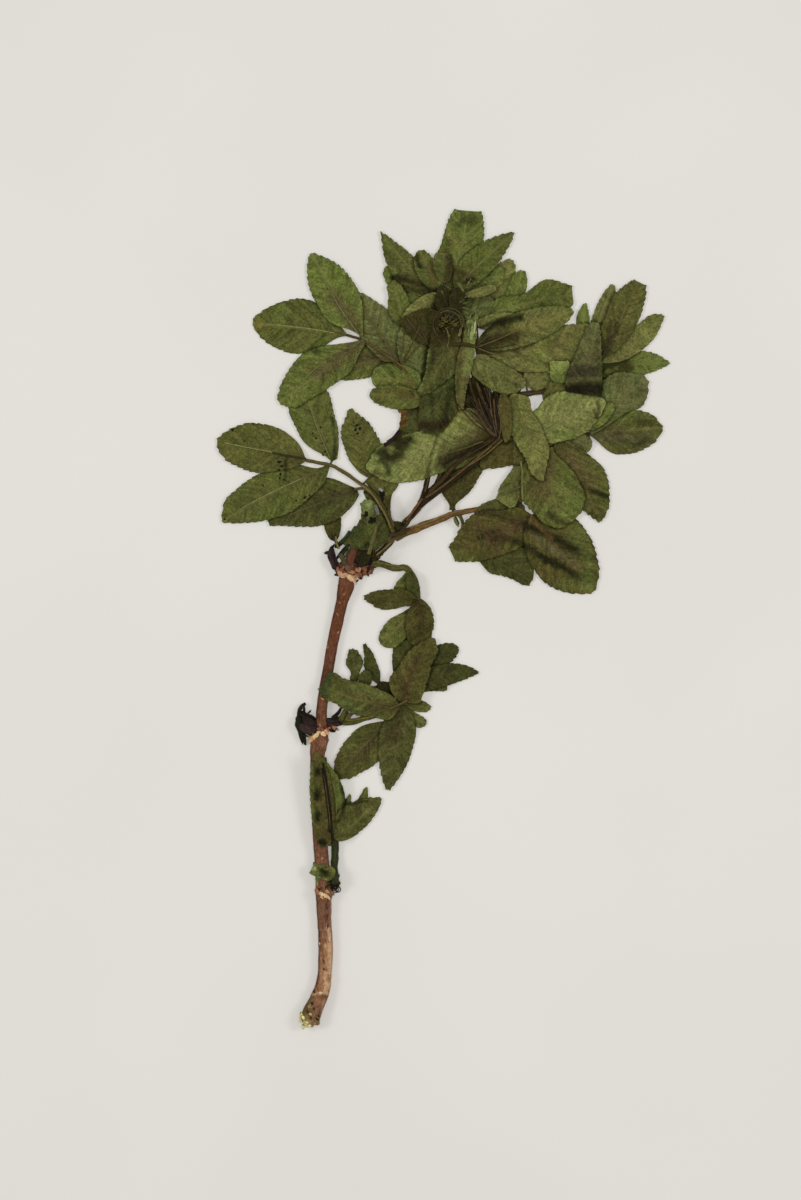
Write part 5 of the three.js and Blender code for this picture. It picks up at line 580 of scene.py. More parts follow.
# Thin strands that lie on top, some of the pale ones painted highlights along the stalks they lie on: node,
# points x, y ..., radius, tone.
THREADS_AND_HIGHLIGHTS = [
    ["leaf_e", [-15.4, 69.2, -17.4, 67.4, -19.4, 65.8, -21.8, 63.6], 0.6, (48, 28, 24)],
    ["leaf_e", [-16.4, 69.6, -18.4, 67, -20.8, 65.2], 0.4, (34, 22, 18)],
    ["leaf_b", [-13.6, 111, -10, 106.4, -6.6, 102.6], 0.2, (84, 68, 52)],
    ["leaf_b", [-9.6, 111.6, -8, 107, -6, 102.2], 0.2, (76, 62, 46)],
    ["shoot", [-20.6, 27.8, -18.4, 29, -16.2, 29.8, -13.6, 30.8], 0.6, (88, 74, 36)],
    ["shoot", [-20, 30.4, -17.6, 30.6, -15.2, 31.6, -12.4, 32.8], 0.75, (70, 56, 28)],
    ["leaf_a", [-81.5, 64.9, -73, 63.2, -63.5, 61.4], 0.22, (138, 136, 78)],
    ["leaf_a", [-63.5, 61.2, -58, 60, -51, 58.9], 0.32, (58, 48, 26)],
    ["leaf_a", [-75, 40.6, -64, 46.4, -53, 51.4], 0.2, (134, 136, 84)],
    ["leaf_a", [-49.6, 78.4, -47.4, 72, -44.6, 65, -42.2, 59.4], 0.2, (126, 130, 78)],
    ["leaf_b", [-66, 109.2, -54, 108, -46, 106.8, -40.4, 105.8], 0.22, (134, 134, 80)],
    ["leaf_b", [-45.4, 127.6, -41.6, 120.8, -37.4, 113.6, -33, 107.4, -31.4, 105], 0.22, (120, 120, 74)],
    ["leaf_b", [-52.6, 87.4, -48.6, 91.6, -45, 94.6], 0.2, (120, 122, 70)],
    # the next two strands are painted highlights along the bundle's stalks
    ["shoot", [-13.6, 36, -10, 40.8, -7.8, 44], 0.35, (108, 76, 44)],
    ["shoot", [-6.4, 44.4, 0, 48.8, 6, 53.6, 12, 58.6, 18, 63.6], 0.35, (90, 72, 40)],
    ["shoot", [-6.8, 46.4, -6, 49.4, -5.2, 53], 0.3, (84, 66, 38)],
    ["shoot", [2, 61, 8.5, 63, 15, 65.4], 0.3, (88, 80, 42)],
    ["shoot", [9, 56, 16, 60.6, 22, 65.8], 0.35, (90, 80, 42)],
    ["shoot", [9, 58, 15, 61.6, 21, 66.6], 0.3, (84, 68, 34)],
    ["shoot", [4.4, 56.2, 11, 61, 19, 66], 0.3, (66, 50, 26)],
    ["shoot", [0.6, 57, 7, 60.6, 15, 64.4], 0.45, (40, 32, 16)],
    ["shoot", [11.6, 77, 14.6, 72.4, 17, 69, 19.2, 67.4], 0.35, (84, 68, 34)],
    ["shoot", [13, 81.4, 15.2, 75, 18.2, 69.4], 0.3, (70, 56, 28)],
    ["shoot", [10.2, 86.4, 12, 80, 15, 73.4], 0.3, (60, 46, 26)],
    ["shoot", [18.8, 81, 19.4, 74, 20.2, 69], 0.35, (84, 66, 34)],
    ["leaf_d", [13, 100.5, 19, 102.8, 28, 106.8], 0.22, (102, 90, 54)],
    ["leaf_d", [13, 100, 18, 98.2, 25, 97.2, 32, 97.4], 0.25, (108, 94, 56)],
    ["leaf_d", [12.8, 101.2, 17, 104.6, 24, 107.6], 0.2, (84, 72, 46)],
    ["leaf_d", [13.2, 100.4, 20, 100.2, 27, 101.6], 0.2, (58, 46, 26)],
    ["leaf_e", [3.4, 101.2, 8, 101.3, 12.8, 100.4], 0.7, (62, 54, 27)],
    ["leaf_b", [-14.6, 94, -10.4, 99.4, -6.2, 103], 0.25, (80, 70, 36)],
    ["leaf_b", [-15, 94.6, -11.4, 102, -8.4, 109], 0.25, (76, 68, 34)],
    ["leaf_b", [-16, 94.8, -15, 101, -14.4, 107], 0.22, (80, 74, 38)],
    ["leaf_b", [-29, 102.6, -22.4, 98.2, -16.6, 94.2, -13, 90.6], 0.4, (92, 76, 40)],
    ["leaf_b", [-27, 101, -20.4, 96.4, -15.4, 92], 0.35, (78, 66, 34)],
    ["leaf_e", [5.9, 104.4, 6.4, 106.6, 7.2, 109], 0.4, (124, 124, 68)],
    ["leaf_e", [1.4, 100, 2.2, 103.4, 1.4, 107], 0.25, (104, 92, 58)],
    ["leaf_l", [28.8, 58, 29.4, 54, 29.3, 48, 29.5, 43.6], 0.4, (108, 108, 60)],
    ["leaf_l", [21.8, 45.4, 25, 46.8, 28.6, 48.4], 0.4, (84, 94, 50)],
    ["leaf_l", [4.6, 37.4, 5.4, 36, 5.8, 34.4], 0.28, (56, 48, 22)],
    ["leaf_l", [6.6, 38, 7.2, 36.4, 6.9, 34.8], 0.25, (70, 62, 30)],
    # the next two strands are painted highlights along the stalks of leaf_l and leaf_a
    ["leaf_l", [-14, 32.6, -5, 35.6, 2, 38.4, 8, 39.8], 0.4, (128, 102, 56)],
    ["leaf_a", [-19.4, 33, -21.2, 37.4, -24, 42.2, -27.4, 46.8, -33, 50.8], 0.4, (110, 100, 56)],
    ["leaf_a", [-18.4, 32.6, -20, 37, -22.6, 42, -25.6, 46.2], 0.3, (74, 64, 32)],
    ["leaf_m", [-23.9, 47.9, -23.2, 47.4, -22.5, 46.9], 0.6, (146, 144, 134)],
    ["leaf_m", [-25.3, 41.6, -24.6, 39.8, -24, 38], 0.8, (112, 106, 92)],
    ["leaf_m", [-24.8, 22.9, -21.2, 26, -17, 29.9], 0.35, (108, 98, 50)],
    ["leaf_o", [-38.3, 23.4, -37.2, 21.4, -36.4, 19.4], 0.9, (84, 76, 46)],
    ["leaf_o", [-38, 22.4, -36.6, 24.6, -35, 27], 0.6, (44, 48, 26)],
    ["leaf_o", [-37, 21.6, -35.9, 23.4, -34.9, 25.2], 0.4, (66, 72, 38)],
    ["leaf_o", [-39.9, 30, -39.6, 27.6, -38.8, 25.4], 0.35, (116, 112, 62)],
    ["leaf_o", [-38.2, 27.6, -36.6, 29, -34.6, 31.8], 0.7, (44, 52, 28)],
    ["leaf_m", [-19.6, 45.4, -20.2, 41.4, -19.8, 37.4, -18.2, 33.6], 0.55, (74, 66, 34)],
    ["leaf_m", [-27.6, 23.4, -26.2, 28.4, -24.8, 33.6], 0.8, (96, 90, 50)],
    ["leaf_f", [-24.6, 20.4, -20, 19.4, -16, 18.9], 0.35, (104, 100, 48)],
    ["leaf_g", [-35.6, -38.4, -31, -37.8, -26, -37], 0.35, (112, 106, 44)],
    ["leaf_g", [-20, -34.2, -16.4, -32.6, -13.4, -31], 0.3, (96, 86, 46)],
    ["leaf_h", [-44.6, -54, -43.2, -62, -41.9, -72, -41.2, -83], 0.45, (24, 22, 12)],
    ["leaf_h", [-45, -56, -44, -63, -42.8, -72, -42.2, -80], 0.3, (30, 26, 14)],
    ["leaf_h", [-44.2, -58, -43.4, -64, -42.4, -72, -41.8, -79], 0.28, (92, 76, 44)],
]

# The bark's colour from the cut end to the top node: y and tone.
BARK_TONES = [
    [-151, 138, 110, 74], [-147, 108, 78, 48], [-143, 124, 88, 58], [-133, 148, 108, 76],
    [-128, 144, 104, 73], [-122, 136, 96, 66], [-116, 118, 82, 60], [-110, 112, 77, 55],
    [-100, 118, 82, 58], [-90, 114, 76, 54], [-50, 110, 74, 50], [-46, 122, 80, 56], [-38, 104, 66, 45],
    [-20, 88, 54, 33], [-10, 104, 62, 40], [0, 98, 58, 35], [12, 104, 64, 41], [18, 98, 62, 42],
    [22, 112, 70, 50], [26, 108, 70, 50],
]
PEELED_AT = -129        # the height of the pale, peeled side

# Scuffs, peeled strips and dark edges of the stem, the edges partly painted shade along its sides, and a
# painted shadow under the pale ring at the cut end: points x, y ..., half width, strength, tone.
SCUFFS_AND_SHADE = [
    [[-42.9, -105, -42.8, -115.6], 0.7, 0.6, (100, 62, 46)],
    [[-41.8, -106, -41.7, -116], 0.35, 0.7, (176, 144, 118)],
    [[-42.5, -116, -42, -127, -42.4, -138], 0.8, 0.9, (206, 168, 134)],
    [[-43.9, -122, -43.6, -130], 0.45, 0.6, (190, 146, 106)],
    [[-43.7, -132.4, -43.9, -138.8], 0.8, 0.75, (204, 166, 130)],
    [[-46.6, -118, -46.7, -128, -47, -136], 0.8, 0.75, (88, 58, 42)],
    [[-45.6, -121, -45.4, -124], 0.4, 0.6, (70, 44, 32)],
    [[-44.8, -117, -44.6, -119.6], 0.4, 0.5, (176, 128, 92)],
    [[-45.2, -127, -45.4, -131], 0.5, 0.5, (170, 124, 90)],
    [[-46.2, -134, -47.2, -138.6], 0.7, 0.55, (96, 62, 42)],
    [[-45.4, -134.6, -46.2, -138.8], 0.5, 0.5, (180, 128, 92)],
    [[-48.6, -140.2, -45, -139.8, -42, -140.3], 0.5, 0.85, (206, 168, 128)],
    # a painted shadow under the pale ring edge
    [[-48.6, -141.2, -45, -141, -42.4, -141.4], 0.4, 0.7, (96, 62, 42)],
    [[-46, -142, -47.4, -147, -48.4, -149.6], 1.3, 0.6, (140, 94, 70)],
    [[-44, -142.6, -45, -146, -46.4, -149], 0.6, 0.5, (176, 138, 110)],
    [[-49.2, -142.4, -49, -143.8], 0.7, 0.75, (100, 96, 58)],
    [[-48.7, -145.2, -48.2, -146.4], 0.7, 0.75, (96, 90, 50)],
    [[-51.6, -146.6, -51, -148.4], 0.9, 0.7, (112, 108, 58)],
    [[-47.4, -148.8, -46.6, -149.8], 0.7, 0.75, (84, 78, 42)],
    [[-49.6, -148.4, -49, -149.8], 0.6, 0.7, (90, 82, 44)],
    [[-46, -146.8, -45.6, -148.6], 0.5, 0.7, (60, 48, 30)],
    [[-50.6, -150.6, -52.6, -151.2], 0.8, 0.8, (216, 204, 142)],
    [[-50.4, -144.4, -50.8, -146], 0.5, 0.6, (70, 52, 34)],
    [[-43.1, -10, -43.8, -18], 0.7, 0.5, (120, 64, 42)],
    [[-41.2, -12, -41.9, -19], 0.5, 0.5, (112, 86, 68)], [[-40.6, 2, -41.6, -6], 0.5, 0.4, (110, 60, 38)],
    [[-38.6, 8, -39.4, 2], 0.5, 0.45, (76, 44, 28)], [[-44.3, -24, -44.9, -29.6], 0.6, 0.5, (122, 78, 56)],
    [[-46.6, -32, -46.9, -37], 0.6, 0.5, (72, 46, 32)], [[-45, -31, -45.4, -36], 0.5, 0.45, (124, 76, 52)],
    [[-48.6, -47, -48.9, -52], 0.8, 0.4, (134, 90, 66)],
    [[-44.4, -46.4, -43.4, -50], 0.7, 0.5, (150, 110, 88)],
    [[-47, -46, -46.6, -49.6], 0.9, 0.45, (96, 62, 46)],
]

# Bulges under the crumbling bark: points x, y ..., radius.
SWELLINGS = [
    [[-39.4, 18, -37.2, 16.6, -34, 16.2, -31, 16.6, -28.6, 17.6, -26.6, 18.4], 1.5],
    [[-38.2, 20, -36.8, 18.4, -34.4, 18, -31.4, 18.6, -28.8, 19.4], 1.2],
    [[-42.8, -41.6, -41.6, -41.4, -40.4, -41], 0.9],
]
SWELLING_TONE = (88, 54, 38)

# The larger pieces of torn bark, chips and scales at the nodes: x and y of root and tip, width, tone.
TORN = [
    [-39.2, 16.8, -36.8, 15, 1.6, (190, 148, 116)], [-38.6, 15.8, -36.4, 14.6, 1.2, (206, 174, 142)],
    [-37.6, 15.9, -34.6, 15.3, 1.5, (182, 140, 106)], [-35.4, 15.5, -33.2, 13.2, 2, (204, 166, 128)],
    [-34, 15.2, -32.2, 13.2, 1.6, (190, 150, 112)], [-33.3, 13.6, -32.2, 11.9, 1, (224, 192, 154)],
    [-35.4, 17, -32.6, 16.5, 1.4, (160, 114, 80)], [-32.6, 16.2, -31, 14.6, 1.3, (140, 96, 66)],
    [-31.4, 16.6, -29.8, 14.8, 1.3, (124, 80, 54)], [-29.8, 17, -28, 15.6, 1.4, (108, 68, 46)],
    [-28.4, 17.8, -26.2, 16.6, 1.3, (88, 54, 38)], [-27.4, 18.6, -25.6, 17.4, 1, (84, 48, 32)],
    [-32.4, 18, -30.8, 16.6, 1.2, (156, 112, 78)], [-30.2, 18.6, -28.6, 17, 1.1, (122, 80, 56)],
    [-39.6, 18.4, -38.6, 16.2, 1.2, (140, 98, 72)], [-38.2, 18.2, -37, 16.4, 1.3, (120, 74, 48)],
    [-41, 19.6, -40.2, 17.5, 1.5, (24, 18, 14)], [-39.9, 17.2, -38.9, 15.9, 1, (58, 34, 24)],
    [-40.4, 16, -39.6, 15.3, 0.7, (46, 28, 20)], [-31, 14.2, -29.9, 14.6, 0.9, (50, 32, 22)],
    [-32.6, 12.9, -31.4, 14, 0.8, (44, 30, 20)], [-26.2, 18.9, -25, 18.3, 1, (44, 28, 22)],
    [-24.9, 25.4, -23.6, 24.9, 1, (216, 204, 172)], [-36.3, 19.4, -34.6, 16.8, 2, (104, 74, 58)],
    [-50.4, -46.8, -48.8, -45.4, 1.2, (214, 186, 142)], [-49.4, -45.8, -47.2, -44, 1.6, (204, 158, 114)],
    [-48.4, -44.7, -46, -43.3, 1.5, (206, 190, 132)], [-47, -43, -45.4, -42.6, 1.1, (216, 174, 130)],
    [-45.3, -42.8, -43.6, -44.2, 1.5, (222, 182, 142)], [-44.2, -42, -42.6, -43.8, 1.3, (210, 164, 118)],
    [-43.6, -41.6, -42.2, -42.4, 1.1, (178, 118, 78)], [-42.8, -41.4, -41.2, -41.2, 0.9, (160, 102, 68)],
    [-50, -43.9, -47.8, -43.4, 1.2, (132, 88, 66)], [-50, -44.9, -48.6, -44.3, 0.9, (168, 120, 90)],
    [-46.8, -42, -45.4, -41, 1.2, (120, 78, 60)], [-44.2, -40.8, -42.8, -41.8, 1.2, (96, 56, 40)],
    [-45.4, -29.4, -44.2, -31, 1, (180, 126, 80)], [-47.4, -100.8, -46.2, -103, 1, (150, 106, 74)],
    [-47.3, -102.2, -45.6, -103.8, 1, (132, 90, 62)], [-46.1, -102.4, -44.2, -103.4, 1.2, (214, 182, 142)],
    [-44.7, -102.8, -42.7, -104.3, 1.4, (208, 172, 126)],
    [-43.7, -101.6, -42.2, -102.6, 1.2, (180, 140, 94)],
    [-43.1, -103.6, -41.9, -105.2, 0.9, (222, 194, 150)],
    [-42.5, -101.2, -40.7, -102.8, 1.3, (120, 88, 58)], [-41.7, -102, -40.5, -103.8, 1, (140, 104, 72)],
    [-46.9, -97.4, -46.7, -100.4, 0.7, (146, 106, 72)],
    [-45.6, -103.6, -44.4, -104.8, 0.9, (190, 146, 104)], [-48, -92, -47.6, -93.6, 1, (206, 206, 184)],
    # spikes of the green ruff round the low node
    [-47, -94.6, -49.8, -95.3, 2.2, (96, 110, 62)], [-46.4, -93, -48.4, -91.4, 1.8, (86, 100, 54)],
    [-45, -93, -43.6, -91.8, 1.6, (70, 84, 44)], [-42, -93.4, -40.2, -92.8, 1.5, (76, 90, 48)],
    [-46.4, -96.2, -46.9, -98.4, 1.8, (82, 96, 54)], [-43.6, -96.6, -42.8, -98.6, 1.8, (60, 76, 40)],
    [-41.4, -96.4, -39.9, -97.9, 1.6, (66, 80, 44)], [-44.8, -94.8, -43.4, -93, 1.6, (26, 34, 14)],
    [-44, -95.8, -42.4, -97, 1.5, (24, 30, 12)], [-45.4, -94.2, -46.2, -95.8, 1.3, (40, 50, 24)],
    # chips and pits of the cut end and the shaft
    [-49, -143, -48.6, -144.2, 0.9, (52, 40, 24)], [-48.2, -145, -47.8, -146, 0.8, (58, 44, 26)],
    [-50.8, -146, -50.2, -147.2, 0.9, (62, 50, 28)], [-49.4, -148.4, -48.8, -149.6, 0.9, (66, 52, 28)],
    [-47.2, -149, -46.4, -150, 0.9, (48, 34, 20)], [-51.4, -149, -50.6, -150, 0.8, (120, 110, 58)],
    [-46.6, -147.8, -46, -148.8, 0.8, (60, 42, 26)], [-50.2, -144.4, -49.4, -145.2, 0.8, (150, 140, 84)],
    [-49.8, -147.2, -48.6, -147.8, 0.8, (180, 164, 104)],
    [-52.4, -148.2, -51.6, -149.6, 1, (226, 212, 150)], [-51.4, -150.4, -50, -150.8, 0.9, (222, 206, 140)],
    [-48.2, -139, -47.6, -139.8, 0.8, (50, 34, 22)], [-46.2, -139.6, -44.6, -139.7, 0.7, (220, 190, 150)],
    [-47.6, -137.2, -47, -138.6, 0.7, (178, 110, 66)], [-43.4, -106.4, -43.2, -109.2, 0.5, (84, 48, 36)],
    [-43.2, -110.4, -43, -113, 0.5, (78, 44, 32)], [-42.8, -114.4, -42.9, -116, 0.5, (70, 40, 30)],
    [-44.4, -127.4, -44.3, -129, 0.45, (96, 56, 36)], [-44.4, -130.4, -44.2, -131.6, 0.5, (90, 50, 32)],
    [-46, -121, -45.8, -122, 0.5, (206, 160, 110)], [-45.8, -117, -45.9, -119, 0.4, (80, 50, 36)],
    [-42.4, -133, -42.3, -136, 0.5, (150, 96, 60)],
    # ragged scales of the middle and the top node
    [-52, -38, -51.6, -32.4, 1, (34, 30, 18)], [-53.4, -37, -55, -38.2, 1.4, (30, 36, 18)],
    [-52.6, -42, -51, -46.8, 1.4, (34, 36, 20)], [-50.4, -36, -49, -34.6, 0.8, (44, 46, 26)],
    [-42, -38.4, -38.2, -34.6, 1.2, (36, 28, 20)], [-40, -38.2, -35.6, -36, 1.1, (40, 32, 22)],
    [-41, -39.8, -37.6, -40, 1.4, (52, 36, 26)], [-49.6, -40.4, -47, -41.8, 1.2, (48, 36, 26)],
    [-53, -44, -50, -44.4, 0.9, (28, 26, 14)], [-51, -38.2, -50.2, -40, 0.5, (90, 84, 56)],
    [-40.2, 21.5, -43.6, 24.6, 1.2, (28, 30, 18)], [-40.8, 22.6, -41.6, 26.4, 1, (34, 36, 20)],
    [-39.4, 20.8, -41.4, 18.2, 1.2, (36, 30, 20)], [-24, 22.4, -22, 24, 0.9, (30, 24, 18)],
    [-27.4, 20.6, -24.2, 22.2, 1.1, (34, 24, 20)], [-33.2, 20.2, -31.4, 23.4, 0.9, (40, 28, 22)],
]

# Lines of small crumbs of bark: x and y of both ends, how many, the way they point in degrees.
CRUMBS = [
    [-39.8, 17.6, -34.2, 15.8, 30, -100], [-34, 15.6, -26.2, 17.6, 56, -70],
    [-39.4, 19.4, -35.6, 18.4, 18, -90], [-33.2, 17.8, -26.4, 19.4, 40, -64],
    [-47.6, -41.4, -43.2, -41.6, 14, -90], [-42.8, -40.6, -40.2, -41.4, 16, -60],
    [-46.6, -101, -42, -100.4, 12, -90],
]
CRUMB_TONES = [(108, 70, 48), (84, 52, 38), (136, 92, 66), (58, 38, 30), (164, 122, 90), (44, 32, 26)]

# Dark fibres at the low node, pale tufts and frayed pith at the cut end.
FIBRES_AT, FIBRES = np.array([-40.8, -99.8]), 26
FIBRE_TONES = [(34, 26, 16), (26, 20, 12), (58, 40, 26), (44, 36, 20)]
TUFTS_AT, TUFTS = np.array([-51.6, -148.6]), 44
TUFT_TONES = [(228, 214, 150), (206, 194, 126), (240, 230, 184), (140, 136, 76), (112, 104, 58)]
PITH_AT, PITH_SIDE, PITH_REACH, PITH = np.array([-49.5, -151.3]), np.array([0.97, 0.2]), 3.1, 90
PITH_TONES = [(226, 210, 140), (206, 190, 120), (236, 226, 176), (150, 140, 80)]
RIND_TONES = [(150, 112, 70), (60, 44, 24), (186, 150, 96), (92, 84, 40)]

# The dried leaf stalks that fan out where the bundle ends.
FAN_AT, FAN = np.array([20.4, 66.8]), 46
FAN_TONES = [(62, 50, 34), (38, 29, 22), (92, 78, 56), (48, 38, 26), (32, 24, 18)]

# The flower cluster: stalks that stand out from its middle, stalks that arch over them, and buds.
FLOWERS_AT = np.array([2.0, 108.6])
RAYS, ARCHES, FLOWER_BUDS = 56, 9, 36
RAY_TONES = [(104, 98, 38), (78, 74, 36), (52, 42, 24), (30, 25, 14), (90, 88, 48), (62, 56, 30)]
ARCH_TONES = [(62, 53, 28), (80, 72, 42), (50, 42, 22), (70, 64, 34), (88, 80, 49)]
FLOWER_BUD_TONES = [(96, 98, 36), (80, 80, 32), (60, 50, 24), (40, 36, 16)]

# ---------------------------------------------------------------- sizes of the build
BLADE = 0.28            # thickness of a leaflet
FLAKE_THICKNESS = 0.22
CLEAR = 0.22            # air between things that lie on each other
REST = 0.28             # how far most of the underside clears the plane
LOWEST_REST = 0.02      # the same for the lowest leaflets
STRAND_REST = 0.2       # the same for thin strands
SAG = 0.03              # how far a leaflet sinks between its supports at each pass of settling
TOOTH = 2.3             # along a leaflet's margin
VEIN_STEP = 3.3         # between side veins
CELL = 0.4              # of the height map
MAP_STEP = 0.36         # between the points of a leaflet that are added to it
MAP_X, MAP_Y = -94.0, -162.0
COLUMNS, ROWS = 470, 810


def linear(rgb):
    """An 8-bit sRGB colour as linear light."""
    c = np.asarray(rgb, float) / 255
    return np.where(c <= 0.04045, c / 12.92, ((c + 0.055) / 1.055) ** 2.4)


def mixed(tint, tone, amount):
    f = np.clip(amount, 0, 1)[:, None]
    return tint * (1 - f) + linear(tone) * f


# ---------------------------------------------------------------- curves
def heading(angle):
    return np.array([math.cos(angle), math.sin(angle)])


def spine_point(spine, t):
    a, b, c = (1 - t) * (1 - 2 * t), 4 * t * (1 - t), t * (2 * t - 1)
    return spine[0] * a + spine[2] * b + spine[4] * c, spine[1] * a + spine[3] * b + spine[5] * c


def spine_frame(spine, t):
    """Unit vectors along the spine and to its left, at each t."""
    ax, ay = spine_point(spine, t + 0.01)
    bx, by = spine_point(spine, t - 0.01)
    dx, dy = ax - bx, ay - by
    size = np.hypot(dx, dy)
    return dx / size, dy / size, -dy / size, dx / size


def half_width(half, t):
    """Half width at t: a curve through the widths in a list, or an oval."""
    if isinstance(half, list):
        w = np.array(half, float)
        slope = np.gradient(w, WIDTH_AT)
        i = np.clip(np.searchsorted(WIDTH_AT, t, side="right") - 1, 0, 5)
        span = WIDTH_AT[i + 1] - WIDTH_AT[i]
        u = (t - WIDTH_AT[i]) / span
        start = w[i] * (1 + 2 * u) * (1 - u) ** 2 + slope[i] * span * u * (1 - u) ** 2
        end = w[i + 1] * u * u * (3 - 2 * u) - slope[i + 1] * span * u * u * (1 - u)
        return np.maximum(start + end, 0)
    width, widest, roundness = half
    t = np.clip(t, 1e-6, 1 - 1e-6)
    rise = (t / widest) ** (roundness * widest)
    return width * rise * ((1 - t) / (1 - widest)) ** (roundness * (1 - widest))


def smooth_line(pairs, step):
    """Evenly spaced points on a smooth curve through x, y pairs."""
    p = np.array(pairs, float).reshape(-1, 2)
    p = np.vstack([2 * p[0] - p[1], p, 2 * p[-1] - p[-2]])
    out = []
    for k in range(1, len(p) - 2):
        for u in np.linspace(0, 1, 16, endpoint=False):
            a, b, c, d = p[k - 1], p[k], p[k + 1], p[k + 2]
            out.append(0.5 * (2 * b + (c - a) * u + (2 * a - 5 * b + 4 * c - d) * u * u
                              + (3 * b - 3 * c + d - a) * u ** 3))
    out.append(p[-2])
    out = np.array(out)
    run = np.concatenate([[0], np.cumsum(np.hypot(*np.diff(out, axis=0).T))])
    at = np.linspace(0, run[-1], max(3, int(round(run[-1] / step)) + 1))
    return np.column_stack([np.interp(at, run, out[:, 0]), np.interp(at, run, out[:, 1])])


def away_from(line, x, y):
    """How far each point is from the nearest point of the line."""
    return np.hypot(x[:, None] - line[:, 0], y[:, None] - line[:, 1]).min(axis=1)


def ripple(x, y, scale, seed):
    """Smooth noise between -1 and 1, from a seeded lattice."""
    rng = np.random.default_rng(seed)
    lattice = rng.uniform(-1, 1, (64, 64))
    u, v = np.asarray(x) / scale, np.asarray(y) / scale
    i, j = np.floor(u).astype(int), np.floor(v).astype(int)
    fu, fv = u - i, v - j
    fu, fv = fu * fu * (3 - 2 * fu), fv * fv * (3 - 2 * fv)
    near = lattice[i % 64, j % 64] * (1 - fu) + lattice[(i + 1) % 64, j % 64] * fu
    far = lattice[i % 64, (j + 1) % 64] * (1 - fu) + lattice[(i + 1) % 64, (j + 1) % 64] * fu
    return near * (1 - fv) + far * fv


def wobble(count, step, scale, seed):
    """Smooth noise along a line of points that are a step apart."""
    return ripple(np.arange(count) * step, np.zeros(count), scale, seed)


# ---------------------------------------------------------------- the pile's height map
pile = np.zeros((ROWS, COLUMNS))


def cell_of(x, y):
    return ((x - MAP_X) / CELL).astype(int), ((y - MAP_Y) / CELL).astype(int)


def height_at(x, y):
    return float(pile[int((y - MAP_Y) / CELL), int((x - MAP_X) / CELL)])


def grow(a):
    """Each cell takes the highest of itself and its neighbours."""
    p = np.pad(a, 1, mode="edge")
    rows = np.maximum(np.maximum(p[:-2], p[1:-1]), p[2:])
    return np.maximum(np.maximum(rows[:, :-2], rows[:, 1:-1]), rows[:, 2:])


def blur(a, cells):
    reach = int(3 * cells)
    weights = np.exp(-0.5 * (np.arange(-reach, reach + 1) / cells) ** 2)
    weights /= weights.sum()
    p = np.pad(a, ((reach, reach), (0, 0)))
    a = sum(w * p[k:k + a.shape[0]] for k, w in enumerate(weights))
    p = np.pad(a, ((0, 0), (reach, reach)))
    return sum(w * p[:, k:k + a.shape[1]] for k, w in enumerate(weights))


def sample(grid, x, y, x0, y0):
    """The grid's value at each point, between its cells' middles."""
    u = np.clip((x - x0) / CELL - 0.5, 0, grid.shape[1] - 1.001)
    v = np.clip((y - y0) / CELL - 0.5, 0, grid.shape[0] - 1.001)
    i, j = u.astype(int), v.astype(int)
    fu, fv = u - i, v - j
    return ((grid[j, i] * (1 - fu) + grid[j, i + 1] * fu) * (1 - fv)
            + (grid[j + 1, i] * (1 - fu) + grid[j + 1, i + 1] * fu) * fv)


def settle(x, y, lift):
    """Lays a sheet that covers the points x, y on the pile. Returns a function that gives its height."""
    passes, cells, margin = 16, 3.0, 8
    i, j = cell_of(x, y)
    i0, j0 = i.min() - margin, j.min() - margin
    i1, j1 = i.max() + margin + 1, j.max() + margin + 1
    mask = np.zeros((j1 - j0, i1 - i0))
    mask[j - j0, i - i0] = 1
    mask = grow(mask)
    below = grow(pile[j0:j1, i0:i1])
    need = np.where(below > 0, below + CLEAR, lift)
    z = need.copy()
    cover = np.maximum(blur(mask, cells), 1e-6)
    for _ in range(passes):
        z = np.where(mask > 0, np.maximum(need, blur(z * mask, cells) / cover - SAG), z)
    z = np.where(mask > 0, z, blur(z * mask, cells) / cover)
    x0, y0 = MAP_X + i0 * CELL, MAP_Y + j0 * CELL
    return lambda px, py: sample(z, px, py, x0, y0)


def settle_line(plan, radii, lift=REST):
    """Heights of a line's middle that clear what lies under it."""
    below = grow(pile)
    need = np.zeros(len(plan))
    for k, ((x, y), r) in enumerate(zip(plan, radii)):
        reach = max(1, int(round(0.7 * r / CELL)))
        i, j = int((x - MAP_X) / CELL), int((y - MAP_Y) / CELL)
        top = below[j - reach:j + reach + 1, i - reach:i + reach + 1].max()
        need[k] = (top + CLEAR if top > 0 else lift) + r
    z = need.copy()
    for _ in range(30):
        p = np.pad(z, 1, mode="edge")
        z = np.maximum(need, (p[:-2] + 2 * p[1:-1] + p[2:]) / 4 - 0.01)
    return z


def stamp_line(path, radii, flatness=1.0):
    """Adds a tube's upper side to the height map."""
    for (x, y, z), r in zip(path, radii):
        reach = int(r / CELL) + 2
        i, j = int((x - MAP_X) / CELL), int((y - MAP_Y) / CELL)
        jj, ii = np.mgrid[j - reach:j + reach + 1, i - reach:i + reach + 1]
        away = np.hypot(MAP_X + (ii + 0.5) * CELL - x, MAP_Y + (jj + 0.5) * CELL - y) - CELL / 2
        top = z + np.sqrt(np.maximum(r * r - np.maximum(away, 0) ** 2, 0)) * flatness
        pile[jj, ii] = np.where(away < r, np.maximum(pile[jj, ii], top), pile[jj, ii])


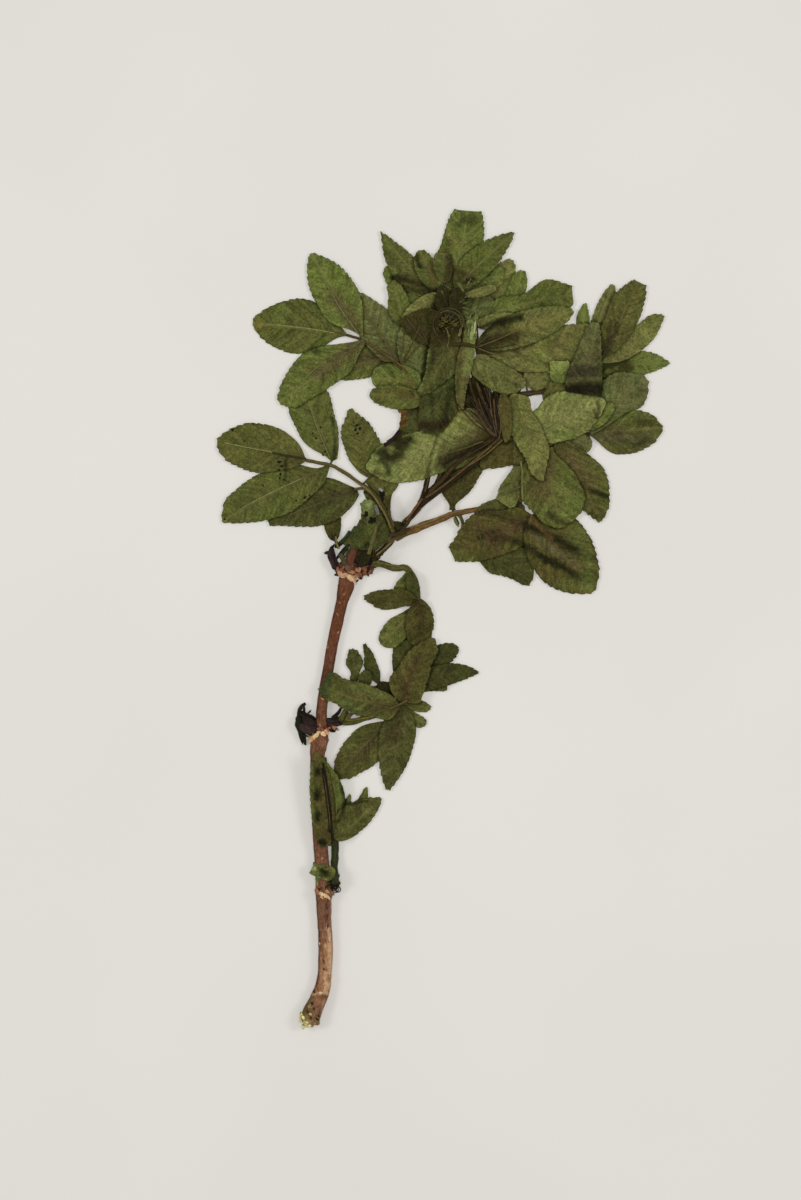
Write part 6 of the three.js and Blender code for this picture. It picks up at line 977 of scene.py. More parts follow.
# ---------------------------------------------------------------- meshes
class Body:
    """Collects the vertices, faces and colours of one object."""

    def __init__(self):
        self.points, self.faces, self.slots = [], [], []
        self.tint, self.blade, self.mood = [], [], []
        self.count = 0
        self.sheets = []

    def add(self, points, faces, tint, blade=None, mood=None, slot=0):
        n = len(points)
        self.points.append(points)
        self.faces.append(np.asarray(faces) + self.count)
        self.slots.append(np.full(len(faces), slot))
        self.tint.append(np.broadcast_to(np.asarray(tint, float), (n, 3)))
        self.blade.append(np.zeros((n, 3)) if blade is None else blade)
        self.mood.append(np.zeros((n, 3)) if mood is None else np.broadcast_to(mood, (n, 3)))
        self.count += n

    def shadow_seams(self, soft):
        """Paints shade on leaflets where something that lies on them ends, and paints light on their own
        margins where they stand above what lies round them.
        """
        for k in self.sheets:
            x, y, z = self.points[k][:len(self.points[k]) // 2].T
            step = sample(soft, x, y, MAP_X, MAP_Y) - z
            light = 1 - 0.55 * np.clip((step - 0.08) / 0.5, 0, 1) + 0.1 * np.clip((-step - 0.08) / 0.5, 0, 1)
            self.tint[k] = self.tint[k] * np.tile(light, 2)[:, None]

    def build(self, name, materials, node, slot):
        points = np.vstack(self.points) * MM
        faces = np.vstack(self.faces)
        mesh = bpy.data.meshes.new(name)
        mesh.vertices.add(len(points))
        mesh.vertices.foreach_set("co", points.ravel())
        mesh.loops.add(faces.size)
        mesh.loops.foreach_set("vertex_index", faces.ravel())
        mesh.polygons.add(len(faces))
        mesh.polygons.foreach_set("loop_start", np.arange(0, faces.size, 4))
        for material in materials:
            mesh.materials.append(material)
        mesh.update(calc_edges=True)
        mesh.polygons.foreach_set("material_index", np.concatenate(self.slots))
        mesh.polygons.foreach_set("use_smooth", np.ones(len(faces), bool))
        tint = np.vstack(self.tint)
        colour = mesh.attributes.new("tint", "FLOAT_COLOR", "POINT")
        colour.data.foreach_set("color", np.column_stack([tint, np.ones(len(tint))]).ravel())
        for key, values in (("blade", self.blade), ("mood", self.mood)):
            attribute = mesh.attributes.new(key, "FLOAT_VECTOR", "POINT")
            attribute.data.foreach_set("vector", np.vstack(values).ravel())
        mesh.validate()
        piece = bpy.data.objects.new(name, mesh)
        bpy.context.scene.collection.objects.link(piece)
        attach(piece, "root")
        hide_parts(node)


def strip_faces(rows, columns, wrap):
    """Quads between the rows of a grid of points, each row closed round if wrap is set."""
    k, s = np.mgrid[0:rows - 1, 0:columns if wrap else columns - 1]
    a = k * columns + s
    b = k * columns + (s + 1) % columns
    return np.stack([a, b, b + columns, a + columns], axis=-1).reshape(-1, 4)


def sheet_faces(rows, columns):
    """Quads of a thin closed sheet: a grid of points, the same grid below it, and the rim between."""
    n = rows * columns
    top = strip_faces(rows, columns, False)
    grid = np.arange(n).reshape(rows, -1)
    rim = np.concatenate([grid[:, 0], grid[-1, 1:], grid[-2::-1, -1], grid[0, -2:0:-1]])
    ahead = np.roll(rim, -1)
    wall = np.stack([rim, ahead, ahead + n, rim + n], axis=-1)
    return np.vstack([top, top[:, ::-1] + n, wall[:, ::-1]])


def add_tube(body, path, radii, tint, sides=10, flatness=1.0, rough=0.0, seed=0, slot=0):
    """A tube along path, with rounded ends."""
    path, radii = np.asarray(path, float), np.asarray(radii, float)
    ahead = np.vstack([path[1:], 2 * path[-1] - path[-2]]) - np.vstack([2 * path[0] - path[1], path[:-1]])
    ahead /= np.linalg.norm(ahead, axis=1)[:, None]
    side = np.column_stack([ahead[:, 1], -ahead[:, 0], np.zeros(len(path))])
    side /= np.maximum(np.linalg.norm(side, axis=1), 1e-6)[:, None]
    up = np.cross(side, ahead)
    run = np.concatenate([[0], np.cumsum(np.linalg.norm(np.diff(path, axis=0), axis=1))])
    centres = np.vstack([path[0] - ahead[0] * radii[0] * 0.3, path, path[-1] + ahead[-1] * radii[-1] * 0.3])
    sizes = np.concatenate([[radii[0] * 0.05], radii, [radii[-1] * 0.05]])
    side = np.vstack([side[:1], side, side[-1:]])
    up = np.vstack([up[:1], up, up[-1:]])
    run = np.concatenate([[run[0]], run, [run[-1]]])
    turn = 2 * np.pi * (np.arange(sides) + 0.5) / sides - np.pi / 2
    across, height = np.cos(turn)[None, :], np.sin(turn)[None, :]
    bump = 1 + rough * ripple(run[:, None] * 0.6, across * 2 + height * 5, 1.0, seed)
    ring = (centres[:, None, :]
            + side[:, None, :] * (sizes[:, None] * bump * across)[:, :, None]
            + up[:, None, :] * (sizes[:, None] * bump * height * flatness)[:, :, None])
    n = len(centres)
    blade = np.stack([np.broadcast_to(part, (n, sides)) for part in (run[:, None], across, height)], axis=-1)
    body.add(ring.reshape(-1, 3), strip_faces(n, sides, True), tint, blade.reshape(-1, 3), slot=slot)


def add_flake(body, root, tip, width, rise, tint, seed, slot=0):
    """A small torn, bent sheet from root to tip."""
    rng = np.random.default_rng(seed)
    root, tip = np.array(root, float), np.array(tip, float)
    along = tip - root
    side = np.array([-along[1], along[0], 0.0])
    side /= max(np.linalg.norm(side), 1e-6)
    rows, columns = 7, 4
    u = np.linspace(0, 1, rows)
    shape = np.sin(np.pi * np.clip(u * 0.85 + 0.15, 0, 1)) ** 0.7 * (1 + 0.25 * rng.uniform(-1, 1, rows))
    points = []
    for k in range(rows):
        lift = rise * math.sin(math.pi * u[k] * rng.uniform(0.7, 1.0))
        centre = root + along * u[k] + np.array([0, 0, lift])
        for s in np.linspace(-1, 1, columns):
            bend = 0.25 * width * (1 - s * s)
            points.append(centre + side * (width / 2 * s * max(shape[k], 0.12)) + np.array([0, 0, bend]))
    points = np.vstack([points, np.array(points) - np.array([0, 0, FLAKE_THICKNESS])])
    points[:, 2] = np.maximum(points[:, 2], 0.02)
    body.add(points, sheet_faces(rows, columns)[:, ::-1], tint, slot=slot)


# ---------------------------------------------------------------- leaflets
def broadest(half):
    return max(half) if isinstance(half, list) else half[0]


def stained_and_shaded(name, x, y, tint):
    """The leaflet's colours with the stains and the painted shade that lie on it."""
    for names, pairs, reach, strength, mark_tone in STAINS_AND_SHADE:
        if name not in names.split():
            continue
        away = away_from(smooth_line(pairs, 0.8), x, y)
        away *= 1 + 0.3 * ripple(x, y, 1.7, 5) + 0.3 * ripple(x, y, 4.0, 6)
        tint = mixed(tint, mark_tone, strength * np.exp(-(away / reach) ** 3))
    return tint


def shade(name, x, y, along, across, length, broad, tone, rng):
    """The leaflet's colour at each point: a worn streak along the midrib, patches, stains and painted shade.
    """
    seed = int(rng.integers(1000))
    base, wear, streak, _ = TONES[tone]
    tint = np.broadcast_to(linear(base) * rng.uniform(0.94, 1.06), (len(x), 3))
    t = along / length
    wander = ripple(x, y, 5.0, seed) * 0.5 + ripple(x, y, 2.1, seed + 1) * 0.3
    near = np.exp(-(across / (0.24 * broad * (1.15 - 0.6 * t) + 0.25)) ** 2) * np.clip(1.25 - t, 0, 1)
    tint = mixed(tint, streak, wear * near * (0.85 + 0.9 * wander))
    patch = np.clip(ripple(x, y, 7.5, seed + 2) + 0.5 * ripple(x, y, 3.0, seed + 3), 0, 1)
    tint = mixed(tint, streak, 0.25 * wear * patch)
    fresh = np.clip(ripple(x, y, 9.0, seed + 4) + 0.4 * ripple(x, y, 4.0, seed + 5), 0, 1)
    tint = mixed(tint, np.array(base) * (1.06, 1.1, 1.02), 0.6 * fresh)
    return stained_and_shaded(name, x, y, tint)


def blade_columns(broad):
    """Where a blade's lengthwise lines stand, from its right margin at -1 to its left at 1."""
    half = np.linspace(0, 1, max(4, math.ceil(broad / 0.9)) + 1)[1:]
    half = np.unique(np.concatenate([[0.05], half, [0.95]]))
    return np.concatenate([-half[::-1], [0], half])


def lay_leaflet(body, leaflet, seed):
    """Adds one toothed leaflet to the pile. Returns what its midrib needs."""
    name, spine, left, right, _, tone = leaflet
    rng = np.random.default_rng(seed)
    length = math.hypot(spine[4] - spine[0], spine[5] - spine[1])
    broad = max(broadest(left), broadest(right))
    teeth = max(4, round(length / TOOTH))
    offset = rng.uniform(0, 1, 2)
    depth = min(0.42, 0.07 * broad) * rng.uniform(0.2, 1.3, (2, teeth + 2))
    curl = rng.uniform(0.1, 0.4)
    crest, fall = 0.78, 0.22    # the parts of a tooth that rise towards the tip and that drop again

    def surface(t, v):
        """Plan position and relief at t along and v across, from -1 at the right margin to 1."""
        x, y = spine_point(spine, t)
        fx, fy, nx, ny = spine_frame(spine, t)
        half = np.where(v > 0, half_width(left, t), half_width(right, t))
        which = (v > 0).astype(int)
        phase = t * teeth + offset[which]
        k, phase = np.floor(phase).astype(int), phase % 1
        rise = np.where(phase < crest, (phase / crest) ** 0.8, (1 - phase) / fall)
        toothed = np.clip((t - 0.1) / 0.12, 0, 1)
        cut = depth[which, np.minimum(k, teeth + 1)] * (1 - rise)
        half = np.maximum(half - toothed * (cut - 0.1), 0.14)
        ahead = toothed * 0.2 * TOOTH * rise * np.abs(v) ** 8
        across = v * half
        x, y = x + nx * across + fx * ahead, y + ny * across + fy * ahead
        along = t * length
        vein = (along - 0.8 * np.abs(across)) / VEIN_STEP
        relief = 0.2 * np.exp(-(across / 0.45) ** 2) * (1 - t) ** 0.5
        relief = relief + 0.1 * np.cos(np.pi * (vein % 1 - 0.5)) * np.minimum(1, np.abs(across))
        relief = relief + 0.3 * (0.5 + 0.5 * ripple(x, y, 9.0, seed)) * min(1, broad / 6)
        relief = relief + curl * np.abs(v) ** 3 * (0.5 + 0.5 * ripple(x, y, 4.5, seed + 1))
        return x, y, relief, along, across

    # lay it on the pile, and add it to the height map
    t, v = np.meshgrid(np.linspace(0, 1, max(10, int(length / MAP_STEP))),
                       np.linspace(-1, 1, max(7, int(2 * broad / MAP_STEP))), indexing="ij")
    x, y, relief, _, _ = surface(t.ravel(), v.ravel())
    height = settle(x, y, LOWEST_REST if name in LOWEST else REST)
    i, j = cell_of(x, y)
    np.maximum.at(pile, (j, i), height(x, y) + relief + BLADE)

    # its mesh, with six rows of points to a tooth
    columns = blade_columns(broad)
    rows = teeth * 6 + 1
    t, v = np.meshgrid(np.linspace(0, 1, rows), columns, indexing="ij")
    x, y, relief, along, across = surface(t.ravel(), v.ravel())
    sheet = np.column_stack([x, y, height(x, y) + relief])
    tint = shade(name, x, y, along, across, length, broad, tone, rng)
    blade = np.column_stack([along, across, np.abs(v.ravel())])
    mood = (TONES[tone][3], rng.uniform(0, 1), 0)
    body.add(np.vstack([sheet + (0, 0, BLADE), sheet]), sheet_faces(rows, len(columns)),
             np.vstack([tint, tint]), np.vstack([blade, blade]), mood)
    body.sheets.append(len(body.points) - 1)
    return surface, height, length, broad


def add_midrib(body, surface, height, length, broad, line, name, tone):
    """The leaflet's own short stalk and its midrib, from the leaf's stalk to near its tip."""
    sides = 7
    t = np.linspace(0.02, 0.86, max(6, int(length / 1.6)))
    x, y, relief, _, _ = surface(t, np.zeros_like(t))
    z = height(x, y) + relief + BLADE * 0.6
    radii = np.interp(t, [0, 0.1, 0.3, 0.86], [0.45, 0.34, 0.24, 0.1]) * min(1, 0.45 + broad / 10)
    path = np.column_stack([x, y, z])
    if line is not None:
        root = line[np.argmin(np.linalg.norm(line - path[0], axis=1))]
        gap = np.linalg.norm(root - path[0])
        if gap > 0.6:
            steps = max(2, int(gap / 1.2))
            lead = root + (path[0] - root) * np.linspace(0, 1, steps, endpoint=False)[:, None]
            path = np.vstack([lead, path])
            radii = np.concatenate([np.full(steps, radii[0]), radii])
            t = np.concatenate([np.zeros(steps), t])
    base, _, _, veined = TONES[tone]
    shown = veined * np.clip((t - 0.1) / 0.35, 0, 1)
    tint = mixed(np.broadcast_to(linear(base) * 0.92, (len(path), 3)), MIDRIB_TONE, 0.75 * shown)
    tint = stained_and_shaded(name, path[:, 0], path[:, 1], tint)
    tint = np.repeat(np.vstack([tint[:1], tint, tint[-1:]]), sides, axis=0)
    add_tube(body, path, radii, tint, sides=sides, slot=1)


def lay_stalk(body, stalk, tint, seed, own=(), spread=0.0, slot=1):
    """Adds one stalk to the pile. Its ends join the lines in own that are near them."""
    pairs, start, end = stalk
    step, joint = 0.9, 2.6
    plan = smooth_line(pairs, step)
    radii = np.linspace(start, end, len(plan)) * (1 + 0.06 * wobble(len(plan), step, 3.0, seed))
    if spread:
        plan = plan + spread * np.column_stack([ripple(plan[:, 1], plan[:, 0] * 0 + seed, 5.0, seed),
                                                ripple(plan[:, 0], plan[:, 1] * 0 + seed, 5.0, seed + 9)])
    z = settle_line(plan, radii)
    for k in (0, -1):
        for line in own:
            away = np.hypot(*(line[:, :2] - plan[k]).T)
            if away.min() < joint:
                z[k] = line[np.argmin(away), 2]
    path = np.column_stack([plan, z])
    add_tube(body, path, radii, tint, rough=0.12, seed=seed, slot=slot)
    return path, radii


# ---------------------------------------------------------------- materials
class Nodes:
    """Short names for building a node material."""

    def __init__(self, name, roughness, specular):
        self.material = bpy.data.materials.new(name)
        self.material.use_nodes = True
        self.tree = self.material.node_tree
        self.shader = self.tree.nodes["Principled BSDF"]
        self.shader.inputs["Roughness"].default_value = roughness
        self.shader.inputs["Specular IOR Level"].default_value = specular

    def put(self, socket, value):
        if isinstance(value, (int, float)):
            socket.default_value = value
        elif isinstance(value, tuple):
            socket.default_value = value + (1.0,) if len(value) == 3 and socket.type == "RGBA" else value
        else:
            self.tree.links.new(value, socket)

    def node(self, kind, *values, **settings):
        """A new node with these settings, and these values or links for its first inputs."""
        node = self.tree.nodes.new("ShaderNode" + kind)
        for key, value in settings.items():
            setattr(node, key, value)
        for socket, value in zip(node.inputs, values):
            self.put(socket, value)
        return node

    def math(self, op, *values):
        return self.node("Math", *values, operation=op).outputs[0]

    def times(self, a, b):
        return self.math("MULTIPLY", a, b)

    def plus(self, a, b):
        return self.math("ADD", a, b)

    def attribute(self, name, kind="Vector"):
        return self.node("Attribute", attribute_name=name).outputs[kind]

    def parts(self, name):
        """The three numbers of a vector attribute."""
        node = self.node("SeparateXYZ", self.attribute(name))
        return node.outputs[0], node.outputs[1], node.outputs[2]

    def joined(self, x, y, z):
        return self.node("CombineXYZ", x, y, z).outputs[0]

    def grey(self, light):
        return self.joined(light, light, light)

    def position(self):
        return self.node("TexCoord").outputs["Object"]

    def noise(self, vector, scale, detail=3.0, roughness=0.55):
        node = self.node("TexNoise")
        values = {"Vector": vector, "Scale": scale, "Detail": detail, "Roughness": roughness}
        for key, value in values.items():
            self.put(node.inputs[key], value)
        return node.outputs["Fac"]

    def ramp(self, value, low, high, out_low=0.0, out_high=1.0):
        """Smoothly from out_low at low to out_high at high."""
        values = (value, low, high, out_low, out_high)
        return self.node("MapRange", *values, interpolation_type="SMOOTHSTEP").outputs[0]

    def mix(self, factor, a, b, blend="MIX"):
        node = self.node("Mix", data_type="RGBA", blend_type=blend)
        for k, value in ((0, factor), (6, a), (7, b)):
            self.put(node.inputs[k], value)
        return node.outputs[2]

    def tinted(self, colour, by):
        return self.mix(1.0, colour, by, "MULTIPLY")

    def bump(self, height, strength, distance):
        node = self.node("Bump")
        for key, value in (("Strength", strength), ("Distance", distance), ("Height", height)):
            self.put(node.inputs[key], value)
        self.put(self.shader.inputs["Normal"], node.outputs[0])

    def colour(self, value):
        self.put(self.shader.inputs["Base Color"], value)
        return self.material


def rgb(*values):
    return tuple(float(c) for c in linear(values))


def leaf_material():
    """A leaflet: its tint, mottled, with the painted light and shade of pressed wrinkles, pale side veins
    and a dark, thin rim that is partly painted shade.
    """
    n = Nodes("leaf", roughness=0.85, specular=0.04)
    tint = n.attribute("tint", "Color")
    along, across, edge = n.parts("blade")
    veined, seed, _ = n.parts("mood")
    place = n.position()
    blotch = n.noise(place, 170)
    mottle = n.noise(place, 640, 4.0, 0.65)
    grain = n.noise(place, 1600, 2.5)
    off = n.math("ABSOLUTE", across)
    # the side veins leave the midrib at a slant
    bend = n.times(n.math("POWER", off, 1.25), -0.62)
    slant = n.plus(n.plus(bend, along), n.times(n.math("SUBTRACT", blotch, 0.5), 3.0))
    # streaks that run with the veins, the painted light and shade of pressed wrinkles, and light and dark
    # mottling
    drift = n.joined(n.times(slant, 0.9), n.times(across, 0.12), n.times(seed, 40.0))
    streak = n.noise(drift, 1.0, 3.0, 0.6)
    fold = n.joined(n.times(slant, 0.34), n.times(across, 0.11), n.times(seed, 90.0))
    wrinkle_shading = n.noise(fold, 1.0, 2.0, 0.6)
    light = 1.0
    for part in ((mottle, 0.28, 0.72, 0.73, 1.28), (grain, 0.25, 0.75, 0.66, 1.36),
                 (streak, 0.3, 0.7, 0.81, 1.2), (blotch, 0.25, 0.75, 0.95, 1.05),
                 (wrinkle_shading, 0.3, 0.68, 0.8, 1.16)):
        light = n.times(light, n.ramp(*part))
    warm = n.mix(n.ramp(blotch, 0.34, 0.66), (0.99, 1.05, 0.96), (1.05, 1.01, 1.02))
    colour = n.tinted(n.tinted(tint, warm), n.grey(light))
    # side veins and midrib
    step = n.math("FRACT", n.math("DIVIDE", slant, VEIN_STEP))
    line = n.math("ABSOLUTE", n.math("SUBTRACT", step, 0.5))
    vein = n.times(n.ramp(line, 0.075, 0.0), n.ramp(edge, 0.85, 0.3, 0.0, 0.42))
    vein = n.times(vein, n.ramp(mottle, 0.3, 0.6, 0.4, 1.0))
    rib = n.times(n.ramp(off, 0.8, 0.1), 0.5)
    pale = n.tinted(tint, (1.7, 1.68, 1.75))
    colour = n.mix(n.times(n.math("MAXIMUM", vein, rib), veined), colour, pale)
    # the rim: a dark, thin margin, partly the dried margin's own colour and partly painted shade for the
    # thin shadow line where a margin lies over another leaf
    rim_shade = n.tinted(colour, (0.45, 0.42, 0.4))
    colour = n.mix(n.ramp(edge, 0.94, 1.0, 0.0, 0.7), colour, rim_shade)
    n.bump(n.plus(mottle, n.times(grain, 0.35)), 0.5, 0.4 * MM)
    return n.colour(colour)


def fibre_material(name, low=0.6, high=1.35, roughness=0.7):
    """Stalks, buds and other tubes: the tint, streaked along their length."""
    n = Nodes(name, roughness=roughness, specular=0.12)
    run, across, height = n.parts("blade")
    streak = n.noise(n.joined(n.times(run, 0.25), n.times(across, 2.5), height), 1.6, 4.0)
    fine = n.noise(n.position(), 900)
    light = n.times(n.ramp(streak, 0.25, 0.75, low, high), n.ramp(fine, 0.25, 0.75, 0.75, 1.25))
    n.bump(n.plus(streak, fine), 0.5, 0.4 * MM)
    return n.colour(n.tinted(n.attribute("tint", "Color"), n.grey(light)))


def bark_material():
    """The stem: its tint, streaked and freckled, with pale scuffs where mood.x says so, and painted shade
    along both its sides.
    """
    n = Nodes("bark", roughness=0.7, specular=0.12)
    tint = n.attribute("tint", "Color")
    run, across, height = n.parts("blade")
    scuff, _, _ = n.parts("mood")
    around = n.joined(n.times(run, 0.12), n.times(across, 2.6), n.times(height, 1.2))
    streak = n.noise(around, 3.2, 5.0, 0.65)
    patch = n.noise(n.position(), 190)
    fine = n.noise(n.position(), 1100)
    freckle = n.noise(n.position(), 620, 1.0)
    colour = n.tinted(tint, n.mix(n.ramp(streak, 0.32, 0.68), (0.62, 0.58, 0.56), (1.42, 1.44, 1.46)))
    colour = n.mix(n.ramp(patch, 0.52, 0.72, 0.0, 0.4), colour, n.tinted(tint, (1.5, 1.62, 1.7)))
    colour = n.mix(n.ramp(freckle, 0.66, 0.74, 0.0, 0.6), colour, rgb(178, 140, 100))
    colour = n.mix(n.ramp(freckle, 0.32, 0.24, 0.0, 0.6), colour, rgb(54, 32, 24))
    worn = n.times(scuff, n.ramp(n.plus(patch, n.times(streak, 0.6)), 0.6, 0.95))
    colour = n.mix(worn, colour, rgb(196, 152, 108))
    # painted shade along both sides of the stem, stronger on the left
    colour = n.mix(n.ramp(across, -0.6, -1.0, 0.0, 0.5), colour, rgb(58, 34, 24))
    colour = n.mix(n.ramp(across, 0.85, 1.0, 0.0, 0.35), colour, rgb(70, 42, 30))
    light = n.ramp(fine, 0.25, 0.75, 0.78, 1.22)
    n.bump(n.plus(n.times(streak, 1.5), fine), 0.6, 0.6 * MM)
    return n.colour(n.tinted(colour, n.grey(light)))


def paper_material():
    n = Nodes("paper", roughness=0.9, specular=0.2)
    cloud = n.ramp(n.noise(n.position(), 6, 2.0), 0.3, 0.7, 0.985, 1.015)
    return n.colour(n.tinted(rgb(227, 224, 217), n.grey(cloud)))


LEAF = leaf_material()
FIBRE = fibre_material("stalk")
FLAKE = fibre_material("flake", 0.7, 1.3, 0.85)
BARK = bark_material()


# ---------------------------------------------------------------- stem, collars, pith and buds
def build_stem():
    rows = np.array(STEM)
    plan = smooth_line(rows[:, :2].ravel(), 0.6)
    at = np.array([np.argmin(np.hypot(*(plan - r[:2]).T)) for r in rows])
    radii = np.interp(np.arange(len(plan)), at, rows[:, 2] / 2)
    flat = plan[:, 0] * 0
    radii *= 1 + 0.03 * ripple(plan[:, 1], flat, 7.0, 3) + 0.015 * ripple(plan[:, 1], flat, 2.0, 4)
    path = np.column_stack([plan, radii * STEM_FLATNESS])
    stamp_line(path, radii, STEM_FLATNESS)
    body = Body()
    add_tube(body, path, radii, (0, 0, 0), sides=32, flatness=STEM_FLATNESS, rough=0.045, seed=11)
    points, blade = body.points[-1], body.blade[-1]
    x, y = points[:, 0], points[:, 1]
    peeled = 0.8 * np.exp(-((y - PEELED_AT) / 11) ** 2) * np.clip(blade[:, 1] * 1.4 + 0.1, 0, 1)
    body.mood[-1] = np.column_stack([peeled, y * 0, y * 0])
    tones = np.array(BARK_TONES, float)
    tint = linear(np.column_stack([np.interp(y, tones[:, 0], tones[:, k]) for k in (1, 2, 3)]))
    for pairs, reach, strength, tone in SCUFFS_AND_SHADE:
        away = away_from(smooth_line(pairs, 0.5), x, y)
        away *= 1 + 0.4 * ripple(x, y, 1.2, 8)
        tint = mixed(tint, tone, strength * np.exp(-(away / reach) ** 2))
    body.tint[-1] = tint
    points[:, 2] = np.maximum(points[:, 2], 0)
    body.build("branch_stem", [BARK], "stem", "bark")


def build_collars():
    """The torn bark at the nodes, with fibres, tufts and the frayed pith of the cut end."""
    rng = np.random.default_rng(21)
    body = Body()
    for k, (pairs, radius) in enumerate(SWELLINGS, 12):
        plan = smooth_line(pairs, 0.5)
        radii = radius * (1 + 0.2 * wobble(len(plan), 1, 2.5, k))
        path = np.column_stack([plan, radii * 0.9 + 0.2])
        add_tube(body, path, radii, linear(SWELLING_TONE), sides=14, flatness=0.9, rough=0.3, seed=k)
        stamp_line(path, radii, 0.9)
    for k, (x, y, u, v, count, way) in enumerate(CRUMBS):
        for c in range(count):
            f = (c + rng.uniform(0, 1)) / count
            root = np.array([x + (u - x) * f, y + (v - y) * f + rng.uniform(-0.6, 0.6)])
            turn = math.radians(way + rng.uniform(-55, 55))
            tip = root + rng.uniform(0.7, 2.1) * heading(turn)
            tone = linear(CRUMB_TONES[rng.integers(len(CRUMB_TONES))]) * rng.uniform(0.8, 1.2)
            z = rng.uniform(0.4, 1.0) * max(height_at(*root), 2.6) + 0.2
            drop = max(min(z, height_at(*tip) + 0.6), 0.5)
            width, rise = rng.uniform(0.5, 1.1), rng.uniform(0, 0.4)
            add_flake(body, (*root, z), (*tip, drop), width, rise, tone, 100 + 60 * k + c)
    for k, (x, y, u, v, width, tone) in enumerate(TORN, 700):
        root = (x, y, max(height_at(x, y), 1.6) + 0.3)
        tip = (u, v, max(height_at(u, v), 1.0) + 0.35)
        add_flake(body, root, tip, width, 0.3, linear(tone), k)
    for k in range(FIBRES):
        centre = FIBRES_AT + rng.uniform(-1, 1, 2) * (2.0, 1.7)
        turn = rng.uniform(0, 2 * np.pi) + np.linspace(0, rng.uniform(2.5, 5.5), 14)
        loop = centre + np.column_stack([np.cos(turn), np.sin(turn)]) * rng.uniform(0.5, 1.4)
        z = max(height_at(*centre) + 0.3, rng.uniform(2.2, 4.2)) + 0.3 * np.sin(turn)
        radii = np.full(len(turn), rng.uniform(0.16, 0.26))
        add_tube(body, np.column_stack([loop, z]), radii, linear(FIBRE_TONES[k % 4]), sides=6)
    for k in range(TUFTS):
        root = TUFTS_AT + rng.uniform(-1, 1, 2) * (1.4, 1.8)
        turn = math.radians(rng.uniform(170, 265))
        tip = root + rng.uniform(0.4, 1.6) * heading(turn)
        z = rng.uniform(0.6, 4.4)
        tone = TUFT_TONES[k % 5]
        drop = max(z - 0.6, 0.3)
        add_flake(body, (*root, z), (*tip, drop), rng.uniform(0.3, 0.8), 0.2, linear(tone), 500 + k)
    for k in range(PITH):
        u = rng.uniform(-1, 1)
        root = PITH_AT + PITH_SIDE * u * PITH_REACH + rng.uniform(-0.4, 0.4, 2)
        turn = math.radians(-100 - 15 * u + rng.uniform(-35, 35))
        tip = root + rng.uniform(0.3, 1.2) * heading(turn)
        tone = (PITH_TONES if u < 0.1 else RIND_TONES)[k % 4]
        z = rng.uniform(0.5, 4.6)
        drop = max(z + rng.uniform(-0.8, 0.5), 0.3)
        add_flake(body, (*root, z), (*tip, drop), rng.uniform(0.3, 1.0), 0.15, linear(tone), 300 + k)
    body.build("branch_collars", [FLAKE], "stem", "bark")


def build_buds():
    """Each bud is a sheaf of seven narrow scales in three layers."""
    rng = np.random.default_rng(31)
    body = Body()
    t = np.linspace(0, 1, 12)
    for b, (spine, width, tone) in enumerate(BUDS):
        for k in range(7):
            off = rng.uniform(-0.28, 0.28) * width
            x, y = spine_point(spine, t * rng.uniform(0.75, 1.05))
            _, _, nx, ny = spine_frame(spine, t)
            r = np.maximum(0.14, width * 0.27 * np.sin(np.pi * (0.12 + 0.86 * t)) ** 0.8)
            r *= rng.uniform(0.6, 1.1)
            z = 0.5 + r * 0.8 + (0.9 + 0.22 * width) * (k % 3) * 0.5 * np.sin(np.pi * (0.3 + 0.6 * t))
            path = np.column_stack([x + nx * off, y + ny * off, z])
            add_tube(body, path, r, linear(tone) * rng.uniform(0.5, 1.6), sides=8, flatness=0.6, rough=0.35,
                     seed=40 + 8 * b + k)
            stamp_line(path, r, 0.6)
    body.build("branch_buds", [FIBRE], "stem", "bark")


# ---------------------------------------------------------------- the pile, from the bottom up
build_stem()
build_collars()
build_buds()

bodies = {name: Body() for name in [*LEAFLETS, "shoot", "flower_cluster"]}
lines = {name: [] for name in LEAFLETS}
jobs = []
ribs = []


def stalk_job(name, stalk, seed):
    tint = linear(STALK_TONES.get(name, STALK_TONE))
    path, radii = lay_stalk(bodies[name], stalk, tint, seed, own=lines[name])
    stamp_line(path, radii)
    lines[name].append(path)


def leaflet_job(name, leaflet, seed):
    ribs.append((name, leaflet, lay_leaflet(bodies[name], leaflet, seed)))


def shoot_job(stalks, seed):
    """Lays the stalks of one layer of the bundle, each as a few thin strands."""
    made = []
    for k, (pairs, start, end) in enumerate(stalks):
        for s in range(STRANDS):
            tint = linear(SHOOT_TONE) * (0.5 + 0.28 * ((k + 3 * s) % 5))
            thin = 0.62 if s else 0.75
            strand = (pairs, start * thin, end * thin)
            made.append(lay_stalk(bodies["shoot"], strand, tint, seed + 7 * k + s, own=[m[0] for m in made],
                                  spread=0.75 if s else 0.2, slot=0))
    for path, radii in made:
        stamp_line(path, radii)


seed = 1000
for name, leaflets in LEAFLETS.items():
    for *stalk, layer in STALKS[name]:
        jobs.append((layer, stalk_job, (name, stalk, seed)))
        seed += 10
    for leaflet in leaflets:
        jobs.append((leaflet[4] + 0.5, leaflet_job, (name, leaflet, seed)))
        seed += 10
for name, spine, width, tone in SCRAPS_AND_SHADOW_SHEETS:
    oval = (width, 0.5, 0.8)
    jobs.append((0.2, lay_leaflet, (bodies[name], ["scrap", spine, oval, oval, 0, tone], seed)))
    seed += 10
for layer in sorted({stalk[3] for stalk in SHOOT}):
    jobs.append((layer, shoot_job, ([stalk[:3] for stalk in SHOOT if stalk[3] == layer], seed)))
    seed += 100
for _, job, values in sorted(jobs, key=lambda j: j[0]):
    job(*values)
for name, leaflet, made in ribs:
    line = np.vstack(lines[name]) if lines[name] else None
    add_midrib(bodies[name], *made, line, leaflet[0], leaflet[-1])


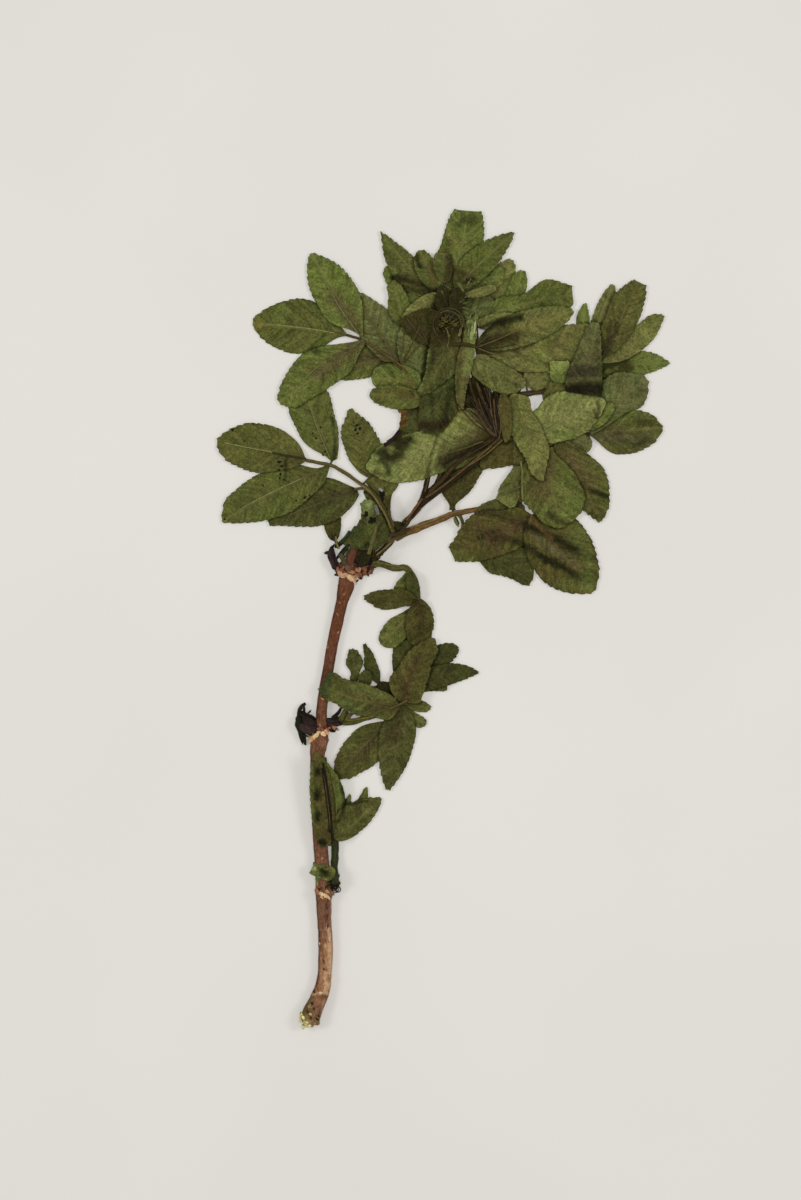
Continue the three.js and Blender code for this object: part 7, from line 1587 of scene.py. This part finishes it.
def add_fan():
    """The dried leaf stalks that fan out above the point where the bundle ends."""
    rng = np.random.default_rng(73)
    for k in range(FAN):
        f = (k + rng.uniform(0, 1)) / FAN
        root = FAN_AT + rng.uniform(-0.8, 0.8, 2)
        reach = rng.uniform(11, 21) * (1 - 0.15 * f)
        tip = root + reach * heading(math.radians(139 - 50 * f))
        middle = (root + tip) / 2 + rng.uniform(-1.3, 1.3, 2)
        plan = smooth_line([*root, *middle, *tip], 0.7)
        radii = np.linspace(0.22, 0.12, len(plan)) * rng.uniform(0.7, 1.3)
        path = np.column_stack([plan, settle_line(plan, radii, STRAND_REST) - 0.12])
        add_tube(bodies["shoot"], path, radii, linear(FAN_TONES[k % 5]), sides=6)


def add_shreds_and_highlights():
    for k, (x, y, u, v, width, tone) in enumerate(SHREDS_AND_HIGHLIGHTS, 900):
        root, tip = (x, y, height_at(x, y) + 0.25), (u, v, height_at(u, v) + 0.5)
        add_flake(bodies["leaf_e"], root, tip, width, 0.3, linear(tone), k, slot=1)


def add_threads_and_highlights():
    """The thin strands, some of them painted highlights along stalks, and the specks, each of three short
    flat strokes.
    """
    rng = np.random.default_rng(71)
    for name, pairs, radius, tone in THREADS_AND_HIGHLIGHTS:
        plan = smooth_line(pairs, 0.7)
        radii = radius * (1 + 0.15 * wobble(len(plan), 1, 3.0, 8))
        path = np.column_stack([plan, settle_line(plan, radii, STRAND_REST) - 0.1])
        tint = linear(tone) * rng.uniform(0.9, 1.1)
        add_tube(bodies[name], path, radii, tint, sides=7, slot=0 if name == "shoot" else 1)
    for name, numbers in SPECKS.items():
        for x, y, r in np.array(numbers).reshape(-1, 3):
            z = height_at(x, y)
            for _ in range(3):
                middle = np.array([x, y]) + rng.uniform(-0.5, 0.5, 2) * r
                step = heading(rng.uniform(0, np.pi)) * r * 0.5
                path = [[*(middle - step), z + 0.02], [*middle, z + 0.1], [*(middle + step), z + 0.02]]
                add_tube(bodies[name], path, np.array([0.5, 0.8, 0.5]) * r * 0.7, linear(SPECK_TONE),
                         sides=8, flatness=0.3, slot=1)


def build_flower_cluster():
    """Thin stalks that arch over one another round the same base, with small buds among them."""
    rng = np.random.default_rng(51)
    body = bodies["flower_cluster"]
    for k in range(RAYS):
        turn = np.radians(rng.uniform(-18, 198)) + rng.uniform(-0.4, 0.4) * np.linspace(0, 1, 8)
        size = np.linspace(rng.uniform(0.8, 2.8), rng.uniform(3.6, 5.8), 8)
        plan = FLOWERS_AT + np.column_stack([size * np.cos(turn), size * np.sin(turn)])
        radii = np.linspace(0.2, 0.1, 8) * rng.uniform(0.8, 1.3)
        path = np.column_stack([plan, settle_line(plan, radii) + rng.uniform(-0.1, 0.3)])
        add_tube(body, path, radii, linear(RAY_TONES[k % 6]), sides=6, rough=0.2, seed=160 + k)
    for k in range(ARCHES):
        size = 4.2 + 2.0 * (k + rng.uniform(0, 0.8)) / ARCHES
        turn = np.radians(np.linspace(204 + rng.uniform(-14, 16), -20 + rng.uniform(-24, 20), 26))
        x = FLOWERS_AT[0] + size * np.cos(turn) + 0.5 * rng.uniform(-1, 1)
        y = FLOWERS_AT[1] + size * np.sin(turn) + 0.4 * rng.uniform(-1, 1)
        radii = np.full(len(turn), rng.uniform(0.12, 0.2))
        plan = np.column_stack([x, y])
        path = np.column_stack([plan, settle_line(plan, radii)])
        add_tube(body, path, radii, linear(ARCH_TONES[k % 5]), sides=7, rough=0.2, seed=60 + k)
        if k % 3 == 2:
            stamp_line(path, radii * 0.6)
    for k in range(FLOWER_BUDS):
        turn, away = rng.uniform(0, 2 * np.pi), 4.0 * math.sqrt(rng.uniform(0, 1))
        root = FLOWERS_AT + away * heading(turn)
        z = height_at(*root) + rng.uniform(0.3, 0.6)
        lean = rng.uniform(-0.5, 0.5, 2)
        path = [[*root, z], [*(root + lean), z + 0.3], [*(root + 2 * lean), z + 0.3]]
        radii = np.array([0.3, 0.5, 0.3]) * rng.uniform(0.7, 1.1)
        add_tube(body, path, radii, linear(FLOWER_BUD_TONES[k % 4]), sides=7)
    body.build("branch_flowers", [FIBRE], "flower_cluster", "flower")


add_fan()
add_threads_and_highlights()
add_shreds_and_highlights()
soft = blur(pile, 1.5)
for name in LEAFLETS:
    bodies[name].shadow_seams(soft)
    slot = "pale_leaf" if name in ("leaf_e", "leaf_j") else "leaf"
    bodies[name].build("branch_" + name, [LEAF, FIBRE], name, slot)
bodies["shoot"].build("branch_shoot", [FIBRE], "shoot", "dark_stalk")
build_flower_cluster()


# ---------------------------------------------------------------- stage, lights and camera
bpy.ops.mesh.primitive_plane_add(size=4, location=(0, 0, -0.05 * MM))
floor = bpy.context.object
floor.name = "floor"
floor.data.materials.append(paper_material())

world = bpy.data.worlds.new("world")
bpy.context.scene.world = world
world.use_nodes = True
world.node_tree.nodes["Background"].inputs["Color"].default_value = (1, 1, 1, 1)
world.node_tree.nodes["Background"].inputs["Strength"].default_value = 0.29


def lamp(name, place, size, power):
    """A round lamp that points at the origin."""
    light = bpy.data.lights.new(name, "AREA")
    light.shape = "DISK"
    light.size = size
    light.energy = power
    lamp_object = bpy.data.objects.new(name, light)
    lamp_object.location = place
    direction = -np.array(place)
    lamp_object.rotation_euler = (math.acos(direction[2] / np.linalg.norm(direction)) - math.pi, 0,
                                  math.atan2(direction[1], direction[0]) + math.pi / 2)
    bpy.context.scene.collection.objects.link(lamp_object)


lamp("left_lamp", (-1.1, 0.2, 1.1), 0.5, 4.5)
lamp("right_lamp", (1.1, 0.2, 1.1), 0.5, 4.5)
lamp("top_lamp", (-0.02, 0.01, 2.2), 0.6, 21.5)

# The camera looks straight down on a field of FRAME_HEIGHT, in metres.
CAMERA_AT = (-0.01585, 0.00634, 1.6)
FRAME_HEIGHT, SENSOR = 0.4474, 36
camera = bpy.data.cameras.new("camera")
camera.sensor_width = SENSOR
camera.lens = SENSOR * CAMERA_AT[2] / FRAME_HEIGHT
camera.clip_start = 0.05
camera_object = bpy.data.objects.new("camera", camera)
camera_object.location = CAMERA_AT
bpy.context.scene.collection.objects.link(camera_object)
bpy.context.scene.camera = camera_object
bpy.context.scene.view_settings.view_transform = "Standard"
